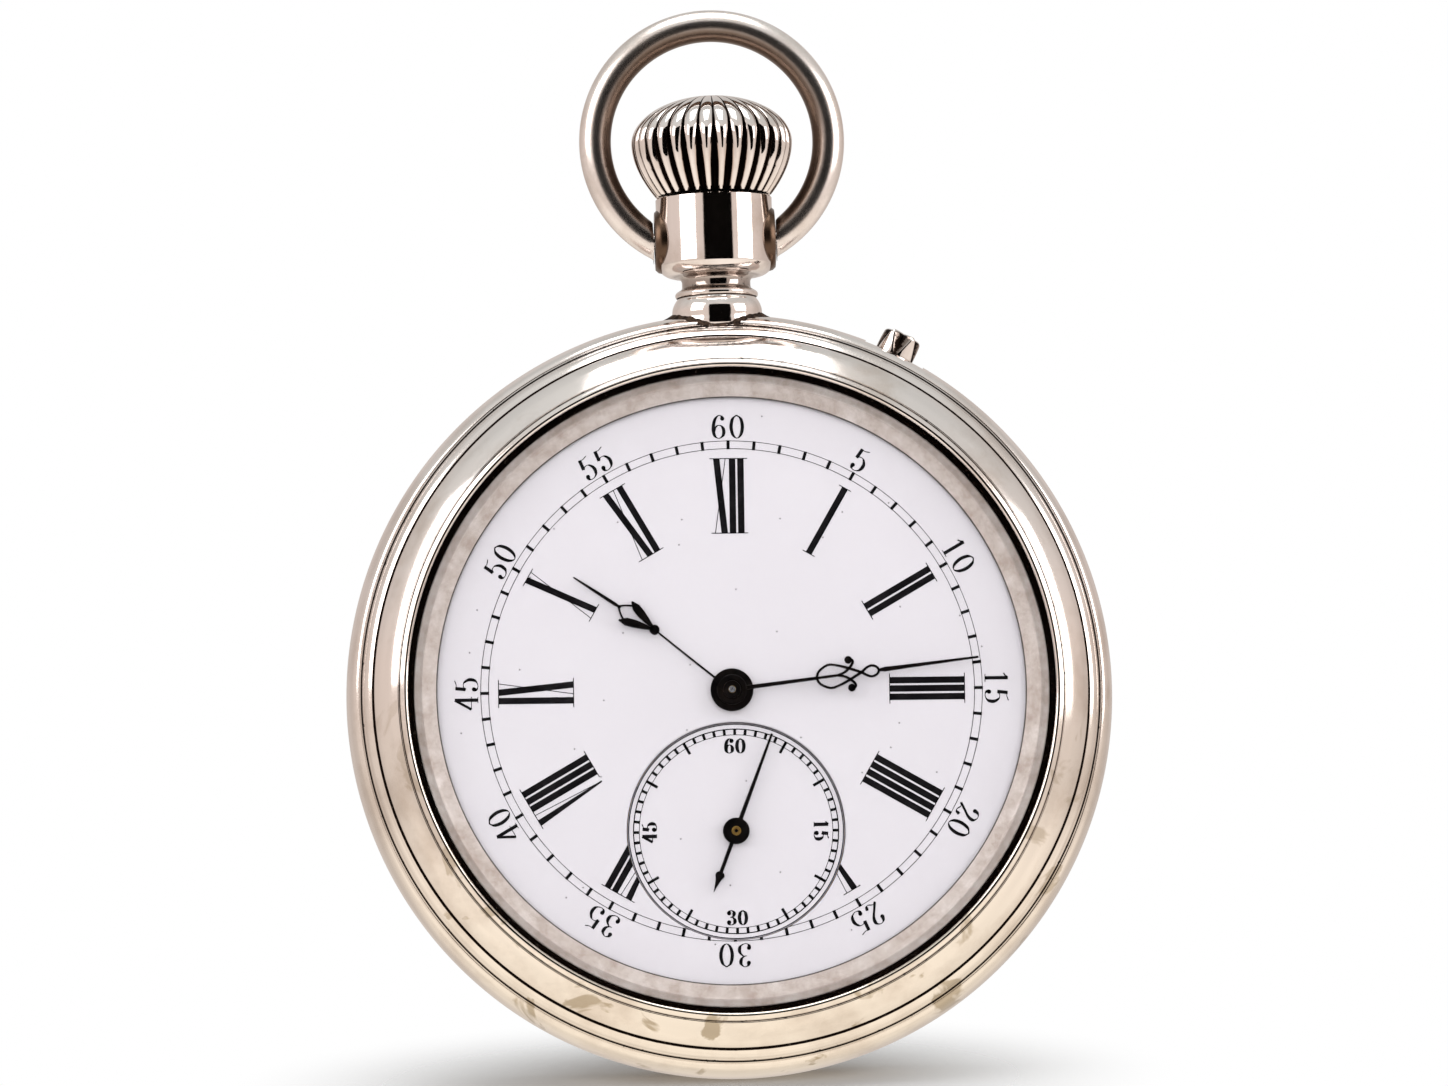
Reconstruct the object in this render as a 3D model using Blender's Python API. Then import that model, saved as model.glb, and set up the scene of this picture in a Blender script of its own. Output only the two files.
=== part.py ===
"""Open-face pocket watch, wound at its crown and set with a push pin beside the pendant.

Metres, +Z up. The dial faces -Y, 12 o'clock and the pendant point to +Z, and 3 o'clock to +X.
The origin is the middle of the flat on the case back.
Heights run along the watch's axis towards the dial, from the plane of the winding stem.
Rises run the other way, from the back face of the main plate towards the case back.
Bearings run clockwise from 12 o'clock, as the dial shows them.
"""
import math

import bmesh
import bpy
from mathutils import Vector
from mathutils.geometry import tessellate_polygon

MM = 0.001
RIGHT_ANGLE = 90.0
SMOOTH_ANGLE = 35.0

# Clearances
SEAT_GAP = 0.06 * MM
RUN_GAP = 0.06 * MM
TOOTH_GAP = 0.10 * MM
WELD = 0.0002 * MM

# Tooth counts
BARREL_TEETH = 80
CENTRE_LEAVES = 10
CENTRE_TEETH = 64
THIRD_LEAVES = 8
THIRD_TEETH = 60
FOURTH_LEAVES = 8
FOURTH_TEETH = 60
ESCAPE_LEAVES = 6
ESCAPE_TEETH = 15
CANNON_TEETH = 12
MINUTE_TEETH = 36
MINUTE_LEAVES = 10
HOUR_TEETH = 40
SETTING_TEETH = 60
WINDING_TEETH = 20
SLIDING_TEETH = 12
CROWN_WHEEL_TEETH = 28
RATCHET_TEETH = 32

# Modules: pitch diameter for each tooth
BARREL_MODULE = 0.21 * MM
CENTRE_MODULE = 0.20 * MM
THIRD_MODULE = 0.18 * MM
FOURTH_MODULE = 0.17 * MM
MOTION_MODULE = 0.14 * MM
WINDING_MODULE = 0.34 * MM
WINDING_PINION_MODULE = 0.262 * MM
SLIDING_MODULE = 0.20 * MM
TIP_MODULES = 1.0
ROOT_MODULES = 1.3
LEAF_SHARE = 1.0 / 3.0
LEAF_ROOT_SHARE = 0.9

# Plan of the movement
BARREL_BEARING = -50.0
SECONDS_DROP = 9.85 * MM
ESCAPE_BEARING = 251.0
ESCAPE_TO_PALLET = 3.85 * MM
PALLET_TO_BALANCE = 4.35 * MM
ESCAPE_RADIUS = 3.4 * MM
BALANCE_RADIUS = 6.0 * MM
BALANCE_ROOM = 0.11 * MM
PLATE_MARGIN = 1.34 * MM

# Stack of the movement
STEM_TO_PLATE = 1.4 * MM
PLATE_THICKNESS = 1.5 * MM
MOTION_SPACE = 0.85 * MM
DIAL_THICKNESS = 0.8 * MM
TRAIN_SPACE = 3.0 * MM
BRIDGE_THICKNESS = 1.0 * MM
WHEEL_THICKNESS = 0.25 * MM
PINION_OVERHANG = 0.18 * MM
BARREL_RISE = 0.2 * MM
BARREL_HEIGHT = 1.95 * MM
ESCAPE_RISE = 0.4 * MM
FOURTH_RISE = 1.05 * MM
THIRD_RISE = 1.75 * MM
CENTRE_RISE = 2.45 * MM
BALANCE_RISE = 1.75 * MM
BALANCE_RIM_HEIGHT = 0.6 * MM
BALANCE_RIM_WIDTH = 0.7 * MM
HAIRSPRING_RISE = 2.6 * MM
HAIRSPRING_HEIGHT = 0.16 * MM
PALLET_COCK_RISE = 0.95 * MM
PALLET_COCK_THICKNESS = 0.4 * MM
LEVER_RISE = 1.2 * MM
LEVER_THICKNESS = 0.4 * MM
CROWN_TEETH_DEPTH = 0.3 * MM
WINDING_THICKNESS = 0.4 * MM

# Arbors, pivots and screws
PIVOT_RADIUS = 0.20 * MM
ARBOR_RADIUS = 0.40 * MM
THIN_ARBOR_RADIUS = 0.24 * MM
PIVOT_INSET = 0.2 * MM
CENTRE_ARBOR_RADIUS = 0.36 * MM
BARREL_PIVOT_RADIUS = 0.9 * MM
BARREL_BORE_RADIUS = BARREL_PIVOT_RADIUS + 2 * RUN_GAP
BARREL_CORE_RADIUS = 1.5 * MM
BARREL_WALL = 0.5 * MM
BARREL_FLOOR = 0.3 * MM
SCREW_SHANK_RADIUS = 0.5 * MM
SCREW_HEAD_RADIUS = 0.95 * MM
SCREW_HEAD_HEIGHT = 0.35 * MM
SCREW_SLOT_WIDTH = 0.3 * MM
SCREW_HEAD_ROUND = 0.1 * MM
SCREW_SLOT_SHARE = 0.45
SCREW_BITE = 1.0 * MM
SMALL_HEAD_HEIGHT = 0.2 * MM
FOOT_RADIUS = 1.6 * MM
WHEEL_RIM = 0.55 * MM
WHEEL_HUB = 1.35 * MM
WHEEL_ARM = 0.5 * MM
WHEEL_ARM_COUNT = 4
ESCAPE_HUB = 1.1 * MM
BALANCE_ARM = 1.0 * MM
BALANCE_ARM_COUNT = 2
BARREL_FRONT_PIVOT = 0.6 * MM
BRIDGE_INSET = 0.6 * MM
FOOT_INSET = 0.4 * MM
BARREL_FOOT_BEARINGS = (76.0, -88.0)
TRAIN_FOOT_BEARINGS = (109.0, 159.0)
COCK_FOOT_BEARING = 211.0
PALLET_COCK_LENGTH = 3.3 * MM
CENTRE_PAD = 2.2 * MM
ESCAPE_PAD = 1.6 * MM
COCK_END_RADIUS = 2.1 * MM
BRIDGE_GAP = 0.3 * MM
ROLLER_RISE = 0.85 * MM
ROLLER_RADIUS = 1.3 * MM
IMPULSE_RADIUS = 0.95 * MM
IMPULSE_PIN_RADIUS = 0.15 * MM
STUD_RADIUS = 0.3 * MM
REGULATOR_LENGTH = 5.0 * MM
ESCAPE_ROOT = 2.5 * MM
CLUB_LEAN = 0.34
CLUB_WIDTH = 0.12
CLICK_PIVOT_BEARING = -75.0
CLICK_PIVOT_OUT = 1.8 * MM
CLICK_TIP_BEARING = -50.0
CLICK_BOSS_RADIUS = 0.9 * MM
CLICK_TIP_RADIUS = 0.22 * MM
CLICK_THICKNESS = 0.4 * MM
CLICK_SPRING_BEARING = -100.0
CLICK_SPRING_OUT = 4.4 * MM

# Pallet fork: distances along the lever from its pivot, and half widths
FORK_REACH = 3.1 * MM
FORK_HALF = 0.35 * MM
FORK_LENGTH = 0.7 * MM
NOTCH_DEPTH = 0.35 * MM
NOTCH_HALF = 0.13 * MM
LEVER_HALF = 0.2 * MM
LEVER_ROOT = 0.45 * MM
LEVER_ROOT_HALF = 0.25 * MM
PALLET_ARM_REACH = 2.2 * MM
PALLET_ARM_DROP = 0.05 * MM
PALLET_ARM_WIDTH = 0.4 * MM
PALLET_ARM_DEPTH = 0.25 * MM
STONE_REACH = 2.3 * MM
STONE_DROP = 0.72 * MM
STONE_WIDTH = 0.35 * MM
PALLET_BELLY_HALF = 0.4 * MM
PALLET_BELLY_DROP = 0.28 * MM

# Springs
MAINSPRING_TURNS = 5.0
MAINSPRING_THICKNESS = 0.22 * MM
MAINSPRING_MARGIN = 0.3 * MM
HAIRSPRING_TURNS = 4.5
HAIRSPRING_THICKNESS = 0.1 * MM
HAIRSPRING_INNER = 0.95 * MM
HAIRSPRING_OUTER = 3.9 * MM

# Case
CASE_FIT = 0.15 * MM
BAND_WALL = 5.35 * MM
SEAM_INSET = 1.82 * MM
STEP_INSET = 1.02 * MM
STEP_DROP = 1.2 * MM
DIAL_PROUD = 0.45 * MM
CASE_BACK_DEPTH = 3.2 * MM
REAR_SEAT_INSET = 1.4 * MM
BEZEL_WIDTH = 2.48 * MM
BEZEL_HEIGHT = 2.2 * MM
LIP_WIDTH = 0.7 * MM
LIP_THICKNESS = 0.3 * MM
CRYSTAL_BITE = 0.3 * MM
CRYSTAL_EDGE = 0.4 * MM
CRYSTAL_RISE = 1.6 * MM
CRYSTAL_THICKNESS = 0.8 * MM
DIAL_INSET = 0.2 * MM
FLANGE_COVER = 0.7 * MM
FLANGE_HEIGHT = 0.75 * MM
FLANGE_EDGE = 0.2 * MM
CHANNEL = 0.4 * MM
BACK_RIM_INSET = 0.08 * MM
BACK_WALL = 0.6 * MM
BACK_SHOULDER = 1.0 * MM
BACK_SHOULDER_HEIGHT = 1.4 * MM
BACK_HEIGHT = 3.4 * MM
BACK_FLAT_RADIUS = 9.0 * MM
DUST_RIM_INSET = 2.0 * MM
DUST_THICKNESS = 0.35 * MM
DUST_RISE = 1.1 * MM
HINGE_INSIDE = 0.2 * MM
DUST_HINGE_OUT = 0.2 * MM
HINGE_BELOW = 0.3 * MM
KNUCKLE_RADIUS = 0.8 * MM
DUST_KNUCKLE_RADIUS = 0.5 * MM
HINGE_PIN_RADIUS = 0.32 * MM
DUST_PIN_RADIUS = 0.16 * MM
CASE_KNUCKLE = 3.6 * MM
COVER_KNUCKLE = 3.0 * MM
DUST_CASE_KNUCKLE = 2.4 * MM
DUST_COVER_KNUCKLE = 1.8 * MM

# Pendant, bow, crown and stem
PENDANT_FOOT_RADIUS = 3.2 * MM
PENDANT_BEAD_RADIUS = 2.95 * MM
PENDANT_NECK_RADIUS = 2.45 * MM
SLEEVE_RADIUS = 4.11 * MM
FOOT_HEIGHT = 1.3 * MM
FOOT_SINK = 2.2 * MM
BEAD_HEIGHT = 0.5 * MM
NECK_HEIGHT = 1.0 * MM
NECK_COVE = 0.35 * MM
SLEEVE_CHAMFER = 0.6 * MM
SLEEVE_HEIGHT = 5.0 * MM
BOW_PIVOT_DROP = 3.0 * MM
BOW_PIVOT_RADIUS = 0.6 * MM
BOW_PIVOT_BITE = 0.9 * MM
BOW_RADIUS = 8.26 * MM
BOW_WIRE_RADIUS = 1.125 * MM
BOW_GAP = 0.25 * MM
CROWN_RIB_COUNT = 30
CROWN_RIB_DEPTH = 0.45 * MM
CROWN_RADIUS = 5.69 * MM
CROWN_BOTTOM_RADIUS = 4.1 * MM
CROWN_HEIGHT = 7.1 * MM
CROWN_WAIST = 4.1 * MM
CROWN_GAP = 0.15 * MM
CROWN_BORE_DEPTH = 4.2 * MM
STEM_RADIUS = 0.6 * MM
STEM_TAIL = 2.0 * MM
WINDING_PINION_LENGTH = 1.0 * MM
SLIDING_PINION_LENGTH = 2.2 * MM
GROOVE_RADIUS = 0.85 * MM
GROOVE_WIDTH = 0.9 * MM
CONTRATE_WIDTH = 0.65 * MM
CONTRATE_SHARE = 1.0 / 3.0

# Set pin and its lever
PIN_BEARING = 27.5
PIN_HEAD_RADIUS = 1.4 * MM
PIN_HEAD_ROUND = 0.35 * MM
PIN_SHANK_RADIUS = 0.7 * MM
PIN_PROUD = 1.2 * MM
PIN_TRAVEL = 0.9 * MM
PIN_REACH = 1.1 * MM
PIN_FLAT_DEPTH = 0.4 * MM
PIN_FLAT_WIDTH = 4.5 * MM
LEVER_PIVOT_BEARING = 61.0
LEVER_PIVOT_INSET = 2.0 * MM
LEVER_BOSS_RADIUS = 0.95 * MM
LEVER_POST_RADIUS = 0.5 * MM
WHEEL_POST_RADIUS = 0.25 * MM
LEVER_ARM_RADIUS = 0.5 * MM
LEVER_FINGER_RADIUS = 0.22 * MM
FINGER_ROOM = 0.7 * MM

# Dial and hands
SECONDS_DIAL_RADIUS = 7.64 * MM
SECONDS_DIAL_THICKNESS = 0.45 * MM
SECONDS_HOLE_RADIUS = 0.4 * MM
DIAL_HOLE_RADIUS = 1.15 * MM
DIAL_FOOT_RADIUS = 0.4 * MM
DIAL_FOOT_LENGTH = 1.6 * MM
DIAL_FOOT_INSET = 1.7 * MM
DIAL_FOOT_BEARINGS = (45.0, 165.0, 285.0)
HAND_THICKNESS = 0.14 * MM
HAND_GAP = 0.22 * MM
SECONDS_HAND_LIFT = 0.12 * MM
HOUR_BEARING = 304.5
MINUTE_BEARING = 83.3
SECONDS_BEARING = 20.4
HOUR_LENGTH = 13.6 * MM
HOUR_BOSS = 1.5 * MM
HOUR_ORNAMENT = 7.47 * MM
HOUR_ORNAMENT_LENGTH = 2.4 * MM
HOUR_ORNAMENT_HALF = 0.84 * MM
HOUR_BULB_RADIUS = 0.35 * MM
HOUR_SKEW = 0.8
MINUTE_LENGTH = 17.4 * MM
MINUTE_BOSS = 1.06 * MM
MINUTE_ORNAMENT = 5.98 * MM
MINUTE_LOOP_LENGTH = 3.2 * MM
MINUTE_LOOP_HALF = 0.87 * MM
MINUTE_SMALL_LOOP = 1.16 * MM
MINUTE_SMALL_HALF = 0.42 * MM
MINUTE_SKEW = 1.3
SECONDS_HAND_INSET = 0.39 * MM
SECONDS_TAIL = 4.57 * MM
SECONDS_BOSS = 0.93 * MM
SECONDS_LEAF = 1.5 * MM
SECONDS_LEAF_HALF = 0.35 * MM
HAND_STEM_HALF = 0.22 * MM
HAND_TIP_HALF = 0.07 * MM
ORNAMENT_WALL = 0.24 * MM
CANNON_PIPE_RADIUS = 0.62 * MM
HOUR_PIPE_RADIUS = 0.95 * MM

# Facets
RING_SIDES = 32
NECK_SIDES = 16
SHAFT_SIDES = 8
BOW_SIDES = 8
BOW_STEPS = 28
DOME_STEPS = 3
TURN_STEPS = 12
LEAF_STEPS = 5
RIM_STEPS = 12
CROWN_STEPS = 3
ELBOW_STEPS = 2
FINGER_STEPS = 4

MATERIALS = {
    "silver": ((0.72, 0.66, 0.60), 0.16, 1.0),
    "dull_metal": ((0.50, 0.44, 0.40), 0.45, 1.0),
    "gilt_brass": ((0.72, 0.52, 0.24), 0.30, 1.0),
    "steel": ((0.55, 0.55, 0.57), 0.25, 1.0),
    "black_steel": ((0.02, 0.02, 0.025), 0.30, 0.6),
    "blued_steel": ((0.03, 0.05, 0.16), 0.25, 1.0),
    "enamel": ((0.86, 0.85, 0.88), 0.12, 0.0),
    "glass": ((0.95, 0.97, 0.98), 0.03, 0.0),
    "ruby": ((0.50, 0.04, 0.10), 0.10, 0.0),
}


def bearing_point(distance, degrees, start=(0.0, 0.0)):
    """A point on the plan at a distance and a clockwise bearing from a start point."""
    angle = math.radians(degrees)
    return (start[0] + distance * math.sin(angle), start[1] + distance * math.cos(angle))


def plan_distance(first, second):
    """Distance between two points of the plan."""
    return math.hypot(second[0] - first[0], second[1] - first[1])


def plan_angle(first, second):
    """Angle of the line between two points, anticlockwise from 3 o'clock."""
    return math.atan2(second[1] - first[1], second[0] - first[0])


def crossing(first, first_radius, second, second_radius):
    """The point at two given distances from two points, to the right of the line between them."""
    span = plan_distance(first, second)
    along = (first_radius ** 2 - second_radius ** 2 + span ** 2) / (2 * span)
    aside = math.sqrt(first_radius ** 2 - along ** 2)
    ux = (second[0] - first[0]) / span
    uz = (second[1] - first[1]) / span
    return (first[0] + along * ux - aside * uz, first[1] + along * uz + aside * ux)


def pitch_radius(teeth, module):
    """Pitch radius of a wheel."""
    return teeth * module / 2


def circle(radius, sides=SHAFT_SIDES, centre=(0.0, 0.0)):
    """Outline of a circle on the plan."""
    step = 2 * math.pi / sides
    return tuple((centre[0] + radius * math.cos(k * step), centre[1] + radius * math.sin(k * step))
                 for k in range(sides))


def arc(radius, start, end, steps, centre=(0.0, 0.0)):
    """Points on an arc between two angles in radians, both ends included."""
    angles = [start + (end - start) * k / steps for k in range(steps + 1)]
    return [(centre[0] + radius * math.cos(a), centre[1] + radius * math.sin(a)) for a in angles]


def gear(teeth, module, phase):
    """Outline of a toothed wheel with pointed teeth, one of them at the angle phase."""
    tip = pitch_radius(teeth, module) + TIP_MODULES * module
    root = pitch_radius(teeth, module) - ROOT_MODULES * module
    step = math.pi / teeth
    return tuple((r * math.cos(phase + k * step), r * math.sin(phase + k * step))
                 for k, r in ((k, root if k % 2 else tip) for k in range(2 * teeth)))


def pinion(leaves, module, phase):
    """Outline of a pinion whose leaves have parallel sides and square tips."""
    tip = pitch_radius(leaves, module) + TIP_MODULES * module
    root = pitch_radius(leaves, module) - ROOT_MODULES * module
    half = math.pi / leaves * LEAF_SHARE
    root_half = min(half * tip / root, math.pi / leaves * LEAF_ROOT_SHARE)
    points = []
    for k in range(leaves):
        centre = phase + 2 * math.pi * k / leaves
        for radius, offset in ((root, -root_half), (tip, -half / 2), (tip, half / 2), (root, root_half)):
            points.append((radius * math.cos(centre + offset), radius * math.sin(centre + offset)))
    return tuple(points)


def mesh_phase(teeth, phase, angle, other_teeth):
    """Phase of a wheel whose gap takes the tooth of the wheel before it, across the angle between them."""
    step = 2 * math.pi / teeth
    share = ((angle - phase) / step) % 1.0
    other_step = 2 * math.pi / other_teeth
    return angle + math.pi + (share + 0.5) * other_step


def windows(rim_radius, hub_radius, arm_width, arms, phase=0.0):
    """Outlines of the openings between the arms of a wheel."""
    outlines = []
    step = 2 * math.pi / arms
    for k in range(arms):
        first = phase + k * step
        outer_half = arm_width / 2 / rim_radius
        inner_half = arm_width / 2 / hub_radius
        outer = arc(rim_radius, first + outer_half, first + step - outer_half, round(RIM_STEPS / arms))
        inner = arc(hub_radius, first + step - inner_half, first + inner_half, 1)
        outlines.append(tuple(outer + inner))
    return outlines


def tapered_bar(first, first_radius, second, second_radius, steps=LEAF_STEPS):
    """Outline of a bar with two round ends of different radius."""
    angle = plan_angle(first, second)
    lean = math.acos((first_radius - second_radius) / plan_distance(first, second))
    near = arc(first_radius, angle + lean, angle + 2 * math.pi - lean, steps, first)
    far = arc(second_radius, angle - lean, angle + lean, steps, second)
    return tuple(near + far)


def leaf(start, length, half, base, skew=1.0):
    """One side of a leaf along a hand: (distance, half width) pairs between two narrow ends."""
    shares = [k / LEAF_STEPS for k in range(LEAF_STEPS + 1)]
    return [(start + length * t, base + (half - base) * math.sin(math.pi * t ** skew)) for t in shares]


def both_sides(side):
    """A closed outline along 12 o'clock from one side's (distance, half width) pairs."""
    right = [(half, along) for along, half in side]
    left = [(-half, along) for along, half in reversed(side) if half > 0]
    return tuple(right + left)


def swing(points, degrees):
    """Points turned clockwise by a bearing."""
    angle = math.radians(degrees)
    return tuple((x * math.cos(angle) + z * math.sin(angle), z * math.cos(angle) - x * math.sin(angle))
                 for x, z in points)


def shifted(outline, offset):
    """An outline moved on the plan."""
    return tuple((x + offset[0], z + offset[1]) for x, z in outline)


def holds(outline, point):
    """Whether an outline goes round a point."""
    inside = False
    for (x0, z0), (x1, z1) in zip(outline, outline[1:] + outline[:1]):
        if (z0 > point[1]) != (z1 > point[1]):
            if point[0] < (x1 - x0) * (point[1] - z0) / (z1 - z0) + x0:
                inside = not inside
    return inside


def finish_mesh(name, work):
    """Welded mesh of a working bmesh, with its faces pointing out."""
    bmesh.ops.remove_doubles(work, verts=work.verts, dist=WELD)
    bmesh.ops.recalc_face_normals(work, faces=work.faces)
    mesh = bpy.data.meshes.new(name)
    work.to_mesh(mesh)
    work.free()
    return mesh


def fill(work, loops, height):
    """Flat faces at one height between outlines that lie in or beside each other."""
    depths = [sum(holds(other, loop[0]) for other in loops if other is not loop) for loop in loops]
    for outer, depth in zip(loops, depths):
        if depth % 2:
            continue
        inner = [loop for loop, d in zip(loops, depths) if d == depth + 1 and holds(outer, loop[0])]
        rings = [outer] + inner
        corners = [work.verts.new((x, z, height)) for ring in rings for x, z in ring]
        for triangle in tessellate_polygon([[Vector((x, z, 0.0)) for x, z in ring] for ring in rings]):
            work.faces.new([corners[k] for k in triangle])


def stacked(name, layers):
    """Solid of layers (low, high, outlines), listed from the back to the front without a gap."""
    work = bmesh.new()
    below = []
    for low, high, loops in layers:
        for loop in loops:
            bottom = [work.verts.new((x, z, low)) for x, z in loop]
            top = [work.verts.new((x, z, high)) for x, z in loop]
            for k in range(len(loop)):
                n = (k + 1) % len(loop)
                work.faces.new((bottom[k], bottom[n], top[n], top[k]))
        step = [loop for loop in below if loop not in loops] + [loop for loop in loops if loop not in below]
        fill(work, step, low)
        below = loops
    fill(work, below, layers[-1][1])
    return finish_mesh(name, work)


def lofted(name, rings):
    """Closed solid through rings of points, the last joined to the first. A ring of one point is a pole."""
    work = bmesh.new()
    loops = [[work.verts.new(point) for point in ring] for ring in rings]
    for low, high in zip(loops, loops[1:] + loops[:1]):
        for k in range(max(len(low), len(high))):
            n = k + 1
            corners = (low[k % len(low)], low[n % len(low)], high[n % len(high)], high[k % len(high)])
            distinct = list(dict.fromkeys(corners))
            if len(distinct) > 2:
                work.faces.new(distinct)
    return finish_mesh(name, work)


def turned(name, profile, sides=RING_SIDES):
    """Solid turned about local Z from a closed profile of (radius, height) points."""
    step = 2 * math.pi / sides
    rings = []
    for radius, height in profile:
        count = sides if radius > WELD else 1
        rings.append([(radius * math.cos(k * step), radius * math.sin(k * step), height)
                      for k in range(count)])
    return lofted(name, rings)


def rod(name, radius, low, high, sides=SHAFT_SIDES):
    """Plain cylinder along local Z."""
    return turned(name, [(0.0, low), (radius, low), (radius, high), (0.0, high)], sides)


def block(name, low, high):
    """Plain box between two corners."""
    work = bmesh.new()
    bmesh.ops.create_cube(work, size=1.0)
    for vertex in work.verts:
        vertex.co = [l + (h - l) * (c + 0.5) for l, h, c in zip(low, high, vertex.co)]
    return finish_mesh(name, work)


def swept(name, rings):
    """Solid between rings of points that follow each other, with flat ends."""
    work = bmesh.new()
    loops = [[work.verts.new(point) for point in ring] for ring in rings]
    for near, far in zip(loops, loops[1:]):
        for k in range(len(near)):
            n = (k + 1) % len(near)
            work.faces.new((near[k], near[n], far[n], far[k]))
    work.faces.new(loops[0])
    work.faces.new(loops[-1])
    return finish_mesh(name, work)


def material(name):
    """Principled material of the table's colour, roughness and metallic value."""
    made = bpy.data.materials.get(name)
    if made is None:
        colour, roughness, metallic = MATERIALS[name]
        made = bpy.data.materials.new(name)
        made.use_nodes = True
        shader = made.node_tree.nodes["Principled BSDF"]
        shader.inputs["Base Color"].default_value = (*colour, 1.0)
        shader.inputs["Roughness"].default_value = roughness
        shader.inputs["Metallic"].default_value = metallic
    return made


def place(name, mesh, finish, parent, location=(0.0, 0.0, 0.0), turn=(0.0, 0.0, 0.0)):
    """Named object of a mesh, with its material and place."""
    made = bpy.data.objects.new(name, mesh)
    bpy.context.scene.collection.objects.link(made)
    made.parent = parent
    made.location = location
    made.rotation_euler = turn
    mesh.materials.append(material(finish))
    mesh.shade_smooth()
    mesh.set_sharp_from_angle(angle=math.radians(SMOOTH_ANGLE))
    return made


def place_on_dial_axis(name, mesh, finish, parent, centre=(0.0, 0.0)):
    """Object whose local Z points out of the dial, at a point of the plan."""
    return place(name, mesh, finish, parent, (centre[0], 0.0, centre[1]), (math.pi / 2, 0.0, 0.0))


def shape_with(target, operation, mesh, location=(0.0, 0.0, 0.0), turn=(0.0, 0.0, 0.0)):
    """Boolean with a hidden helper solid that shares the target's parent."""
    helper = bpy.data.objects.new(mesh.name, mesh)
    bpy.context.scene.collection.objects.link(helper)
    helper.parent = target.parent
    helper.location = location
    helper.rotation_euler = turn
    helper.hide_render = True
    helper.display_type = "WIRE"
    step = target.modifiers.new(mesh.name, "BOOLEAN")
    step.operation = operation
    step.solver = "MANIFOLD"
    step.object = helper
    return target


DIAL_TURN = (math.pi / 2, 0.0, 0.0)
ACROSS_TURN = (0.0, math.pi / 2, 0.0)
PIN_TURN = (0.0, math.radians(PIN_BEARING), 0.0)

# Plan worked out from the train
CENTRE = (0.0, 0.0)
BARREL_DISTANCE = pitch_radius(BARREL_TEETH + CENTRE_LEAVES, BARREL_MODULE)
BARREL = bearing_point(BARREL_DISTANCE, BARREL_BEARING)
BARREL_RADIUS = pitch_radius(BARREL_TEETH, BARREL_MODULE)
DRUM_RADIUS = BARREL_RADIUS - ROOT_MODULES * BARREL_MODULE - RUN_GAP
FOURTH = (0.0, -SECONDS_DROP)
THIRD = crossing(CENTRE, pitch_radius(CENTRE_TEETH + THIRD_LEAVES, CENTRE_MODULE),
                 FOURTH, pitch_radius(THIRD_TEETH + FOURTH_LEAVES, THIRD_MODULE))
ESCAPE = bearing_point(pitch_radius(FOURTH_TEETH + ESCAPE_LEAVES, FOURTH_MODULE), ESCAPE_BEARING, FOURTH)
BALANCE = crossing(ESCAPE, ESCAPE_TO_PALLET + PALLET_TO_BALANCE,
                   BARREL, DRUM_RADIUS + BALANCE_ROOM + BALANCE_RADIUS)
LEVER_BEARING = RIGHT_ANGLE - math.degrees(plan_angle(ESCAPE, BALANCE))
PALLET = bearing_point(ESCAPE_TO_PALLET, LEVER_BEARING, ESCAPE)
MINUTE_WHEEL = (0.0, pitch_radius(CANNON_TEETH + MINUTE_TEETH, MOTION_MODULE))
HOUR_MODULE = 2 * MINUTE_WHEEL[1] / (MINUTE_LEAVES + HOUR_TEETH)
SETTING_WHEEL = (0.0, MINUTE_WHEEL[1] + pitch_radius(MINUTE_TEETH + SETTING_TEETH, MOTION_MODULE))
CROWN_WHEEL_RADIUS = pitch_radius(CROWN_WHEEL_TEETH, WINDING_MODULE)
WINDING_SPAN = pitch_radius(CROWN_WHEEL_TEETH + RATCHET_TEETH, WINDING_MODULE)
CROWN_WHEEL = (0.0, BARREL[1] + math.sqrt(WINDING_SPAN ** 2 - BARREL[0] ** 2))
WINDING_TIP = pitch_radius(WINDING_TEETH, WINDING_PINION_MODULE) + TIP_MODULES * WINDING_PINION_MODULE
CONTRATE_RADIUS = CROWN_WHEEL_RADIUS - ROOT_MODULES * WINDING_MODULE - RUN_GAP
TRAIN_REACH = max(BARREL_DISTANCE + BARREL_RADIUS + BARREL_MODULE,
                  plan_distance(CENTRE, BALANCE) + BALANCE_RADIUS)
PLATE_RADIUS = TRAIN_REACH + PLATE_MARGIN
BRIDGE_RADIUS = PLATE_RADIUS - BRIDGE_INSET

# Heights worked out from the stack
PLATE_BACK = STEM_TO_PLATE
PLATE_FRONT = PLATE_BACK + PLATE_THICKNESS
DIAL_BACK = PLATE_FRONT + MOTION_SPACE
DIAL_FRONT = DIAL_BACK + DIAL_THICKNESS
BRIDGE_FRONT = PLATE_BACK - TRAIN_SPACE
BRIDGE_BACK = BRIDGE_FRONT - BRIDGE_THICKNESS
CASE_FRONT = DIAL_FRONT - DIAL_PROUD
CASE_BACK = -CASE_BACK_DEPTH
LIP_FRONT = CASE_FRONT + BEZEL_HEIGHT
BACK_OUTSIDE = CASE_BACK - BACK_HEIGHT
WINDING_FRONT = BRIDGE_BACK - SEAT_GAP - CROWN_TEETH_DEPTH
WINDING_BACK = WINDING_FRONT - WINDING_THICKNESS

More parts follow.
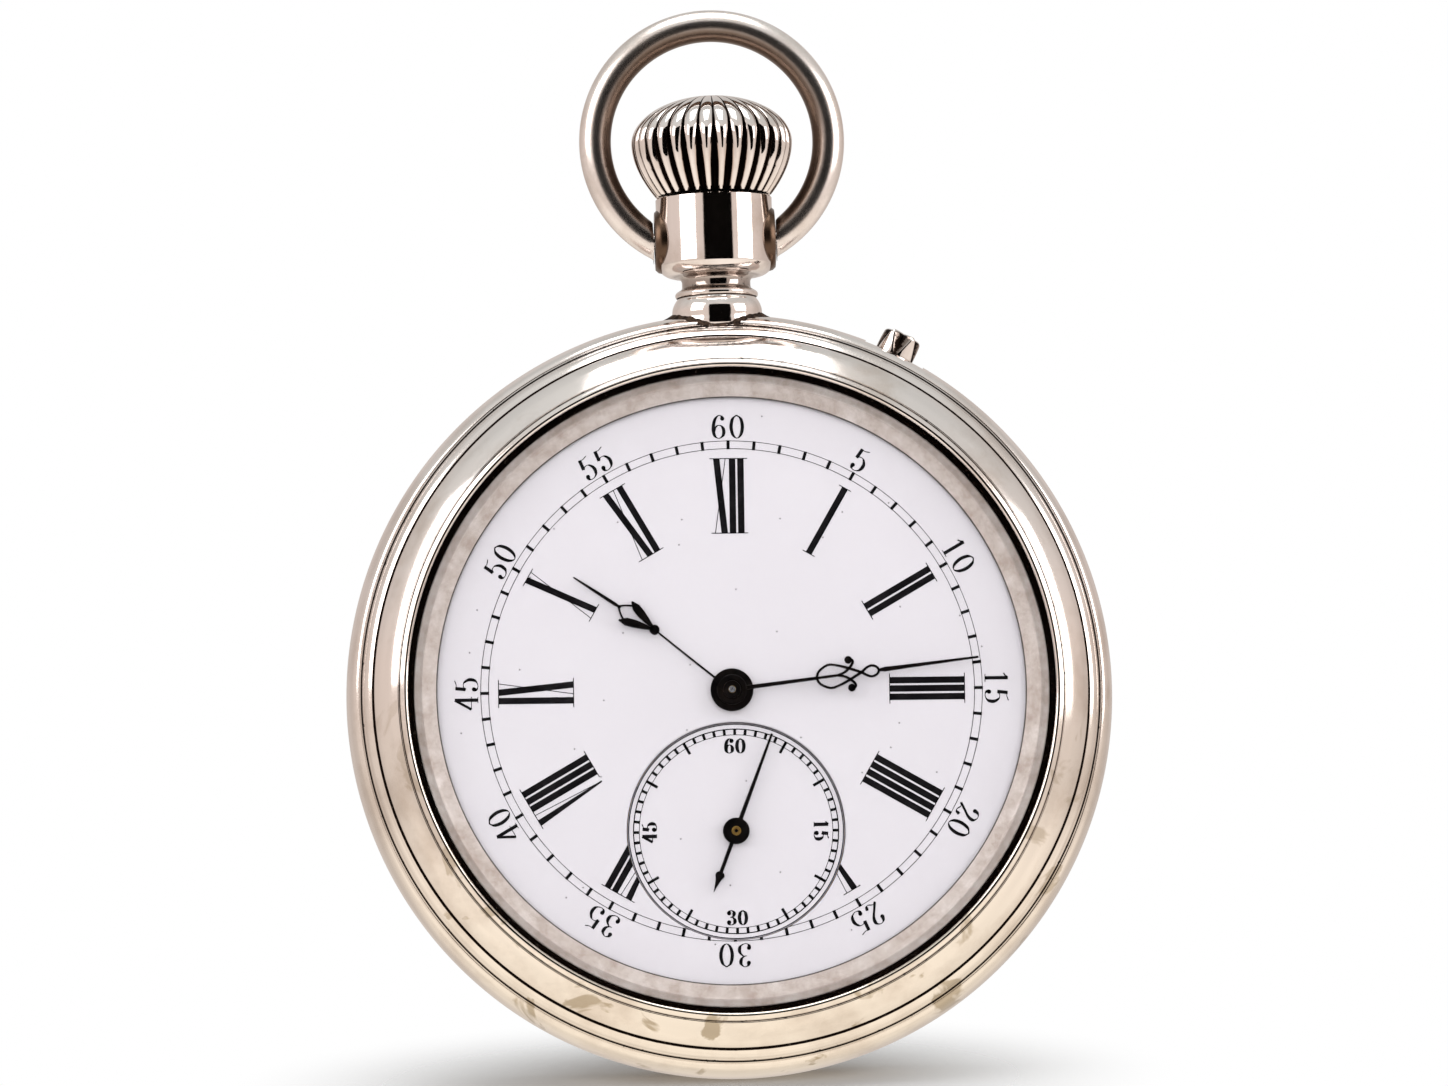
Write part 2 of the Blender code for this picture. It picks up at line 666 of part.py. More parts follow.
# Case radii
CASE_BORE = PLATE_RADIUS + CASE_FIT
CASE_RADIUS = CASE_BORE + BAND_WALL
SEAM_RADIUS = CASE_RADIUS - SEAM_INSET
STEP_RADIUS = CASE_RADIUS - STEP_INSET
REAR_SEAT_RADIUS = CASE_RADIUS - REAR_SEAT_INSET
LIP_RADIUS = SEAM_RADIUS - BEZEL_WIDTH
DIAL_RADIUS = PLATE_RADIUS - DIAL_INSET
FLANGE_RADIUS = DIAL_RADIUS - FLANGE_COVER
CRYSTAL_RADIUS = LIP_RADIUS + CRYSTAL_BITE
BACK_RIM_RADIUS = STEP_RADIUS - BACK_RIM_INSET
DUST_RIM_RADIUS = BACK_RIM_RADIUS - DUST_RIM_INSET
HINGE_X = -(BACK_RIM_RADIUS - HINGE_INSIDE)
HINGE_HEIGHT = CASE_BACK - HINGE_BELOW
DUST_HINGE_X = -(DUST_RIM_RADIUS + DUST_HINGE_OUT)

# Places along the stem
FOOT_TOP = CASE_RADIUS + FOOT_HEIGHT
NECK_BOTTOM = FOOT_TOP + BEAD_HEIGHT
SLEEVE_BOTTOM = NECK_BOTTOM + NECK_HEIGHT
SLEEVE_TOP = SLEEVE_BOTTOM + SLEEVE_CHAMFER + SLEEVE_HEIGHT
BOW_PIVOT = SLEEVE_TOP - BOW_PIVOT_DROP
BOW_END_X = SLEEVE_RADIUS + BOW_GAP
BOW_CENTRE = BOW_PIVOT + math.sqrt(BOW_RADIUS ** 2 - BOW_END_X ** 2)
CROWN_BOTTOM = SLEEVE_TOP + CROWN_GAP
WINDING_PINION_TOP = CROWN_WHEEL[1] + CONTRATE_RADIUS + (WINDING_PINION_LENGTH - CONTRATE_WIDTH) / 2
WINDING_PINION_BOTTOM = WINDING_PINION_TOP - WINDING_PINION_LENGTH
SLIDING_PINION_TOP = WINDING_PINION_BOTTOM - SEAT_GAP
SLIDING_PINION_BOTTOM = SLIDING_PINION_TOP - SLIDING_PINION_LENGTH
GROOVE_TOP = SLIDING_PINION_TOP - (SLIDING_PINION_LENGTH - GROOVE_WIDTH) / 2
GROOVE_MIDDLE = GROOVE_TOP - GROOVE_WIDTH / 2
PIN_FLAT = CASE_RADIUS - PIN_FLAT_DEPTH
PIN_HEAD_TOP = CASE_RADIUS + PIN_PROUD
PIN_TIP = CASE_BORE - PIN_REACH

# Feet and screws of the bridges
BRIDGE_FOOT_RING = BRIDGE_RADIUS - FOOT_RADIUS - FOOT_INSET
BARREL_BRIDGE_FEET = [bearing_point(BRIDGE_FOOT_RING, b) for b in BARREL_FOOT_BEARINGS]
TRAIN_BRIDGE_FEET = [bearing_point(BRIDGE_FOOT_RING, b) for b in TRAIN_FOOT_BEARINGS]
BALANCE_COCK_FOOT = bearing_point(BRIDGE_FOOT_RING, COCK_FOOT_BEARING)
PALLET_COCK_FOOT = bearing_point(PALLET_COCK_LENGTH, LEVER_BEARING + RIGHT_ANGLE, PALLET)
LEVER_PIVOT = bearing_point(PLATE_RADIUS - LEVER_PIVOT_INSET, LEVER_PIVOT_BEARING)
DIAL_FEET = [bearing_point(DIAL_RADIUS - DIAL_FOOT_INSET, b) for b in DIAL_FOOT_BEARINGS]
LEVER_LEAN = math.radians(RIGHT_ANGLE - LEVER_BEARING) + math.pi

# Click beside the ratchet wheel
RATCHET_TIP = pitch_radius(RATCHET_TEETH, WINDING_MODULE) + TIP_MODULES * WINDING_MODULE
CLICK = bearing_point(RATCHET_TIP + CLICK_PIVOT_OUT, CLICK_PIVOT_BEARING, BARREL)
CLICK_TIP = bearing_point(RATCHET_TIP + TOOTH_GAP + CLICK_TIP_RADIUS, CLICK_TIP_BEARING, BARREL)
CLICK_SPRING_FOOT = bearing_point(RATCHET_TIP + CLICK_SPRING_OUT, CLICK_SPRING_BEARING, BARREL)
CLICK_SPRING_TIP = bearing_point(CLICK_BOSS_RADIUS + RUN_GAP + CLICK_TIP_RADIUS, CLICK_PIVOT_BEARING, CLICK)
CLICK_BACK = BRIDGE_BACK - SEAT_GAP - CLICK_THICKNESS

# Fronts and reach of the hands
SECONDS_LENGTH = SECONDS_DIAL_RADIUS - SECONDS_HAND_INSET
SECONDS_HAND_FRONT = DIAL_FRONT + SECONDS_HAND_LIFT + HAND_THICKNESS
HOUR_HAND_FRONT = SECONDS_HAND_FRONT + HAND_GAP + HAND_THICKNESS
MINUTE_HAND_FRONT = HOUR_HAND_FRONT + HAND_GAP + HAND_THICKNESS


def rise(amount):
    """Height of a point that lies behind the main plate."""
    return PLATE_BACK - amount


def pivot_hole(centre):
    """Outline of a bearing hole."""
    return circle(PIVOT_RADIUS + RUN_GAP, centre=centre)


def shank_hole(centre):
    """Outline of a screw's hole."""
    return circle(SCREW_SHANK_RADIUS + RUN_GAP, centre=centre)


def band_side(grow):
    """Outer side of the band from its front seam to its rear seat, grown by a gap."""
    turns = [k * math.pi / 2 / DOME_STEPS for k in range(DOME_STEPS + 1)]
    step_height = CASE_FRONT - STEP_DROP
    front = [(STEP_RADIUS + (CASE_RADIUS - STEP_RADIUS) * math.sin(a), step_height * math.cos(a))
             for a in turns[:-1]]
    back = [(REAR_SEAT_RADIUS + (CASE_RADIUS - REAR_SEAT_RADIUS) * math.cos(a), CASE_BACK * math.sin(a))
            for a in turns]
    side = [(SEAM_RADIUS, CASE_FRONT)] + front + back
    return [(radius + grow, height) for radius, height in side]


def make_case_middle(watch):
    """Round band of the case with its stem hole, pin seat and hinge knuckles."""
    profile = [(CASE_BORE, CASE_FRONT)] + band_side(0.0) + [(CASE_BORE, CASE_BACK)]
    case = place_on_dial_axis("case_middle", turned("case_middle", profile), "silver", watch)
    inner = CASE_BORE - PIN_REACH
    outer = PIN_HEAD_TOP + PIN_TRAVEL
    shape_with(case, "DIFFERENCE", rod("stem_hole", STEM_RADIUS + RUN_GAP, inner, outer))
    half = PIN_FLAT_WIDTH / 2
    flat = block("pin_flat", (-half, -half, PIN_FLAT), (half, half, outer))
    shape_with(case, "DIFFERENCE", flat, turn=PIN_TURN)
    seat = PIN_FLAT - PIN_TRAVEL - SEAT_GAP
    shank = PIN_SHANK_RADIUS + RUN_GAP
    head = PIN_HEAD_RADIUS + RUN_GAP
    profile = [(0.0, inner), (shank, inner), (shank, seat), (head, seat), (head, outer), (0.0, outer)]
    shape_with(case, "DIFFERENCE", turned("pin_hole", profile, NECK_SIDES), turn=PIN_TURN)
    back = (HINGE_X, -HINGE_HEIGHT, 0.0)
    add_knuckles(case, back, KNUCKLE_RADIUS, HINGE_PIN_RADIUS, CASE_KNUCKLE, COVER_KNUCKLE, True)
    dust = (DUST_HINGE_X, -HINGE_HEIGHT, 0.0)
    add_knuckles(case, dust, DUST_KNUCKLE_RADIUS, DUST_PIN_RADIUS, DUST_CASE_KNUCKLE,
                 DUST_COVER_KNUCKLE, True)


def add_knuckles(target, at, radius, pin_radius, middle, outer, on_case):
    """Give the case or a cover its own knuckles on a hinge, and room for the other's."""
    near = middle / 2 + SEAT_GAP
    end = near + outer
    bore = pin_radius + RUN_GAP
    room = radius + RUN_GAP
    inner_cut, outer_cut = (bore, room) if on_case else (room, bore)
    spans = [(-middle / 2, middle / 2)] if on_case else [(near, end), (-end, -near)]
    for low, high in spans:
        shape_with(target, "UNION", rod("knuckle", radius, low, high), at)
    split = middle / 2 + SEAT_GAP / 2
    profile = [(0.0, -end - SEAT_GAP), (outer_cut, -end - SEAT_GAP), (outer_cut, -split), (inner_cut, -split),
               (inner_cut, split), (outer_cut, split), (outer_cut, end + SEAT_GAP), (0.0, end + SEAT_GAP)]
    shape_with(target, "DIFFERENCE", turned("knuckle_room", profile, SHAFT_SIDES), at)


def make_hinge_pin(name, watch, x, radius, middle, outer):
    """Straight pin through the knuckles of a hinge."""
    reach = middle / 2 + SEAT_GAP + outer
    place(name, rod(name, radius, -reach, reach), "steel", watch, (x, -HINGE_HEIGHT, 0.0))


def make_bezel(watch):
    """Snap-on front ring whose lip holds the crystal."""
    base = CASE_FRONT + SEAT_GAP
    groove_top = LIP_FRONT - LIP_THICKNESS
    groove_bottom = groove_top - CRYSTAL_EDGE - 2 * SEAT_GAP
    shoulder = LIP_RADIUS + LIP_WIDTH
    inside = LIP_RADIUS - CHANNEL
    turns = [k * math.pi / 2 / DOME_STEPS for k in range(DOME_STEPS + 1)]
    outside = [(shoulder + (SEAM_RADIUS - shoulder) * math.sin(a), base + (LIP_FRONT - base) * math.cos(a))
               for a in turns]
    profile = [(LIP_RADIUS, groove_top), (LIP_RADIUS, LIP_FRONT)] + outside
    profile += [(inside, base), (inside, groove_bottom)]
    profile += [(CRYSTAL_RADIUS + SEAT_GAP, groove_bottom), (CRYSTAL_RADIUS + SEAT_GAP, groove_top)]
    place_on_dial_axis("bezel", turned("bezel", profile), "silver", watch)


def dome(radius, low, amount):
    """Points of a shallow dome from its edge to its top."""
    shares = [1.0 - k / DOME_STEPS for k in range(DOME_STEPS + 1)]
    return [(radius * s, low + amount * (1.0 - s * s)) for s in shares]


def make_crystal(watch):
    """Domed watch glass, its edge held under the bezel's lip."""
    top = LIP_FRONT - LIP_THICKNESS - SEAT_GAP
    low = top - CRYSTAL_EDGE
    apex = LIP_FRONT + CRYSTAL_RISE
    outside = dome(LIP_RADIUS - SEAT_GAP, top, apex - top)
    under = dome(LIP_RADIUS - CHANNEL - SEAT_GAP, low, apex - CRYSTAL_THICKNESS - low)
    profile = [(CRYSTAL_RADIUS, low), (CRYSTAL_RADIUS, top)] + outside + under[::-1]
    place_on_dial_axis("crystal", turned("crystal", profile), "glass", watch)


def make_dial_flange(watch):
    """Dull ring that frames the dial under the bezel."""
    low = DIAL_FRONT + SEAT_GAP
    outer = LIP_RADIUS - CHANNEL - SEAT_GAP
    profile = [(FLANGE_RADIUS, low), (FLANGE_RADIUS, low + FLANGE_EDGE),
               (outer, low + FLANGE_HEIGHT), (outer, low)]
    place_on_dial_axis("dial_flange", turned("dial_flange", profile), "dull_metal", watch)


def make_back_cover(watch):
    """Hinged outer back with a flat in its middle."""
    rim = CASE_BACK - SEAT_GAP
    shoulder = BACK_RIM_RADIUS - BACK_SHOULDER
    turns = [k * math.pi / 2 / DOME_STEPS for k in range(DOME_STEPS + 1)]
    outside = [(shoulder + BACK_SHOULDER * math.cos(a), rim - BACK_SHOULDER_HEIGHT * math.sin(a))
               for a in turns]
    outside += [(BACK_FLAT_RADIUS, BACK_OUTSIDE), (0.0, BACK_OUTSIDE)]
    roof = BACK_OUTSIDE + BACK_WALL
    inside = [(0.0, roof), (BACK_FLAT_RADIUS, roof)]
    inside += [(shoulder - BACK_WALL / 2, rim - BACK_SHOULDER_HEIGHT + BACK_WALL)]
    inside += [(BACK_RIM_RADIUS - BACK_WALL, rim)]
    hinge = empty("back_hinge", watch, (HINGE_X, -HINGE_HEIGHT, 0.0))
    cover = place("back_cover", turned("back_cover", outside + inside), "silver", hinge,
                  (-HINGE_X, HINGE_HEIGHT, 0.0), DIAL_TURN)
    at_hinge = (0.0, 0.0, 0.0)
    add_knuckles(cover, at_hinge, KNUCKLE_RADIUS, HINGE_PIN_RADIUS, CASE_KNUCKLE, COVER_KNUCKLE, False)
    make_hinge_pin("back_hinge_pin", watch, HINGE_X, HINGE_PIN_RADIUS, CASE_KNUCKLE, COVER_KNUCKLE)


def make_dust_cover(watch):
    """Hinged inner back that shields the movement."""
    rim = CASE_BACK - SEAT_GAP
    outside = [(DUST_RIM_RADIUS, rim)] + dome(DUST_RIM_RADIUS, rim - DUST_THICKNESS, -DUST_RISE)
    inside = dome(CASE_BORE, rim, -DUST_RISE)[::-1]
    hinge = empty("dust_hinge", watch, (DUST_HINGE_X, -HINGE_HEIGHT, 0.0))
    cover = place("dust_cover", turned("dust_cover", outside + inside), "silver", hinge,
                  (-DUST_HINGE_X, HINGE_HEIGHT, 0.0), DIAL_TURN)
    at_hinge = (0.0, 0.0, 0.0)
    add_knuckles(cover, at_hinge, DUST_KNUCKLE_RADIUS, DUST_PIN_RADIUS, DUST_CASE_KNUCKLE,
                 DUST_COVER_KNUCKLE, False)
    make_hinge_pin("dust_hinge_pin", watch, DUST_HINGE_X, DUST_PIN_RADIUS, DUST_CASE_KNUCKLE,
                   DUST_COVER_KNUCKLE)


def empty(name, parent, location=(0.0, 0.0, 0.0)):
    """Empty that carries pieces."""
    made = bpy.data.objects.new(name, None)
    bpy.context.scene.collection.objects.link(made)
    made.parent = parent
    made.location = location
    return made


def make_pendant(watch):
    """Neck soldered to the band, with a sleeve that takes the ends of the bow."""
    bore = STEM_RADIUS + RUN_GAP
    low = CASE_RADIUS - FOOT_SINK
    outside = [(PENDANT_FOOT_RADIUS, low), (PENDANT_FOOT_RADIUS, CASE_RADIUS),
               (PENDANT_BEAD_RADIUS, FOOT_TOP), (PENDANT_BEAD_RADIUS, NECK_BOTTOM),
               (PENDANT_NECK_RADIUS, NECK_BOTTOM + NECK_COVE),
               (PENDANT_NECK_RADIUS, SLEEVE_BOTTOM), (SLEEVE_RADIUS - SLEEVE_CHAMFER, SLEEVE_BOTTOM),
               (SLEEVE_RADIUS, SLEEVE_BOTTOM + SLEEVE_CHAMFER), (SLEEVE_RADIUS, SLEEVE_TOP)]
    inside = [(bore, SLEEVE_TOP), (bore, low)]
    pendant = place("pendant", turned("pendant", outside + inside, NECK_SIDES), "silver", watch)
    saddle = [(0.0, CASE_FRONT)] + band_side(SEAT_GAP) + [(0.0, CASE_BACK)]
    shape_with(pendant, "DIFFERENCE", turned("saddle", saddle), turn=DIAL_TURN)
    deep = SLEEVE_RADIUS - BOW_PIVOT_BITE - SEAT_GAP
    for low_x, high_x in ((deep, BOW_END_X), (-BOW_END_X, -deep)):
        hole = rod("bow_hole", BOW_PIVOT_RADIUS + RUN_GAP, low_x, high_x)
        shape_with(pendant, "DIFFERENCE", hole, (0.0, 0.0, BOW_PIVOT), ACROSS_TURN)


def make_bow(watch):
    """Round wire ring that swings on two pivots in the pendant."""
    hinge = empty("bow_hinge", watch, (0.0, 0.0, BOW_PIVOT))
    lift = BOW_CENTRE - BOW_PIVOT
    open_half = math.asin((BOW_END_X - BOW_WIRE_RADIUS) / BOW_RADIUS)
    rings = []
    for k in range(BOW_STEPS + 1):
        angle = -math.pi / 2 + open_half + (2 * math.pi - 2 * open_half) * k / BOW_STEPS
        section = circle(BOW_WIRE_RADIUS, BOW_SIDES)
        rings.append([((BOW_RADIUS + out) * math.cos(angle), aside,
                       lift + (BOW_RADIUS + out) * math.sin(angle))
                      for out, aside in section])
    bow = place("bow", swept("bow", rings), "silver", hinge)
    room = 2 * BOW_WIRE_RADIUS
    clear = block("bow_clear", (-BOW_END_X, -room, -2 * room), (BOW_END_X, room, room))
    shape_with(bow, "DIFFERENCE", clear)
    tip = SLEEVE_RADIUS - BOW_PIVOT_BITE
    root = BOW_END_X + BOW_PIVOT_RADIUS
    for low_x, high_x in ((tip, root), (-root, -tip)):
        shape_with(bow, "UNION", rod("bow_pivot", BOW_PIVOT_RADIUS, low_x, high_x), turn=ACROSS_TURN)


def make_crown(watch):
    """Ribbed winding knob, bored for the stem."""
    bore = STEM_RADIUS + SEAT_GAP
    swell = CROWN_RADIUS - CROWN_BOTTOM_RADIUS
    lower = [(CROWN_BOTTOM_RADIUS + swell * math.sin(math.pi / 2 * s), CROWN_WAIST * s)
             for s in (k / CROWN_STEPS for k in range(CROWN_STEPS + 1))]
    cap = CROWN_HEIGHT - CROWN_WAIST
    upper = [(CROWN_RADIUS * math.cos(a), CROWN_WAIST + cap * math.sin(a))
             for a in (k * math.pi / 2 / CROWN_STEPS for k in range(1, CROWN_STEPS))]
    top = CROWN_BOTTOM + CROWN_BORE_DEPTH
    rings = [[(0.0, 0.0, top)], ribbed_ring(bore, top, 0.0), ribbed_ring(bore, CROWN_BOTTOM, 0.0)]
    for radius, height in lower + upper:
        depth = CROWN_RIB_DEPTH * (1.0 - height / CROWN_HEIGHT)
        rings.append(ribbed_ring(radius, CROWN_BOTTOM + height, depth))
    rings.append([(0.0, 0.0, CROWN_BOTTOM + CROWN_HEIGHT)])
    place("crown", lofted("crown", rings), "silver", watch)


def ribbed_ring(radius, height, depth):
    """Ring of points whose radius falls by a depth between ribs."""
    step = math.pi / CROWN_RIB_COUNT
    radii = [radius - depth * (k % 2) for k in range(2 * CROWN_RIB_COUNT)]
    return [(r * math.cos(k * step), r * math.sin(k * step), height) for k, r in enumerate(radii)]


def make_stem_pieces(watch):
    """Winding stem with its winding pinion and its sliding pinion."""
    low = SLIDING_PINION_BOTTOM - STEM_TAIL
    high = CROWN_BOTTOM + CROWN_BORE_DEPTH - SEAT_GAP
    place("winding_stem", rod("winding_stem", STEM_RADIUS, low, high), "steel", watch)
    gap_up = math.pi / 2 + math.pi / WINDING_TEETH
    fixed = circle(STEM_RADIUS + SEAT_GAP)
    teeth = gear(WINDING_TEETH, WINDING_PINION_MODULE, gap_up)
    pinion_mesh = stacked("winding_pinion", [(WINDING_PINION_BOTTOM, WINDING_PINION_TOP, [teeth, fixed])])
    place("winding_pinion", pinion_mesh, "steel", watch)
    loose = circle(STEM_RADIUS + RUN_GAP)
    teeth = gear(SLIDING_TEETH, SLIDING_MODULE, 0.0)
    groove = circle(GROOVE_RADIUS)
    groove_low = GROOVE_MIDDLE - GROOVE_WIDTH / 2
    layers = [(SLIDING_PINION_BOTTOM, groove_low, [teeth, loose]), (groove_low, GROOVE_TOP, [groove, loose]),
              (GROOVE_TOP, SLIDING_PINION_TOP, [teeth, loose])]
    place("sliding_pinion", stacked("sliding_pinion", layers), "steel", watch)


def make_set_pin(watch):
    """Push piece beside the pendant that sets the hands."""
    profile = [(0.0, PIN_TIP), (PIN_SHANK_RADIUS, PIN_TIP), (PIN_SHANK_RADIUS, PIN_FLAT),
               (PIN_HEAD_RADIUS, PIN_FLAT), (PIN_HEAD_RADIUS, PIN_HEAD_TOP - PIN_HEAD_ROUND),
               (PIN_HEAD_RADIUS - PIN_HEAD_ROUND, PIN_HEAD_TOP),
               (0.0, PIN_HEAD_TOP)]
    place("set_pin", turned("set_pin", profile, NECK_SIDES), "silver", watch, turn=PIN_TURN)


def make_setting_lever(watch):
    """Bent lever from the set pin to the groove of the sliding pinion."""
    elbow = bearing_point(PIN_TIP - SEAT_GAP - LEVER_ARM_RADIUS, PIN_BEARING)
    finger = (GROOVE_RADIUS + FINGER_ROOM + LEVER_FINGER_RADIUS, GROOVE_MIDDLE)
    arm = math.atan2(elbow[1] - LEVER_PIVOT[1], elbow[0] - LEVER_PIVOT[0])
    reach = math.atan2(finger[1] - elbow[1], finger[0] - elbow[0]) % (2 * math.pi)
    quarter = math.pi / 2
    outline = arc(LEVER_BOSS_RADIUS, arm + quarter, arm + 3 * quarter, LEAF_STEPS, LEVER_PIVOT)
    outline += arc(LEVER_ARM_RADIUS, arm - quarter, reach - quarter, ELBOW_STEPS, elbow)
    outline += arc(LEVER_FINGER_RADIUS, reach - quarter, reach + quarter, FINGER_STEPS, finger)
    middle = (arm + reach) / 2 + quarter
    outline.append((elbow[0] + LEVER_ARM_RADIUS * math.cos(middle),
                    elbow[1] + LEVER_ARM_RADIUS * math.sin(middle)))
    hole = circle(LEVER_POST_RADIUS + RUN_GAP, centre=LEVER_PIVOT)
    own = [shifted(tuple(loop), (-LEVER_PIVOT[0], -LEVER_PIVOT[1])) for loop in (outline, hole)]
    mesh = stacked("setting_lever", [(rise(LEVER_RISE + LEVER_THICKNESS), rise(LEVER_RISE), own)])
    place_on_dial_axis("setting_lever", mesh, "steel", watch, LEVER_PIVOT)


def slotted_disc():
    """Outline of a disc with a gap in its rim for the winding pinion at 12 o'clock."""
    half = WINDING_TIP + BRIDGE_GAP
    floor = WINDING_PINION_BOTTOM - BRIDGE_GAP
    side = math.asin(half / PLATE_RADIUS)
    outline = arc(PLATE_RADIUS, math.pi / 2 + side, 5 * math.pi / 2 - side, RING_SIDES)
    return tuple(outline + [(half, floor), (-half, floor)])


def make_main_plate(watch):
    """Base of the movement, with every front bearing and three posts."""
    holes = [pivot_hole(p) for p in (THIRD, FOURTH, ESCAPE, PALLET, BALANCE)]
    holes.append(circle(CENTRE_ARBOR_RADIUS + RUN_GAP))
    holes.append(circle(BARREL_FRONT_PIVOT + RUN_GAP, centre=BARREL))
    screws = BARREL_BRIDGE_FEET + TRAIN_BRIDGE_FEET + [BALANCE_COCK_FOOT, PALLET_COCK_FOOT]
    holes += [shank_hole(p) for p in screws]
    holes += [circle(DIAL_FOOT_RADIUS + RUN_GAP, centre=p) for p in DIAL_FEET]
    lever_post = circle(LEVER_POST_RADIUS, centre=LEVER_PIVOT)
    front_posts = [circle(WHEEL_POST_RADIUS, centre=p) for p in (MINUTE_WHEEL, SETTING_WHEEL)]
    layers = [(rise(LEVER_RISE + LEVER_THICKNESS), PLATE_BACK, [lever_post]),
              (PLATE_BACK, PLATE_FRONT, [slotted_disc()] + holes),
              (PLATE_FRONT, DIAL_BACK - SEAT_GAP, front_posts)]
    place_on_dial_axis("main_plate", stacked("main_plate", layers), "gilt_brass", watch)


def make_bridge(name, watch, outline, feet, foot_radius, holes, front, back):
    """Bridge or cock: a flat outline on feet that stand on the main plate."""
    screw_holes = [shank_hole(p) for p in feet]
    legs = [circle(foot_radius, 2 * SHAFT_SIDES, p) for p in feet]
    layers = [(back, front, [outline] + holes + screw_holes),
              (front, PLATE_BACK - SEAT_GAP, legs + screw_holes)]
    place_on_dial_axis(name, stacked(name, layers), "gilt_brass", watch)


def make_bridges(watch):
    """Barrel bridge, train bridge, balance cock and pallet cock."""
    half = WINDING_TIP + BRIDGE_GAP
    floor = WINDING_PINION_BOTTOM - BRIDGE_GAP
    side = math.asin(half / BRIDGE_RADIUS)
    left_line = BALANCE[1] + BALANCE_RADIUS
    left_start = math.pi - math.asin(left_line / BRIDGE_RADIUS)
    right_start = math.asin(CENTRE_PAD / BRIDGE_RADIUS)
    outline = arc(BRIDGE_RADIUS, right_start, math.pi / 2 - side, 2 * LEAF_STEPS)
    outline += [(half, floor), (-half, floor)]
    outline += arc(BRIDGE_RADIUS, math.pi / 2 + side, left_start, 2 * LEAF_STEPS)
    outline += [(-CENTRE_PAD - BRIDGE_GAP, left_line), (-CENTRE_PAD - BRIDGE_GAP, CENTRE_PAD)]
    holes = [circle(BARREL_BORE_RADIUS, centre=BARREL), shank_hole(CROWN_WHEEL), shank_hole(CLICK)]
    make_bridge("barrel_bridge", watch, tuple(outline), BARREL_BRIDGE_FEET, FOOT_RADIUS, holes,
                BRIDGE_FRONT, BRIDGE_BACK)

    top = CENTRE_PAD - BRIDGE_GAP
    start = math.asin(top / BRIDGE_RADIUS)
    end = -math.pi / 2 - math.asin(-ESCAPE[0] / BRIDGE_RADIUS)
    outline = arc(BRIDGE_RADIUS, start, end, 2 * LEAF_STEPS)
    outline += arc(ESCAPE_PAD, math.pi + LEVER_LEAN, math.pi / 2 + LEVER_LEAN, LEAF_STEPS, ESCAPE)
    outline += [(-CENTRE_PAD, BALANCE[1]), (-CENTRE_PAD, top)]
    holes = [pivot_hole(p) for p in (CENTRE, THIRD, FOURTH, ESCAPE)]
    make_bridge("train_bridge", watch, tuple(outline), TRAIN_BRIDGE_FEET, FOOT_RADIUS, holes,
                BRIDGE_FRONT, BRIDGE_BACK)

    outline = tapered_bar(BALANCE_COCK_FOOT, FOOT_RADIUS + BRIDGE_GAP, BALANCE, COCK_END_RADIUS)
    make_bridge("balance_cock", watch, outline, [BALANCE_COCK_FOOT], FOOT_RADIUS, [pivot_hole(BALANCE)],
                BRIDGE_FRONT, BRIDGE_BACK)
    small_foot = SCREW_HEAD_RADIUS + RUN_GAP
    outline = tapered_bar(PALLET_COCK_FOOT, small_foot + RUN_GAP, PALLET, SCREW_HEAD_RADIUS - BRIDGE_GAP)
    make_bridge("pallet_cock", watch, outline, [PALLET_COCK_FOOT], small_foot, [pivot_hole(PALLET)],
                rise(PALLET_COCK_RISE), rise(PALLET_COCK_RISE + PALLET_COCK_THICKNESS))


def make_screw(name, watch, centre, seat, tip, head_height, head_radius=SCREW_HEAD_RADIUS):
    """Slotted screw whose head stands behind a seat and whose shank points to the dial."""
    inner = head_radius - SCREW_HEAD_ROUND
    lean = math.asin(SCREW_SLOT_WIDTH / 2 / inner)
    halves = [tuple(arc(inner, start + lean, start + math.pi - lean, LEAF_STEPS)) for start in (0.0, math.pi)]
    face = seat - SEAT_GAP
    slot_floor = face - head_height * (1.0 - SCREW_SLOT_SHARE)
    layers = [(face - head_height, slot_floor, halves),
              (slot_floor, face, [circle(head_radius, 2 * LEAF_STEPS)]),
              (face, tip, [circle(SCREW_SHANK_RADIUS)])]
    place_on_dial_axis(name, stacked(name, layers), "blued_steel", watch, centre)


def make_screws(watch):
    """Screws of the bridges, the cocks and the winding wheels."""
    deep = PLATE_BACK + SCREW_BITE
    bridges = (("barrel_bridge_screw", BARREL_BRIDGE_FEET), ("train_bridge_screw", TRAIN_BRIDGE_FEET))
    for base, feet in bridges:
        for k, foot in enumerate(feet, 1):
            make_screw(f"{base}_{k}", watch, foot, BRIDGE_BACK, deep, SCREW_HEAD_HEIGHT)
    make_screw("balance_cock_screw", watch, BALANCE_COCK_FOOT, BRIDGE_BACK, deep, SCREW_HEAD_HEIGHT)
    pallet_seat = rise(PALLET_COCK_RISE + PALLET_COCK_THICKNESS)
    make_screw("pallet_cock_screw", watch, PALLET_COCK_FOOT, pallet_seat, deep, SMALL_HEAD_HEIGHT)
    in_bridge = BRIDGE_FRONT - SEAT_GAP
    make_screw("crown_wheel_screw", watch, CROWN_WHEEL, WINDING_BACK, in_bridge, SCREW_HEAD_HEIGHT, WHEEL_HUB)
    make_screw("ratchet_screw", watch, BARREL, WINDING_BACK, BRIDGE_BACK, SCREW_HEAD_HEIGHT, WHEEL_HUB)
    make_screw("click_screw", watch, CLICK, CLICK_BACK, in_bridge, SMALL_HEAD_HEIGHT, CLICK_BOSS_RADIUS)


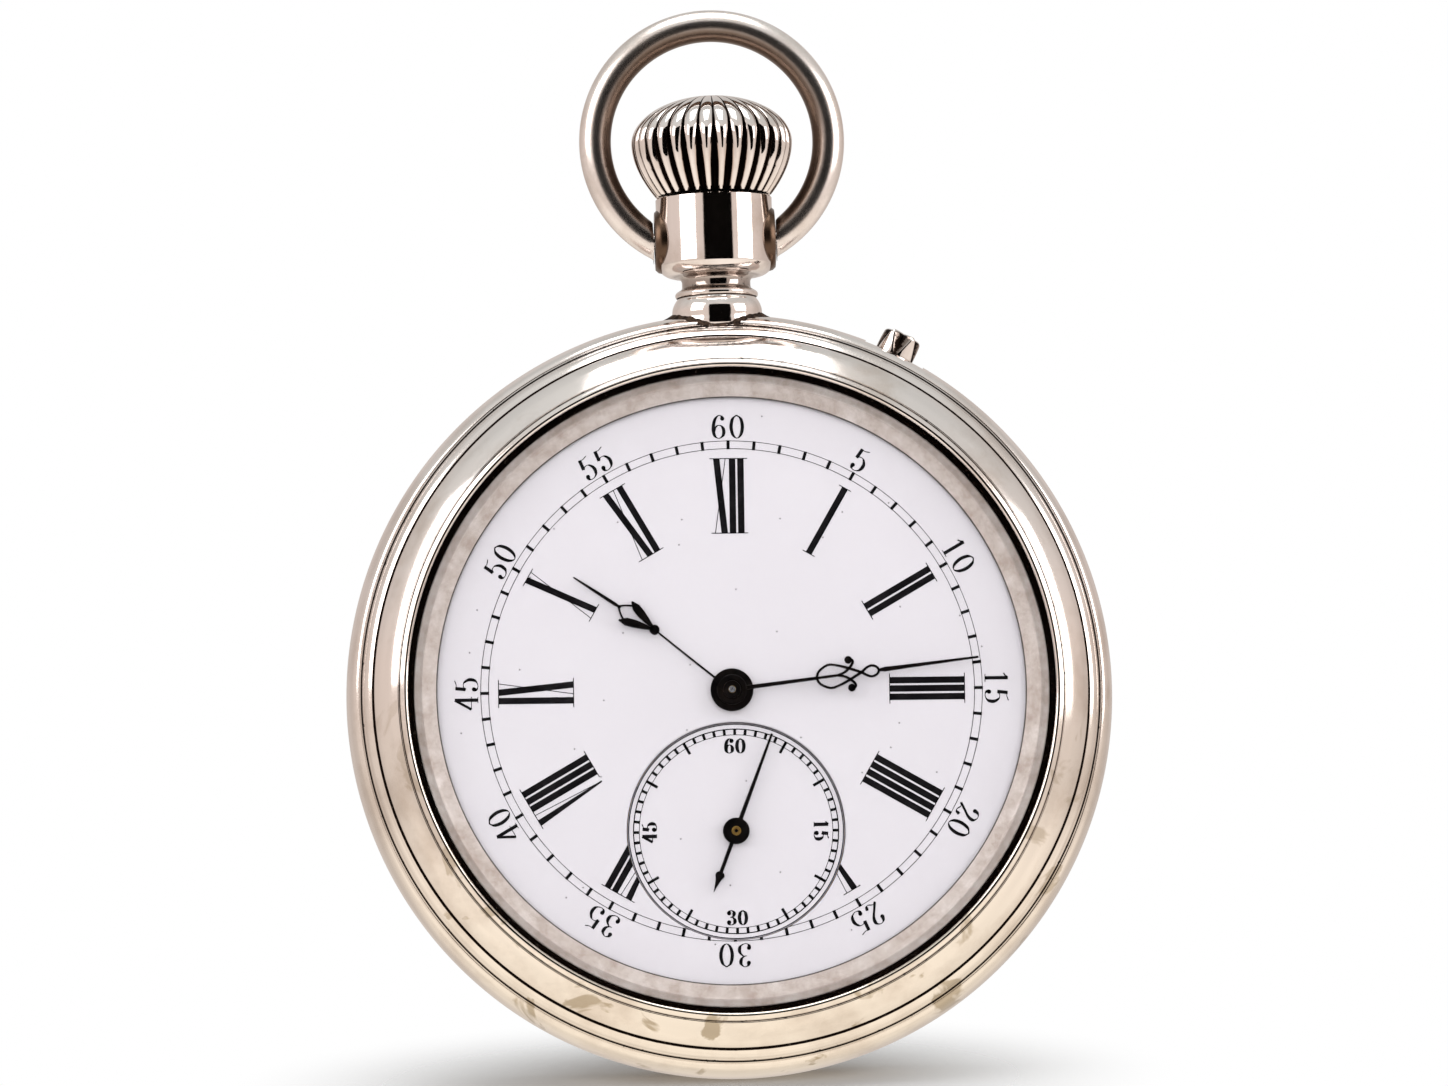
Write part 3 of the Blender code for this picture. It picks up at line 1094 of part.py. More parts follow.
def make_winding_wheels(watch):
    """Crown wheel with its face teeth, ratchet wheel, click and click spring."""
    to_ratchet = plan_angle(CROWN_WHEEL, BARREL)
    teeth = gear(CROWN_WHEEL_TEETH, WINDING_MODULE, to_ratchet)
    step = 2 * math.pi / CROWN_WHEEL_TEETH
    inner = CONTRATE_RADIUS - CONTRATE_WIDTH
    blocks = []
    for k in range(CROWN_WHEEL_TEETH):
        middle = math.pi / 2 + k * step
        half = step * CONTRATE_SHARE / 2
        blocks.append(tuple(arc(CONTRATE_RADIUS, middle - half, middle + half, 1)
                            + arc(inner, middle + half, middle - half, 1)))
    hole = circle(SCREW_SHANK_RADIUS + RUN_GAP)
    hub = circle(WHEEL_HUB, 2 * SHAFT_SIDES)
    layers = [(WINDING_BACK, WINDING_FRONT, [teeth, hole]),
              (WINDING_FRONT, BRIDGE_BACK - SEAT_GAP, [hub, hole] + blocks)]
    place_on_dial_axis("crown_wheel", stacked("crown_wheel", layers), "steel", watch, CROWN_WHEEL)
    phase = mesh_phase(CROWN_WHEEL_TEETH, to_ratchet, to_ratchet, RATCHET_TEETH)
    teeth = gear(RATCHET_TEETH, WINDING_MODULE, phase)
    hole = circle(BARREL_PIVOT_RADIUS + SEAT_GAP)
    layers = [(WINDING_BACK, WINDING_FRONT, [teeth, hole]),
              (WINDING_FRONT, BRIDGE_BACK - SEAT_GAP, [hub, hole])]
    place_on_dial_axis("ratchet_wheel", stacked("ratchet_wheel", layers), "steel", watch, BARREL)

    bar = tapered_bar(CLICK, CLICK_BOSS_RADIUS, CLICK_TIP, CLICK_TIP_RADIUS)
    own = [shifted(loop, (-CLICK[0], -CLICK[1])) for loop in (bar, shank_hole(CLICK))]
    click = stacked("click", [(CLICK_BACK, BRIDGE_BACK - SEAT_GAP, own)])
    place_on_dial_axis("click", click, "steel", watch, CLICK)
    spring = tapered_bar(CLICK_SPRING_FOOT, CLICK_BOSS_RADIUS, CLICK_SPRING_TIP, CLICK_TIP_RADIUS)
    mesh = stacked("click_spring", [(CLICK_BACK, BRIDGE_BACK - SEAT_GAP, [spring])])
    place_on_dial_axis("click_spring", mesh, "blued_steel", watch)


def make_barrel(watch):
    """Mainspring barrel: toothed drum, cover, arbor and coiled mainspring."""
    floor_front = rise(BARREL_RISE)
    floor_back = rise(BARREL_RISE + BARREL_FLOOR)
    cover_back = rise(BARREL_RISE + BARREL_HEIGHT)
    cover_front = cover_back + BARREL_FLOOR
    cavity_radius = DRUM_RADIUS - BARREL_WALL
    teeth = gear(BARREL_TEETH, BARREL_MODULE, plan_angle(BARREL, CENTRE))
    wall = circle(DRUM_RADIUS, RING_SIDES)
    cavity = circle(cavity_radius, RING_SIDES)
    bore = circle(BARREL_BORE_RADIUS)
    layers = [(cover_front + SEAT_GAP, floor_back, [wall, cavity]), (floor_back, floor_front, [teeth, bore])]
    place_on_dial_axis("barrel_drum", stacked("barrel_drum", layers), "gilt_brass", watch, BARREL)
    cover = stacked("barrel_cover", [(cover_back, cover_front, [wall, bore])])
    place_on_dial_axis("barrel_cover", cover, "gilt_brass", watch, BARREL)
    shaft = circle(BARREL_PIVOT_RADIUS)
    core_back = cover_front + RUN_GAP
    core_front = floor_back - RUN_GAP
    screw_hole = shank_hole((0.0, 0.0))
    front_tip = PLATE_FRONT - PIVOT_INSET
    layers = [(WINDING_BACK + SEAT_GAP, BRIDGE_BACK + SEAT_GAP, [shaft, screw_hole]),
              (BRIDGE_BACK + SEAT_GAP, core_back, [shaft]),
              (core_back, core_front, [circle(BARREL_CORE_RADIUS)]),
              (core_front, PLATE_BACK - RUN_GAP, [shaft]),
              (PLATE_BACK - RUN_GAP, front_tip, [circle(BARREL_FRONT_PIVOT)])]
    place_on_dial_axis("barrel_arbor", stacked("barrel_arbor", layers), "steel", watch, BARREL)
    inner = BARREL_CORE_RADIUS + MAINSPRING_MARGIN
    outer = cavity_radius - MAINSPRING_MARGIN
    spring = spiral("mainspring", inner, outer, MAINSPRING_TURNS, MAINSPRING_THICKNESS,
                    core_back + RUN_GAP, core_front - RUN_GAP, 0.0)
    place_on_dial_axis("mainspring", spring, "blued_steel", watch, BARREL)


def spiral(name, inner, outer, turns, thickness, low, high, end_angle):
    """Flat coiled spring with its least gap to itself measured on its points."""
    count = round(turns * TURN_STEPS)
    rings = []
    points = []
    for k in range(count + 1):
        angle = end_angle - 2 * math.pi * (count - k) / TURN_STEPS
        radius = inner + (outer - inner) * k / count
        points.append((radius * math.cos(angle), radius * math.sin(angle)))
        near = radius - thickness / 2
        far = radius + thickness / 2
        rings.append([(r * math.cos(angle), r * math.sin(angle), h)
                      for r, h in ((near, low), (far, low), (far, high), (near, high))])
    apart = min(plan_distance(points[k], points[n]) for k in range(len(points))
                for n in range(k + TURN_STEPS // 2, len(points)))
    print(f"{name}: least gap to itself {(apart - thickness) / MM:.2f} mm")
    return swept(name, rings)


def on_arbor(features, front_tip, arbor_radius=ARBOR_RADIUS, front_radius=PIVOT_RADIUS, back=BRIDGE_FRONT):
    """Layers of an arbor with its pivots, and features (low, high, outlines) along it."""
    shaft = circle(arbor_radius)
    at = back + RUN_GAP
    layers = [(back - PIVOT_INSET, at, [circle(PIVOT_RADIUS)])]
    for low, high, loops in features:
        if low > at + WELD:
            layers.append((at, low, [shaft]))
        layers.append((low, high, loops))
        at = high
    shoulder = PLATE_BACK - RUN_GAP
    layers.append((at, shoulder, [shaft]))
    layers.append((shoulder, front_tip, [circle(front_radius)]))
    return layers


def wheel_layer(teeth, module, phase, wheel_rise):
    """Layer of a train wheel with arms."""
    rim = pitch_radius(teeth, module) - ROOT_MODULES * module - WHEEL_RIM
    loops = [gear(teeth, module, phase)] + windows(rim, WHEEL_HUB, WHEEL_ARM, WHEEL_ARM_COUNT, phase)
    return (rise(wheel_rise + WHEEL_THICKNESS), rise(wheel_rise), loops)


def leaf_layer(leaves, module, phase, driver_rise):
    """Layer of a pinion that meshes with a wheel at a given rise."""
    low = rise(driver_rise + WHEEL_THICKNESS + PINION_OVERHANG)
    return (low, rise(driver_rise - PINION_OVERHANG), [pinion(leaves, module, phase)])


def make_train(watch):
    """Centre, third, fourth and escape wheels, each on its arbor with its pinion."""
    bearing_tip = PLATE_FRONT - PIVOT_INSET
    to_centre = plan_angle(BARREL, CENTRE)
    to_third = plan_angle(CENTRE, THIRD)
    to_fourth = plan_angle(THIRD, FOURTH)
    to_escape = plan_angle(FOURTH, ESCAPE)
    phase = mesh_phase(BARREL_TEETH, to_centre, to_centre, CENTRE_LEAVES)
    leaves = (rise(CENTRE_RISE - PINION_OVERHANG), rise(BARREL_RISE),
              [pinion(CENTRE_LEAVES, BARREL_MODULE, phase)])
    features = [wheel_layer(CENTRE_TEETH, CENTRE_MODULE, to_third, CENTRE_RISE), leaves]
    layers = on_arbor(features, MINUTE_HAND_FRONT, front_radius=CENTRE_ARBOR_RADIUS)
    place_on_dial_axis("centre_wheel", stacked("centre_wheel", layers), "gilt_brass", watch, CENTRE)

    phase = mesh_phase(CENTRE_TEETH, to_third, to_third, THIRD_LEAVES)
    features = [leaf_layer(THIRD_LEAVES, CENTRE_MODULE, phase, CENTRE_RISE),
                wheel_layer(THIRD_TEETH, THIRD_MODULE, to_fourth, THIRD_RISE)]
    layers = on_arbor(features, bearing_tip)
    place_on_dial_axis("third_wheel", stacked("third_wheel", layers), "gilt_brass", watch, THIRD)

    phase = mesh_phase(THIRD_TEETH, to_fourth, to_fourth, FOURTH_LEAVES)
    features = [leaf_layer(FOURTH_LEAVES, THIRD_MODULE, phase, THIRD_RISE),
                wheel_layer(FOURTH_TEETH, FOURTH_MODULE, to_escape, FOURTH_RISE)]
    layers = on_arbor(features, SECONDS_HAND_FRONT)
    place_on_dial_axis("fourth_wheel", stacked("fourth_wheel", layers), "gilt_brass", watch, FOURTH)

    phase = mesh_phase(FOURTH_TEETH, to_escape, to_escape, ESCAPE_LEAVES)
    loops = [escape_outline()] + windows(ESCAPE_ROOT - WHEEL_RIM, ESCAPE_HUB, WHEEL_ARM, WHEEL_ARM_COUNT)
    features = [leaf_layer(ESCAPE_LEAVES, FOURTH_MODULE, phase, FOURTH_RISE),
                (rise(ESCAPE_RISE + WHEEL_THICKNESS), rise(ESCAPE_RISE), loops)]
    layers = on_arbor(features, bearing_tip, THIN_ARBOR_RADIUS)
    place_on_dial_axis("escape_wheel", stacked("escape_wheel", layers), "steel", watch, ESCAPE)


def escape_outline():
    """Outline of the escape wheel with raked club teeth."""
    step = 2 * math.pi / ESCAPE_TEETH
    points = []
    for k in range(ESCAPE_TEETH):
        base = k * step
        for radius, share in ((ESCAPE_ROOT, 0.0), (ESCAPE_RADIUS, CLUB_LEAN),
                              (ESCAPE_RADIUS, CLUB_LEAN + CLUB_WIDTH),
                              (ESCAPE_ROOT, CLUB_LEAN + CLUB_WIDTH / 2)):
            points.append((radius * math.cos(base + share * step), radius * math.sin(base + share * step)))
    return tuple(points)


def make_pallet_fork(watch):
    """Lever between the escape wheel and the balance."""
    side = [(FORK_REACH - NOTCH_DEPTH, NOTCH_HALF), (FORK_REACH, NOTCH_HALF), (FORK_REACH, FORK_HALF),
            (FORK_REACH - FORK_LENGTH, LEVER_HALF), (LEVER_ROOT, LEVER_ROOT_HALF),
            (-PALLET_ARM_DROP, PALLET_ARM_REACH), (-STONE_DROP, STONE_REACH),
            (-STONE_DROP, STONE_REACH - STONE_WIDTH),
            (-PALLET_ARM_DROP - PALLET_ARM_DEPTH, PALLET_ARM_REACH - PALLET_ARM_WIDTH),
            (-PALLET_BELLY_DROP, PALLET_BELLY_HALF)]
    outline = [(aside, along) for along, aside in side] + [(-aside, along) for along, aside in reversed(side)]
    loops = [swing(outline, LEVER_BEARING)]
    features = [(rise(ESCAPE_RISE + WHEEL_THICKNESS), rise(ESCAPE_RISE), loops)]
    back = rise(PALLET_COCK_RISE)
    layers = on_arbor(features, PLATE_FRONT - PIVOT_INSET, THIN_ARBOR_RADIUS, back=back)
    place_on_dial_axis("pallet_fork", stacked("pallet_fork", layers), "steel", watch, PALLET)


def make_balance(watch):
    """Balance wheel on its staff, impulse roller, hairspring, stud and regulator."""
    rim_inner = BALANCE_RADIUS - BALANCE_RIM_WIDTH
    rim = circle(BALANCE_RADIUS, RING_SIDES)
    arms_low = rise(BALANCE_RISE + WHEEL_THICKNESS)
    rim_low = rise(BALANCE_RISE + BALANCE_RIM_HEIGHT)
    lean = math.radians(RIGHT_ANGLE - LEVER_BEARING)
    gaps = windows(rim_inner - RUN_GAP, WHEEL_HUB, BALANCE_ARM, BALANCE_ARM_COUNT, lean)
    hub = circle(ARBOR_RADIUS)
    features = [(rim_low, arms_low, [rim, circle(rim_inner, RING_SIDES), hub]),
                (arms_low, rise(BALANCE_RISE), [rim] + gaps)]
    layers = on_arbor(features, PLATE_FRONT - PIVOT_INSET)
    place_on_dial_axis("balance_wheel", stacked("balance_wheel", layers), "gilt_brass", watch, BALANCE)

    pin_at = bearing_point(IMPULSE_RADIUS, LEVER_BEARING + 2 * RIGHT_ANGLE)
    roller_low = rise(ROLLER_RISE + WHEEL_THICKNESS)
    bore = circle(ARBOR_RADIUS + SEAT_GAP)
    layers = [(roller_low, rise(ROLLER_RISE), [circle(ROLLER_RADIUS, 2 * SHAFT_SIDES), bore]),
              (rise(ROLLER_RISE), rise(ESCAPE_RISE), [circle(IMPULSE_PIN_RADIUS, centre=pin_at)])]
    place_on_dial_axis("impulse_roller", stacked("impulse_roller", layers), "ruby", watch, BALANCE)

    low = rise(HAIRSPRING_RISE + HAIRSPRING_HEIGHT)
    high = rise(HAIRSPRING_RISE)
    to_foot = plan_angle(BALANCE, BALANCE_COCK_FOOT)
    spring = spiral("hairspring", HAIRSPRING_INNER, HAIRSPRING_OUTER, HAIRSPRING_TURNS, HAIRSPRING_THICKNESS,
                    low, high, to_foot)
    place_on_dial_axis("hairspring", spring, "blued_steel", watch, BALANCE)
    stud_at = HAIRSPRING_OUTER + HAIRSPRING_THICKNESS / 2 + SEAT_GAP + STUD_RADIUS
    stud_centre = (BALANCE[0] + stud_at * math.cos(to_foot), BALANCE[1] + stud_at * math.sin(to_foot))
    layers = [(BRIDGE_FRONT + SEAT_GAP, high + HAIRSPRING_HEIGHT, [circle(STUD_RADIUS)])]
    stud = stacked("hairspring_stud", layers)
    place_on_dial_axis("hairspring_stud", stud, "steel", watch, stud_centre)
    tip = (REGULATOR_LENGTH * math.cos(to_foot), REGULATOR_LENGTH * math.sin(to_foot))
    loops = [tapered_bar((0.0, 0.0), COCK_END_RADIUS - BRIDGE_GAP, tip, STUD_RADIUS), circle(ARBOR_RADIUS)]
    face = BRIDGE_BACK - SEAT_GAP
    regulator = stacked("regulator", [(face - WHEEL_THICKNESS, face, loops)])
    place_on_dial_axis("regulator", regulator, "steel", watch, BALANCE)


def make_motion_work(watch):
    """Cannon pinion, minute wheel, hour wheel and setting wheel under the dial."""
    up = math.pi / 2
    low = PLATE_FRONT + SEAT_GAP
    high = low + WHEEL_THICKNESS
    second = high + TOOTH_GAP
    top = second + WHEEL_THICKNESS
    arbor_hole = circle(CENTRE_ARBOR_RADIUS + SEAT_GAP)
    layers = [(low, high, [pinion(CANNON_TEETH, MOTION_MODULE, up), arbor_hole]),
              (high, MINUTE_HAND_FRONT, [circle(CANNON_PIPE_RADIUS), arbor_hole])]
    place_on_dial_axis("cannon_pinion", stacked("cannon_pinion", layers), "steel", watch, CENTRE)
    minute_phase = mesh_phase(CANNON_TEETH, up, up, MINUTE_TEETH)
    post_hole = circle(WHEEL_POST_RADIUS + RUN_GAP)
    small = pinion(MINUTE_LEAVES, HOUR_MODULE, -up)
    layers = [(low, high, [gear(MINUTE_TEETH, MOTION_MODULE, minute_phase), post_hole]),
              (high, top, [small, post_hole])]
    place_on_dial_axis("minute_wheel", stacked("minute_wheel", layers), "gilt_brass", watch, MINUTE_WHEEL)
    hour_phase = mesh_phase(MINUTE_LEAVES, -up, -up, HOUR_TEETH)
    pipe_hole = circle(CANNON_PIPE_RADIUS + RUN_GAP)
    layers = [(second, top, [gear(HOUR_TEETH, HOUR_MODULE, hour_phase), pipe_hole]),
              (top, HOUR_HAND_FRONT, [circle(HOUR_PIPE_RADIUS), pipe_hole])]
    place_on_dial_axis("hour_wheel", stacked("hour_wheel", layers), "gilt_brass", watch, CENTRE)
    phase = mesh_phase(MINUTE_TEETH, minute_phase, up, SETTING_TEETH)
    loops = [gear(SETTING_TEETH, MOTION_MODULE, phase), post_hole]
    mesh = stacked("setting_wheel", [(low, high, loops)])
    place_on_dial_axis("setting_wheel", mesh, "steel", watch, SETTING_WHEEL)


def make_dials(watch):
    """Enamel dial on three feet, and the sunk seconds dial."""
    feet = [circle(DIAL_FOOT_RADIUS, centre=p) for p in DIAL_FEET]
    loops = [circle(DIAL_RADIUS, RING_SIDES), circle(DIAL_HOLE_RADIUS),
             circle(SECONDS_DIAL_RADIUS, RING_SIDES, FOURTH)]
    layers = [(DIAL_BACK - DIAL_FOOT_LENGTH, DIAL_BACK, feet), (DIAL_BACK, DIAL_FRONT, loops)]
    place_on_dial_axis("dial", stacked("dial", layers), "enamel", watch)
    loops = [circle(SECONDS_DIAL_RADIUS - SEAT_GAP, RING_SIDES), circle(SECONDS_HOLE_RADIUS)]
    low = DIAL_BACK + SEAT_GAP
    mesh = stacked("seconds_dial", [(low, low + SECONDS_DIAL_THICKNESS, loops)])
    place_on_dial_axis("seconds_dial", mesh, "enamel", watch, FOURTH)


def hand_boss(radius, half):
    """Side of a hand round its boss, from the far side of the boss to the stem."""
    end = math.asin(half / radius)
    angles = [math.pi + (end - math.pi) * k / LEAF_STEPS for k in range(LEAF_STEPS + 1)]
    return [(radius * math.cos(a), radius * math.sin(a)) for a in angles]


def make_hand(name, watch, side, openings, hole_radius, low, bearing, centre):
    """Flat hand from one side's (distance, half width) pairs, with its openings and its hole."""
    outline = swing(both_sides(side), bearing)
    loops = [outline, circle(hole_radius)] + [swing(both_sides(opening), bearing) for opening in openings]
    mesh = stacked(name, [(low, low + HAND_THICKNESS, loops)])
    place_on_dial_axis(name, mesh, "black_steel", watch, centre)


def make_hands(watch):
    """Hour, minute and seconds hands at the time shown."""
    bulb = HOUR_ORNAMENT - 2 * HOUR_BULB_RADIUS
    side = hand_boss(HOUR_BOSS, HAND_STEM_HALF)
    side += leaf(bulb, 2 * HOUR_BULB_RADIUS, HOUR_BULB_RADIUS, HAND_STEM_HALF / 2)
    side += leaf(HOUR_ORNAMENT, HOUR_ORNAMENT_LENGTH, HOUR_ORNAMENT_HALF, HAND_STEM_HALF / 2, HOUR_SKEW)[1:]
    side += [(HOUR_LENGTH - HAND_TIP_HALF, HAND_TIP_HALF), (HOUR_LENGTH, 0.0)]
    opening = leaf(HOUR_ORNAMENT + 2 * ORNAMENT_WALL, HOUR_ORNAMENT_LENGTH - 4 * ORNAMENT_WALL,
                   HOUR_ORNAMENT_HALF - ORNAMENT_WALL, 0.0, HOUR_SKEW)
    make_hand("hour_hand", watch, side, [opening], HOUR_PIPE_RADIUS + SEAT_GAP,
              HOUR_HAND_FRONT - HAND_THICKNESS, HOUR_BEARING, CENTRE)
    small = MINUTE_ORNAMENT + MINUTE_LOOP_LENGTH
    side = hand_boss(MINUTE_BOSS, HAND_STEM_HALF)
    side += leaf(MINUTE_ORNAMENT, MINUTE_LOOP_LENGTH, MINUTE_LOOP_HALF, HAND_STEM_HALF / 2, MINUTE_SKEW)
    side += leaf(small, MINUTE_SMALL_LOOP, MINUTE_SMALL_HALF, HAND_STEM_HALF / 2)[1:]
    side += [(MINUTE_LENGTH - HAND_TIP_HALF, HAND_TIP_HALF), (MINUTE_LENGTH, 0.0)]
    openings = [leaf(MINUTE_ORNAMENT + 2 * ORNAMENT_WALL, MINUTE_LOOP_LENGTH - 3 * ORNAMENT_WALL,
                     MINUTE_LOOP_HALF - ORNAMENT_WALL, 0.0, MINUTE_SKEW),
                leaf(small + ORNAMENT_WALL, MINUTE_SMALL_LOOP - 2 * ORNAMENT_WALL,
                     MINUTE_SMALL_HALF - ORNAMENT_WALL, 0.0)]
    make_hand("minute_hand", watch, side, openings, CANNON_PIPE_RADIUS + SEAT_GAP,
              MINUTE_HAND_FRONT - HAND_THICKNESS, MINUTE_BEARING, CENTRE)
    leaf_start = SECONDS_LEAF - SECONDS_TAIL
    tail = leaf(-SECONDS_TAIL, SECONDS_LEAF, SECONDS_LEAF_HALF, 0.0)[:-1]
    tail += [(leaf_start, HAND_TIP_HALF)]
    boss = [(along, half) for along, half in hand_boss(SECONDS_BOSS, HAND_TIP_HALF * 2)
            if half > HAND_TIP_HALF]
    side = tail + boss + [(SECONDS_LENGTH - HAND_TIP_HALF, HAND_TIP_HALF), (SECONDS_LENGTH, 0.0)]
    make_hand("seconds_hand", watch, side, [], PIVOT_RADIUS + SEAT_GAP, SECONDS_HAND_FRONT - HAND_THICKNESS,
              SECONDS_BEARING, FOURTH)


def main():
    """Build the watch with its case back on the origin."""
    for old in list(bpy.data.objects):
        bpy.data.objects.remove(old)
    watch = empty("watch", None, (0.0, BACK_OUTSIDE, 0.0))
    make_case_middle(watch)
    make_bezel(watch)
    make_crystal(watch)
    make_dial_flange(watch)
    make_back_cover(watch)
    make_dust_cover(watch)
    make_pendant(watch)
    make_bow(watch)
    make_crown(watch)
    make_stem_pieces(watch)
    make_set_pin(watch)
    make_setting_lever(watch)
    make_main_plate(watch)
    make_bridges(watch)
    make_screws(watch)
    make_winding_wheels(watch)
    make_barrel(watch)
    make_train(watch)
    make_pallet_fork(watch)
    make_balance(watch)
    make_motion_work(watch)
    make_dials(watch)
    make_hands(watch)


main()
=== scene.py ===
"""Looks of an open-face pocket watch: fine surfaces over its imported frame, materials, light and camera.

Metres, +Z up. The dial faces -Y and 12 o'clock points to +Z.
Heights run towards the dial from the plane of the winding stem, and bearings run clockwise from 12 o'clock.
"""
import math
from collections import namedtuple

import bmesh
import bpy
import numpy as np
from mathutils import Matrix, Vector


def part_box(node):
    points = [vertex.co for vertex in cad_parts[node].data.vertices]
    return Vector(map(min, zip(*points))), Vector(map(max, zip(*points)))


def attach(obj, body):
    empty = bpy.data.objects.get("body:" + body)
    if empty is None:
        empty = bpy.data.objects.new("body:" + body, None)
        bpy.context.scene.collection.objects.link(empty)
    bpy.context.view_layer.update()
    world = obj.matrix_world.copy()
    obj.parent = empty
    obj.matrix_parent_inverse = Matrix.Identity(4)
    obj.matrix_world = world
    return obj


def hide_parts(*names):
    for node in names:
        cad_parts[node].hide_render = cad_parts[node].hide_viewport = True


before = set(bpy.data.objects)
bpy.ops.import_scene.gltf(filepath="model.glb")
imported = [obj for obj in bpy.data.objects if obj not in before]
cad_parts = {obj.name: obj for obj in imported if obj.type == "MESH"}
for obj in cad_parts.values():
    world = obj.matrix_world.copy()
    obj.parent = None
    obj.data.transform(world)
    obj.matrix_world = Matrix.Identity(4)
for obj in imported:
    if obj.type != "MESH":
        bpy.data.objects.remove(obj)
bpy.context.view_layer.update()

bl_info = {
    "name": "Pocket watch looks",
    "version": (1, 0, 0),
    "blender": (4, 5, 0),
    "location": "3D View > Sidebar > Watch",
    "description": "Builds the fine surfaces, materials and studio of an open-face pocket watch",
    "category": "Object",
}

MM = 0.001
TURN = 2.0 * math.pi
QUARTER = TURN / 4


# Places taken from the frame

def span(node, axis):
    """Lowest and highest place of a CAD node along x, y or z (0, 1 or 2)."""
    low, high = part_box(node)
    return low[axis], high[axis]


def middle_of(node, axis):
    """Middle of a CAD node along x, y or z."""
    return sum(span(node, axis)) / 2.0


def right_of(node):
    """Farthest place of a CAD node to the right."""
    return span(node, 0)[1]


def front_of(node):
    """Height of a CAD node's side towards the dial."""
    return STEM_Y - span(node, 1)[0]


def rear_of(node):
    """Height of a CAD node's side towards the back."""
    return STEM_Y - span(node, 1)[1]


STEM_Y = middle_of("winding_stem", 1)
CASE_RADIUS = right_of("case_middle")
CASE_FRONT = front_of("case_middle")
CASE_BORE = right_of("main_plate") + 0.15 * MM
BEZEL_FRONT = front_of("bezel")
CRYSTAL_FRONT = front_of("crystal")
CRYSTAL_EDGE_BACK = rear_of("crystal")
CRYSTAL_RADIUS = right_of("crystal")
DIAL_FRONT = front_of("dial")
DIAL_BACK = rear_of("hour_wheel")
DIAL_RADIUS = right_of("dial")
SECONDS_FRONT = front_of("seconds_dial")
SECONDS_BACK = rear_of("seconds_dial")
SECONDS_RADIUS = right_of("seconds_dial")
SECONDS_Z = middle_of("seconds_dial", 2)
FLANGE_RADIUS = right_of("dial_flange")
FLANGE_FRONT = front_of("dial_flange")
FLANGE_BACK = rear_of("dial_flange")
BACK_OUTSIDE = rear_of("back_cover")
HOUR_FRONT = front_of("hour_hand")
HAND_THICKNESS = HOUR_FRONT - rear_of("hour_hand")
MINUTE_FRONT = front_of("minute_hand")
SECONDS_HAND_FRONT = front_of("seconds_hand")
HINGE_Y = middle_of("back_hinge_pin", 1)
PENDANT_LOW, SLEEVE_TOP = span("pendant", 2)
SLEEVE_RADIUS = right_of("pendant")
CROWN_BOTTOM, CROWN_TOP = span("crown", 2)
CROWN_RADIUS = right_of("crown")
BOW_TOP = span("bow", 2)[1]
BOW_REACH = right_of("bow")
BOW_WIRE = (front_of("bow") - rear_of("bow")) / 2

# Sizes that the frame's boxes do not give
SEAT_GAP = 0.06 * MM
RUN_GAP = 0.06 * MM
CASE_BACK = -3.2 * MM
SEAM_RADIUS = CASE_RADIUS - 1.82 * MM
SEAM_EDGE = 0.06 * MM
BEAD_WIDTH = 0.62 * MM
BEAD_DROP = 0.72 * MM
LIP_RADIUS = CRYSTAL_RADIUS - 0.3 * MM
LIP_WIDTH = 0.18 * MM
LIP_DEPTH = 0.3 * MM
CHANNEL = 0.4 * MM
FLANGE_INNER = DIAL_RADIUS - 0.7 * MM
CRYSTAL_EDGE = 0.4 * MM
CRYSTAL_THICKNESS = 0.8 * MM
REAR_SEAT_RADIUS = CASE_RADIUS - 1.4 * MM
BACK_RIM_RADIUS = CASE_RADIUS - 1.1 * MM
BACK_SHOULDER = BACK_RIM_RADIUS - 1.0 * MM
BACK_DROP = 1.4 * MM
BACK_WALL = 0.6 * MM
BACK_FLAT = 9.0 * MM
DUST_RIM_RADIUS = BACK_RIM_RADIUS - 2.0 * MM
DUST_WALL = 0.35 * MM
DUST_BULGE = 1.1 * MM
KNUCKLE_EDGE = 0.08 * MM
Hinge = namedtuple("Hinge", "x radius pin case_length cover_length")
BACK_HINGE = Hinge(middle_of("back_hinge_pin", 0), 0.8 * MM, 0.32 * MM, 3.6 * MM, 3.0 * MM)
DUST_HINGE = Hinge(middle_of("dust_hinge_pin", 0), 0.5 * MM, 0.16 * MM, 2.4 * MM, 1.8 * MM)
STEM_RADIUS = 0.6 * MM
FOOT_RADIUS = 3.14 * MM
FOOT_ROOT = FOOT_RADIUS - 0.35 * MM
COLLAR_RADIUS = 2.9 * MM
COLLAR_HEIGHT = 0.5 * MM
NECK_RADIUS = 2.42 * MM
SLEEVE_LOW = SLEEVE_TOP - 5.6 * MM
SLEEVE_CHAMFER = 0.7 * MM
BOW_PIVOT = SLEEVE_TOP - 3.0 * MM
BOW_PIVOT_RADIUS = 0.6 * MM
BOW_PIVOT_TIP = SLEEVE_RADIUS - 0.9 * MM
BOW_END_X = SLEEVE_RADIUS + 0.25 * MM
BOSS_RADIUS = 2.3 * MM
BOSS_RIM = 0.25 * MM
CROWN_WAIST = 3.8 * MM
CROWN_FOOT = 4.1 * MM
CROWN_BORE_TOP = CROWN_BOTTOM + 4.2 * MM
PIN_BEARING = 27.5
PIN_HEAD_RADIUS = 1.4 * MM
PIN_SHANK_RADIUS = 0.7 * MM
PIN_FLAT = CASE_RADIUS - 0.4 * MM
PIN_FLAT_WIDTH = 4.5 * MM
PIN_TOP = CASE_RADIUS + 1.5 * MM
PIN_TIP = CASE_BORE - 1.1 * MM
PIN_TRAVEL = 0.9 * MM
PIN_EDGE = 0.3 * MM
FLUTES = 5
FLUTE_DEPTH = 0.7 * MM
ROLL_START = 18.3 * MM
ROLL_DROP = 0.16 * MM
DIAL_EDGE = 0.12 * MM
DIAL_HOLE = 1.15 * MM
SINK_BEVEL = 0.09 * MM
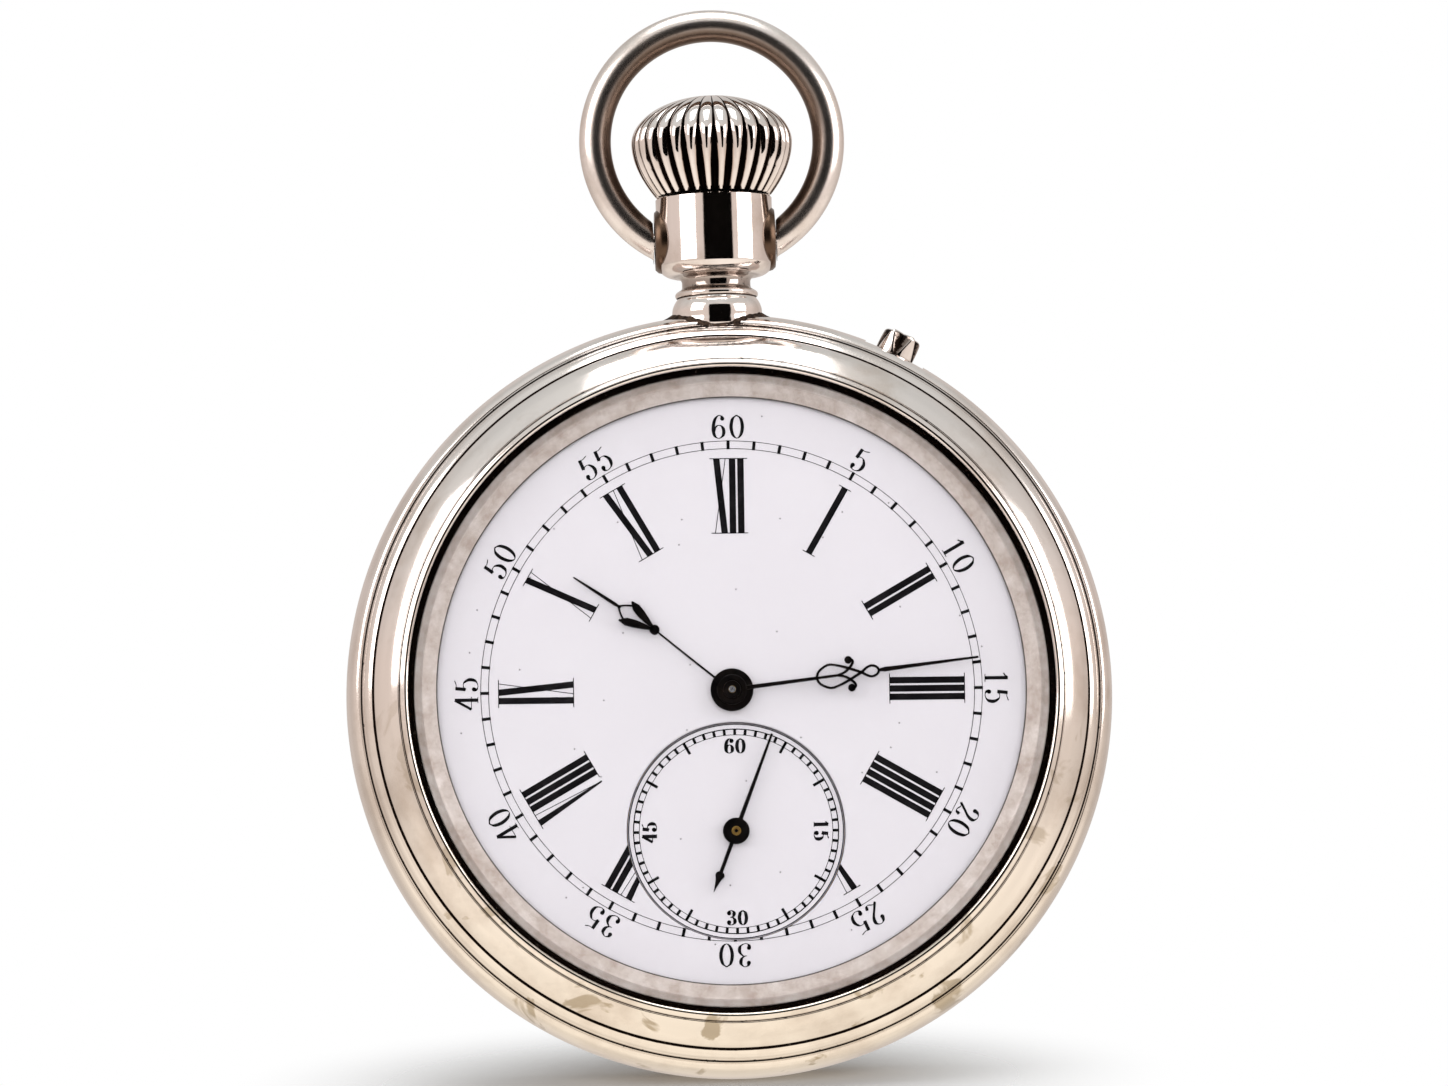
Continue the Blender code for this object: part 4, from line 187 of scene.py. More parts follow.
SECONDS_ARBOR = 0.4 * MM
SECONDS_LIP = 0.06 * MM
PRINT_LIFT = 0.012 * MM
HAND_EDGE = 0.03 * MM
MINUTE_ANGLE = 6.0
HOUR_ANGLE = 30.0
HOUR_BEARING = 307.2
MINUTE_BEARING = 84.1
SECONDS_BEARING = 21.9

# Fineness of the surfaces
RING_SIDES = 288
SINK_SIDES = 192
NECK_SIDES = 96
SMALL_SIDES = 48
ROUND_STEPS = 5
CORNER_SHARE = 0.45
LEAST_FRONT = 0.3
WELD = 1e-7
SUPPORT = 0.1 * MM
LONG_RUN = 6 * SUPPORT
SMOOTH_ANGLE = math.radians(40.0)


# Surfaces
# A shape is a dict of "points" (n, 3), "quads" (m, 4), "uv" (n, 2) in metres and "grime" (n).
# The share of grime marks old dirt in grooves and painted shade in seams, channels, corners and hollows.

def skin(points, uv, grime):
    """Shape of a grid of points: a quad joins each point to its right, upper right and upper neighbours."""
    rows, columns = points.shape[:2]
    index = np.arange(rows * columns).reshape(rows, columns)
    corners = (index[:-1, :-1], index[:-1, 1:], index[1:, 1:], index[1:, :-1])
    return {"points": points.reshape(-1, 3), "quads": np.stack(corners, axis=-1).reshape(-1, 4),
            "uv": uv.reshape(-1, 2), "grime": np.broadcast_to(grime, (rows, columns)).reshape(-1)}


def joined(*shapes):
    """Several shapes as one, each one's corner numbers moved past those before it."""
    starts = np.cumsum([0] + [len(s["points"]) for s in shapes[:-1]])
    merged = {key: np.concatenate([s[key] for s in shapes]) for key in ("points", "uv", "grime")}
    merged["quads"] = np.concatenate([s["quads"] + start for s, start in zip(shapes, starts)])
    return merged


def placed(shape, matrix):
    """A shape with every point multiplied by a 4 by 4 matrix."""
    grid = np.array(matrix)
    return {**shape, "points": shape["points"] @ grid[:3, :3].T + grid[:3, 3]}


def moved(shape, *place):
    """A shape moved by x, y and z."""
    return placed(shape, Matrix.Translation(place))


def swing(shape, degrees):
    """A flat shape on the dial's plan turned clockwise."""
    return placed(shape, Matrix.Rotation(-math.radians(degrees), 4, "Z"))


def facing_dial(shape, z=0.0):
    """A shape whose +Z becomes the dial's -Y, about a point on the line from 12 to 6 o'clock."""
    return placed(shape, Matrix.Translation((0.0, STEM_Y, z)) @ Matrix.Rotation(QUARTER, 4, "X"))


def on_stem(shape):
    """A shape whose +Z runs along the winding stem."""
    return moved(shape, 0.0, STEM_Y, 0.0)


def on_pin(shape):
    """A shape whose +Z runs outwards along the set pin."""
    return on_stem(placed(shape, Matrix.Rotation(math.radians(PIN_BEARING), 4, "Y")))


def on_bow_pivots(shape):
    """Two copies of a shape whose +Z runs outwards along the bow's pivots, one on each side."""
    return [moved(placed(shape, Matrix.Rotation(side * QUARTER, 4, "Y")), 0.0, STEM_Y, BOW_PIVOT)
            for side in (1, -1)]


def rounded(profile, radius):
    """Closed profile with each corner cut back by a radius.

    Between a point before the corner and one after it runs a quadratic curve: the sum of the three points,
    weighted by (1 - t) squared, 2 t (1 - t) and t squared.
    """
    corner = np.array(profile, dtype=float)
    ends = []
    for other in (np.roll(corner, 1, axis=0), np.roll(corner, -1, axis=0)):
        length = np.linalg.norm(other - corner, axis=1)
        share = np.minimum(radius / length, CORNER_SHARE)
        ends.append(corner + (other - corner) * share[:, None])
    t = np.linspace(0.0, 1.0, ROUND_STEPS)[None, :, None]
    curve = (1 - t) ** 2 * ends[0][:, None] + 2 * t * (1 - t) * corner[:, None] + t ** 2 * ends[1][:, None]
    return curve.reshape(-1, 2)


def closed(profile):
    """Profile of (radius, height, grime) rows with its first row again at its end. It is clean by default."""
    rows = np.array(profile, dtype=float)
    if rows.shape[1] == 2:
        rows = np.column_stack([rows, np.zeros(len(rows))])
    return np.vstack([rows, rows[:1]])


def along(points):
    """Distance from the first point along a row of points."""
    return np.concatenate([[0.0], np.cumsum(np.linalg.norm(np.diff(points, axis=0), axis=1))])


def supported(rows):
    """A profile with two more points on each long straight run, so that shading bends near corners alone."""
    step = np.diff(rows, axis=0)
    run = np.linalg.norm(step[:, :2], axis=1)
    is_long = run > LONG_RUN
    share = np.where(is_long, SUPPORT / np.maximum(run, WELD), 1 / 3)[:, None]
    spread = np.stack([rows[:-1], rows[:-1] + step * share, rows[1:] - step * share], axis=1)
    keep = np.stack([np.full(len(run), True), is_long, is_long], axis=1)
    return np.vstack([spread[keep], rows[-1:]])


def around(radius, level, angle):
    """Grid of points about +Z: at angle a a point of radius r and level h lies at (r cos a, r sin a, h)."""
    radius, level = np.broadcast_arrays(radius, level)
    wide = np.broadcast_to(angle, (len(radius), len(angle)))
    return np.stack(np.broadcast_arrays(radius * np.cos(wide), radius * np.sin(wide), level), axis=-1)


def turned(profile, sides=RING_SIDES):
    """Surface turned about +Z from a profile of radii and heights.

    The seam lies at 6 o'clock, and the map runs along the turn at the mean radius and along the profile.
    """
    rows = supported(closed(profile))
    angle = np.linspace(0.0, TURN, sides + 1) - QUARTER
    radius, level, grime = rows[:, :1], rows[:, 1:2], rows[:, 2:]
    u, v = np.meshgrid(angle * radius.mean(), along(rows[:, :2]))
    return skin(around(radius, level, angle), np.stack([u, v], axis=-1), grime)


def rod(*steps, sides=NECK_SIDES):
    """Solid rod along +Z in steps of (radius, low, high), one on top of the other."""
    side = [(radius, level) for radius, low, high in steps for level in (low, high)]
    return turned([(0.0, steps[0][1])] + side + [(0.0, steps[-1][2])], sides)


def tube(bore, radius, low, high, edge, sides=NECK_SIDES, dish=0.0):
    """Tube along +Z with rounded edges, its top falling by a dish towards the bore."""
    return turned(rounded([(bore, low), (radius, low), (radius, high), (bore, high - dish)], edge), sides)


def disc(centre, radius, low, high, sides, edge=0.0):
    """Round flat blob with its front edge drawn in."""
    return moved(turned([(0.0, low), (radius, low), (radius - edge, high), (0.0, high)], sides), *centre, 0.0)


def ring_line(radius, width, low, high):
    """Printed circle: a flat ring."""
    inner, outer = radius - width / 2, radius + width / 2
    return turned([(inner, low), (outer, low), (outer, high), (inner, high)])


def knuckles(hinge, *spans):
    """Hinge knuckles: tubes round the pin between pairs of places along it."""
    tubes = [tube(hinge.pin + RUN_GAP, hinge.radius, low, high, KNUCKLE_EDGE) for low, high in spans]
    return moved(joined(*tubes), hinge.x, HINGE_Y, 0.0)


def knuckle_room(hinge, beside, end):
    """Cutter along a hinge: room for the band's own knuckle, and a radius beside it up to an end."""
    near, far = (hinge.case_length + SEAT_GAP) / 2, end + SEAT_GAP
    inner, outer = hinge.radius + RUN_GAP, beside + RUN_GAP
    return moved(rod((outer, -far, -near), (inner, -near, near), (outer, near, far)), hinge.x, HINGE_Y, 0.0)


def slab(path, half, low, high, edge=0.0):
    """Flat bar along a path of the plan: left and right of each point by a half width, between two heights.

    The section has four corners, the front two drawn in by an edge, and both ends close on their middle.
    """
    path = np.asarray(path, dtype=float)
    half = np.broadcast_to(np.asarray(half, dtype=float), (len(path),))
    way = np.gradient(path, axis=0)
    way /= np.maximum(np.linalg.norm(way, axis=1, keepdims=True), WELD)
    side = np.column_stack([way[:, 1], -way[:, 0]])
    inner = np.maximum(half - edge, half * LEAST_FRONT)
    corners = [(half, low), (inner, high), (-inner, high), (-half, low), (half, low)]
    body = np.stack([np.column_stack([path + side * offset[:, None], np.full(len(path), height)])
                     for offset, height in corners], axis=1)
    first, last = (np.broadcast_to([*end, (low + high) / 2], body[:1].shape) for end in (path[0], path[-1]))
    points = np.concatenate([first, body, last])
    return skin(points, points[..., :2], 0.0)


def smooth_path(points, samples):
    """Smooth path through points: between two neighbours the cubic whose slope at each is half the chord
    between that point's own neighbours."""
    knots = np.array(points, dtype=float)
    wide = np.vstack([2 * knots[0] - knots[1], knots, 2 * knots[-1] - knots[-2]])
    place = np.linspace(0.0, len(knots) - 1, samples)
    k = np.minimum(place.astype(int), len(knots) - 2)
    t = (place - k)[:, None]
    a, b, c, d = (wide[k + step] for step in range(4))
    bend, twist = 2 * a - 5 * b + 4 * c - d, 3 * b - a - 3 * c + d
    return 0.5 * (2 * b + (c - a) * t + bend * t ** 2 + twist * t ** 3)


def arc_points(start, end, bulge, steps, grime=0.0):
    """Points from start to end on a curve that bows out by a bulge, a share of the chord, at its middle."""
    start, end = np.array(start), np.array(end)
    t = np.linspace(0.0, 1.0, steps)[:, None]
    chord = end - start
    normal = np.array([-chord[1], chord[0]])
    curve = start + chord * t + normal * bulge * 4 * t * (1 - t)
    return [(*row, grime) for row in curve.tolist()]


def groove_points(radius, height, width, slope, dirt):
    """Points of a V groove turned into a sloping face, dirty at its floor and less so beside it."""
    half = width / 2
    return [(radius - width, height + width * slope, 0.1 * dirt),
            (radius - half, height + half * slope, 0.5 * dirt),
            (radius - half * slope / 2, height - half, dirt),
            (radius + half, height - half * slope, 0.5 * dirt),
            (radius + width, height - width * slope, 0.1 * dirt)]


# Meshes and pieces

def link(name, data):
    """New object in the scene."""
    made = bpy.data.objects.new(name, data)
    bpy.context.scene.collection.objects.link(made)
    return made


def make_mesh(name, shape):
    """Mesh of a shape with its map and grime, its doubles merged and its faces pointing out."""
    mesh = bpy.data.meshes.new(name)
    mesh.from_pydata(shape["points"].tolist(), [], shape["quads"].tolist())
    grime = mesh.attributes.new("grime", "FLOAT", "POINT")
    grime.data.foreach_set("value", shape["grime"].astype(np.float32))
    layer = mesh.uv_layers.new(name="Along")
    layer.data.foreach_set("uv", shape["uv"][shape["quads"].ravel()].astype(np.float32).ravel())
    work = bmesh.new()
    work.from_mesh(mesh)
    bmesh.ops.remove_doubles(work, verts=work.verts, dist=WELD)
    bmesh.ops.dissolve_degenerate(work, edges=work.edges, dist=WELD)
    bmesh.ops.recalc_face_normals(work, faces=work.faces)
    work.to_mesh(mesh)
    work.free()
    return mesh


def carve(shape, *cutters):
    """Mesh of a shape with each cutter's solid taken out of it."""
    target = link("carved", make_mesh("carved", shape))
    helpers = [link("cutter", make_mesh("cutter", cutter)) for cutter in cutters]
    for helper in helpers:
        step = target.modifiers.new("cut", "BOOLEAN")
        step.operation = "DIFFERENCE"
        step.solver = "MANIFOLD"
        step.object = helper
    ready = target.evaluated_get(bpy.context.evaluated_depsgraph_get())
    result = bpy.data.meshes.new_from_object(ready)
    if not len(result.polygons):
        raise RuntimeError("a piece was carved away")
    for used in [target] + helpers:
        bpy.data.objects.remove(used)
    return result


def add_piece(name, shape, finish_name, body, *nodes):
    """Named piece in a finish, from a shape or a mesh. It rides on a body and stands for CAD nodes."""
    mesh = make_mesh(name, shape) if isinstance(shape, dict) else shape
    mesh.name = name
    mesh.materials.clear()
    mesh.materials.append(finish(finish_name))
    mesh.shade_smooth()
    mesh.set_sharp_from_angle(angle=SMOOTH_ANGLE)
    piece = link(name, mesh)
    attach(piece, body)
    if nodes:
        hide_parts(*nodes)


# Materials

MIX = {"data_type": "RGBA", "out": 2}
MIX_A, MIX_B = 6, 7


def linear(hex_text):
    """Linear RGBA of an sRGB hex colour: each channel has its gamma curve undone."""
    channels = np.array([int(hex_text[k:k + 2], 16) for k in (1, 3, 5)]) / 255.0
    curved = ((channels + 0.055) / 1.055) ** 2.4
    return (*np.where(channels <= 0.04045, channels / 12.92, curved).tolist(), 1.0)


def wire(tree, node, links):
    """Links from other nodes' outputs into a node's sockets."""
    for socket, source in links.items():
        tree.links.new(source, node.inputs[socket])


def add(tree, kind, values=None, links=None, out=0, **settings):
    """One output of a new shader node with its settings, its sockets' values and its links."""
    made = tree.nodes.new("ShaderNode" + kind)
    for name, value in settings.items():
        setattr(made, name, value)
    for socket, value in (values or {}).items():
        made.inputs[socket].default_value = value
    wire(tree, made, links or {})
    return made.outputs[out]


def new_finish(name, values):
    """Material, its node tree and its Principled shader with values on the shader's own sockets."""
    made = bpy.data.materials.new(name)
    made.use_nodes = True
    shader = made.node_tree.nodes["Principled BSDF"]
    for socket, value in values.items():
        shader.inputs[socket].default_value = value
    return made, made.node_tree, shader


def let_through(tree, shader, share):
    """Lets light pass straight through a material's shader by a share."""
    clear = add(tree, "BsdfTransparent")
    mixed = add(tree, "MixShader", links={0: share, 1: shader.outputs[0], 2: clear})
    wire(tree, tree.nodes["Material Output"], {"Surface": mixed})


def per(size):
    """Noise scale whose features are about a size in metres."""
    return 1.0 / size


def worn_silver(name, colours, gloss, dirty, dirt, ragged, dirt_rough):
    """Coin silver: a warm mirror, dulled in patches, with hairlines, and yellower below as a painted warm
    reflection. Its grooves hold old dirt, and painted shade darkens its seams, corners and hollows.
    """
    made, tree, shader = new_finish(name, {"Metallic": 1.0})
    where = add(tree, "TexCoord", out="Object")
    height = add(tree, "SeparateXYZ", links={0: where}, out=2)
    grime = add(tree, "Attribute", out="Fac", attribute_name="grime")
    # Painted warm reflection: the silver turns yellower towards the bottom of the watch
    depth = add(tree, "MapRange", {"From Min": 8.0 * MM, "From Max": -24.0 * MM, "To Max": 0.8},
                {"Value": height})
    low_reflected = add(tree, "Mix", {MIX_A: colours.silver, MIX_B: colours.silver_aged}, {0: depth}, **MIX)
    patches = add(tree, "TexNoise", {"Scale": per(5.0 * MM), "Detail": 6.0, "Roughness": 0.62},
                  {"Vector": where})
    patch = add(tree, "MapRange", {"From Min": 0.46, "From Max": 0.8, "To Max": 0.6}, {"Value": patches})
    toned = add(tree, "Mix", {MIX_B: colours.tarnish}, {0: patch, MIX_A: low_reflected}, **MIX)
    # Water stains have crisp edges and show most below
    stains = add(tree, "TexNoise", {"W": 3.7, "Scale": per(5.0 * MM), "Detail": 4.0, "Distortion": 0.8},
                 {"Vector": where}, noise_dimensions="4D")
    stain = add(tree, "MapRange", {"From Min": 0.59, "From Max": 0.62}, {"Value": stains, "To Max": depth})
    stained = add(tree, "Mix", {MIX_B: colours.stain}, {0: stain, MIX_A: toned}, **MIX)
    # A brown film lies round the dirt and the painted shade
    film = add(tree, "MapRange", {"From Max": 0.5, "To Max": 0.85}, {"Value": grime})
    filmed = add(tree, "Mix", {MIX_B: colours.patina_and_shade}, {0: film, MIX_A: stained}, **MIX)
    specks = add(tree, "TexNoise", {"Scale": per(0.4 * MM), "Detail": 3.0, "Roughness": 0.7},
                 {"Vector": where})
    edge = add(tree, "MapRange",
               {"From Min": 0.3, "From Max": 0.7, "To Min": -ragged, "To Max": 0.8 * ragged},
               {"Value": specks})
    torn = add(tree, "Math", links={0: grime, 1: edge}, operation="ADD")
    dirt_and_shade_share = add(tree, "MapRange", {"From Min": dirty[0], "From Max": dirty[1]}, {"Value": torn})
    soiled_and_shaded = add(tree, "Mix", {MIX_B: getattr(colours, dirt)}, {0: dirt_and_shade_share, MIX_A: filmed}, **MIX)
    dulled = add(tree, "MapRange",
                 {"From Min": 0.35, "From Max": 0.8, "To Min": gloss[0], "To Max": gloss[1]},
                 {"Value": patches})
    rough = add(tree, "MapRange", {"To Max": dirt_rough}, {"Value": dirt_and_shade_share, "To Min": dulled})
    # Hairlines run along the turn, drawn 0.12 mm apart because finer ones would not show
    stretch = add(tree, "Mapping", {"Scale": (per(6.0 * MM), per(0.12 * MM), 1.0)},
                  {"Vector": add(tree, "TexCoord", out="UV")})
    lines = add(tree, "TexNoise", {"Scale": 1.0, "Detail": 4.0, "Roughness": 0.7}, {"Vector": stretch})
    dents = add(tree, "TexNoise", {"Scale": per(3.0 * MM), "Detail": 2.0}, {"Vector": where})
    wavy = add(tree, "Bump", {"Strength": 0.35, "Distance": 0.05 * MM}, {"Height": dents})
    bump = add(tree, "Bump", {"Strength": 0.22, "Distance": 0.01 * MM}, {"Height": lines, "Normal": wavy})
    wire(tree, shader, {"Base Color": soiled_and_shaded, "Roughness": rough, "Normal": bump})
    return made


def dull_silver(name, colours):
    """Oxidised silver ring under the glass: brown-grey and satin, smudged and grained."""
    made, tree, shader = new_finish(name, {"Metallic": 0.35})
    where = add(tree, "TexCoord", out="Object")
    grime = add(tree, "Attribute", out="Fac", attribute_name="grime")
    smudge = add(tree, "TexNoise", {"Scale": per(1.6 * MM), "Detail": 7.0, "Roughness": 0.72},
                 {"Vector": where})
    spread = add(tree, "MapRange", {"From Min": 0.32, "From Max": 0.66}, {"Value": smudge})
    toned = add(tree, "Mix", {MIX_A: colours.flange, MIX_B: colours.flange_dark}, {0: spread}, **MIX)
    # Painted shade darkens the ring's edges by the dial and by the channel
    soiled_and_shaded = add(tree, "Mix", {MIX_B: colours.grime}, {0: grime, MIX_A: toned}, **MIX)
    rough = add(tree, "MapRange", {"From Min": 0.3, "From Max": 0.7, "To Min": 0.34, "To Max": 0.52},
                {"Value": smudge})
    grain = add(tree, "TexNoise", {"Scale": per(0.2 * MM), "Detail": 3.0}, {"Vector": where})
    bump = add(tree, "Bump", {"Strength": 0.25, "Distance": 0.02 * MM}, {"Height": grain})
    wire(tree, shader, {"Base Color": soiled_and_shaded, "Roughness": rough, "Normal": bump})
    return made


def fired_enamel(name, colours):
    """Vitreous enamel, fired and glossy: faintly lavender white, with slow ripples and specks of dust."""
    made, tree, shader = new_finish(name, {"IOR": 1.52})
    where = add(tree, "TexCoord", out="Object")
    grime = add(tree, "Attribute", out="Fac", attribute_name="grime")
    cast = add(tree, "TexNoise", {"Scale": per(9.0 * MM), "Detail": 4.0}, {"Vector": where})
    toned = add(tree, "Mix", {MIX_A: colours.enamel, MIX_B: colours.enamel_shade}, {0: cast}, **MIX)
    # One speck lies in each cell of the dial's plane
    plane = add(tree, "Mapping", {"Rotation": (QUARTER, 0.0, 0.0)}, {"Vector": where})
    cells = add(tree, "TexVoronoi", {"Scale": per(5.5 * MM)}, {"Vector": plane}, "Distance",
                voronoi_dimensions="2D")
    dust = add(tree, "MapRange", {"From Min": 0.016, "From Max": 0.006, "To Max": 0.7}, {"Value": cells})
    # Besides the specks, painted shade darkens the rim of each dial where it meets the ring and the sunk wall
    spots = add(tree, "Math", links={0: grime, 1: dust}, operation="MAXIMUM")
    soiled_and_shaded = add(tree, "Mix", {MIX_B: colours.grime}, {0: spots, MIX_A: toned}, **MIX)
    rough = add(tree, "MapRange", {"To Min": 0.08, "To Max": 0.16}, {"Value": cast})
    ripple = add(tree, "TexNoise", {"Scale": per(2.5 * MM), "Detail": 1.0}, {"Vector": where})
    bump = add(tree, "Bump", {"Strength": 0.05, "Distance": 0.02 * MM}, {"Height": ripple})
    wire(tree, shader, {"Base Color": soiled_and_shaded, "Roughness": rough, "Normal": bump})
    return made


def dark_finish(name, colours, base, worn, metallic, sheen, rough, size):
    """Dark even finish with a little wear: two close colours and two roughnesses from one noise."""
    made, tree, shader = new_finish(name, {"Metallic": metallic, "Specular IOR Level": sheen})
    where = add(tree, "TexCoord", out="Object")
    wear = add(tree, "TexNoise", {"Scale": per(size), "Detail": 5.0, "Roughness": 0.65}, {"Vector": where})
    spread = add(tree, "MapRange", {"From Min": 0.4, "From Max": 0.8}, {"Value": wear})
    toned = add(tree, "Mix", {MIX_A: getattr(colours, base), MIX_B: getattr(colours, worn)},
                {0: spread}, **MIX)
    dulled = add(tree, "MapRange", {"To Min": rough[0], "To Max": rough[1]}, {"Value": wear})
    wire(tree, shader, {"Base Color": toned, "Roughness": dulled})
    return made


def ground_metal(name, colours, base, shade, rough, grain):
    """Ground and polished metal of the movement: even colour, with a fine grain in its shine and relief."""
    made, tree, shader = new_finish(name, {"Metallic": 1.0})
    where = add(tree, "TexCoord", out="Object")
    tone = add(tree, "TexNoise", {"Scale": per(4.0 * MM), "Detail": 5.0}, {"Vector": where})
    toned = add(tree, "Mix", {MIX_A: getattr(colours, base), MIX_B: getattr(colours, shade)},
                {0: tone}, **MIX)
    fine = add(tree, "TexNoise", {"Scale": per(grain), "Detail": 2.0}, {"Vector": where})
    dulled = add(tree, "MapRange", {"From Min": 0.3, "From Max": 0.7, "To Min": rough[0], "To Max": rough[1]},
                 {"Value": fine})
    bump = add(tree, "Bump", {"Strength": 0.2, "Distance": 0.01 * MM}, {"Height": fine})
    wire(tree, shader, {"Base Color": toned, "Roughness": dulled, "Normal": bump})
    return made


def clear_glass(name, colours):
    """Ground and polished watch glass: clear, with a sharp sheen. It throws no dark shadow."""
    made, tree, shader = new_finish(name, {"Roughness": 0.0, "IOR": 1.5, "Transmission Weight": 1.0})
    let_through(tree, shader, add(tree, "LightPath", out="Is Shadow Ray"))
    return made


def ruby(name, colours):
    """Synthetic ruby, polished: deep red with a wet gloss."""
    made, tree, shader = new_finish(name, {"IOR": 1.76, "Roughness": 0.06})
    depth = add(tree, "TexNoise", {"Scale": per(0.6 * MM)}, {"Vector": add(tree, "TexCoord", out="Object")})
    toned = add(tree, "Mix", {MIX_A: colours.ruby, MIX_B: colours.ruby_deep}, {0: depth}, **MIX)
    wire(tree, shader, {"Base Color": toned})
    return made


# The first finish of each CAD slot is the one of the solids that stay
Finish = namedtuple("Finish", "slot name maker values")
FINISHES = {
    # Handled silver: soft mirror
    "silver": Finish("silver", "coin_silver_polished_worn", worn_silver, {
        "gloss": (0.08, 0.2), "dirty": (0.4, 0.62), "dirt": "grime", "ragged": 0.5, "dirt_rough": 0.6}),
    # Silver that is handled less: sharp mirror
    "bright": Finish("silver", "coin_silver_polished", worn_silver, {
        "gloss": (0.03, 0.1), "dirty": (0.4, 0.62), "dirt": "grime", "ragged": 0.3, "dirt_rough": 0.5}),
    # Silver rubbed by a chain: satin. Its brown is painted shade, on the bow's inner half and on the bosses
    "satin": Finish("silver", "coin_silver_rubbed_satin", worn_silver, {
        "gloss": (0.2, 0.3), "dirty": (0.0, 1.0), "dirt": "patina_and_shade", "ragged": 0.08, "dirt_rough": 0.3}),
    # Brown-black and without shine: painted shade in the corner where the pendant meets the band, with old
    # dirt and polish dried there
    "dirt": Finish("silver", "dirt_dried_matt", dark_finish, {
        "base": "grime", "worn": "patina_and_shade", "metallic": 0.0, "sheen": 0.1, "rough": (0.7, 0.9),
        "size": 0.5 * MM}),
    "dull": Finish("dull_metal", "silver_oxidised_satin", dull_silver, {}),
    "enamel": Finish("enamel", "vitreous_enamel_fired", fired_enamel, {}),
    # Steel blackened in hot oil: near black, with a soft metal sheen
    "black": Finish("black_steel", "steel_blackened", dark_finish, {
        "base": "black_steel", "worn": "black_worn", "metallic": 0.6, "sheen": 0.3, "rough": (0.22, 0.4),
        "size": 1.5 * MM}),
    # Fired paint: dense black with a soft shine
    "print": Finish("black_steel", "enamel_paint_fired", dark_finish, {
        "base": "print", "worn": "print_worn", "metallic": 0.0, "sheen": 0.15, "rough": (0.3, 0.5),
        "size": 1.2 * MM}),
    # Steel blued by heat: deep blue mirror
    "blue": Finish("blued_steel", "steel_heat_blued", ground_metal, {
        "base": "blue_steel", "shade": "blue_deep", "rough": (0.14, 0.26), "grain": 0.15 * MM}),
    # Fire-gilt brass: warm yellow with a frosted grain
    "gilt": Finish("gilt_brass", "brass_fire_gilt_frosted", ground_metal, {
        "base": "gilt", "shade": "gilt_shade", "rough": (0.26, 0.42), "grain": 0.12 * MM}),
    # Hardened steel, ground and polished: cool grey mirror with a fine grain
    "steel": Finish("steel", "steel_ground_polished", ground_metal, {
        "base": "steel", "shade": "steel_shade", "rough": (0.16, 0.3), "grain": 0.1 * MM}),
    "glass": Finish("glass", "watch_glass_polished", clear_glass, {}),
    "ruby": Finish("ruby", "ruby_polished", ruby, {}),
}


def finish(finish_name):
    """The watch's material of a short name, made on first use."""
    known = FINISHES[finish_name]
    colours = bpy.context.scene.watch_colours
    return bpy.data.materials.get(known.name) or known.maker(known.name, colours, **known.values)


# Sizes and colours

def length(name, description, default):
    """Length property in metres."""
    return bpy.props.FloatProperty(name=name, description=description, default=default, min=0.0,
                                   precision=5, subtype="DISTANCE", unit="LENGTH")


def colour(name, description, hex_text):
    """Colour property from an sRGB hex value."""
    return bpy.props.FloatVectorProperty(name=name, description=description, default=linear(hex_text), size=4,
                                         min=0.0, max=1.0, subtype="COLOR")


class WATCH_PG_sizes(bpy.types.PropertyGroup):
    """Sizes that shape the fine surfaces."""

    groove: length("Groove width", "Width of the fine lines turned into the bezel and the band", 0.12 * MM)
    rib_count: bpy.props.IntProperty(name="Ribs", description="Ribs round the crown", default=30, min=8)
    rib_depth: length("Rib depth", "Depth of the crown's grooves at its lower end", 0.62 * MM)
    track_outer: length("Track outside", "Radius of the minute track's outer circle", 17.55 * MM)
    track_inner: length("Track inside", "Radius of the minute track's inner circle", 17.0 * MM)
    minute_tick: length("Minute tick", "Width of a minute's tick", 0.22 * MM)
    hairline: length("Hairline", "Width of the thin printed lines", 0.045 * MM)
    figure_height: length("Figure height", "Height of the minute figures", 1.65 * MM)
    figure_ring: length("Figure ring", "Radius at the middle of the minute figures", 18.55 * MM)
    numeral_outer: length("Numeral top", "Radius at the hour numerals' outer ends", 16.3 * MM)
    numeral_inner: length("Numeral foot", "Radius at the hour numerals' inner ends", 11.05 * MM)
    numeral_stroke: length("Numeral stroke", "Width of the hour numerals' thick strokes", 0.455 * MM)
    dial_turn: bpy.props.FloatProperty(name="Dial turn", description="How far the dial sits turned clockwise",
                                       default=math.radians(1.0), subtype="ANGLE", unit="ROTATION")


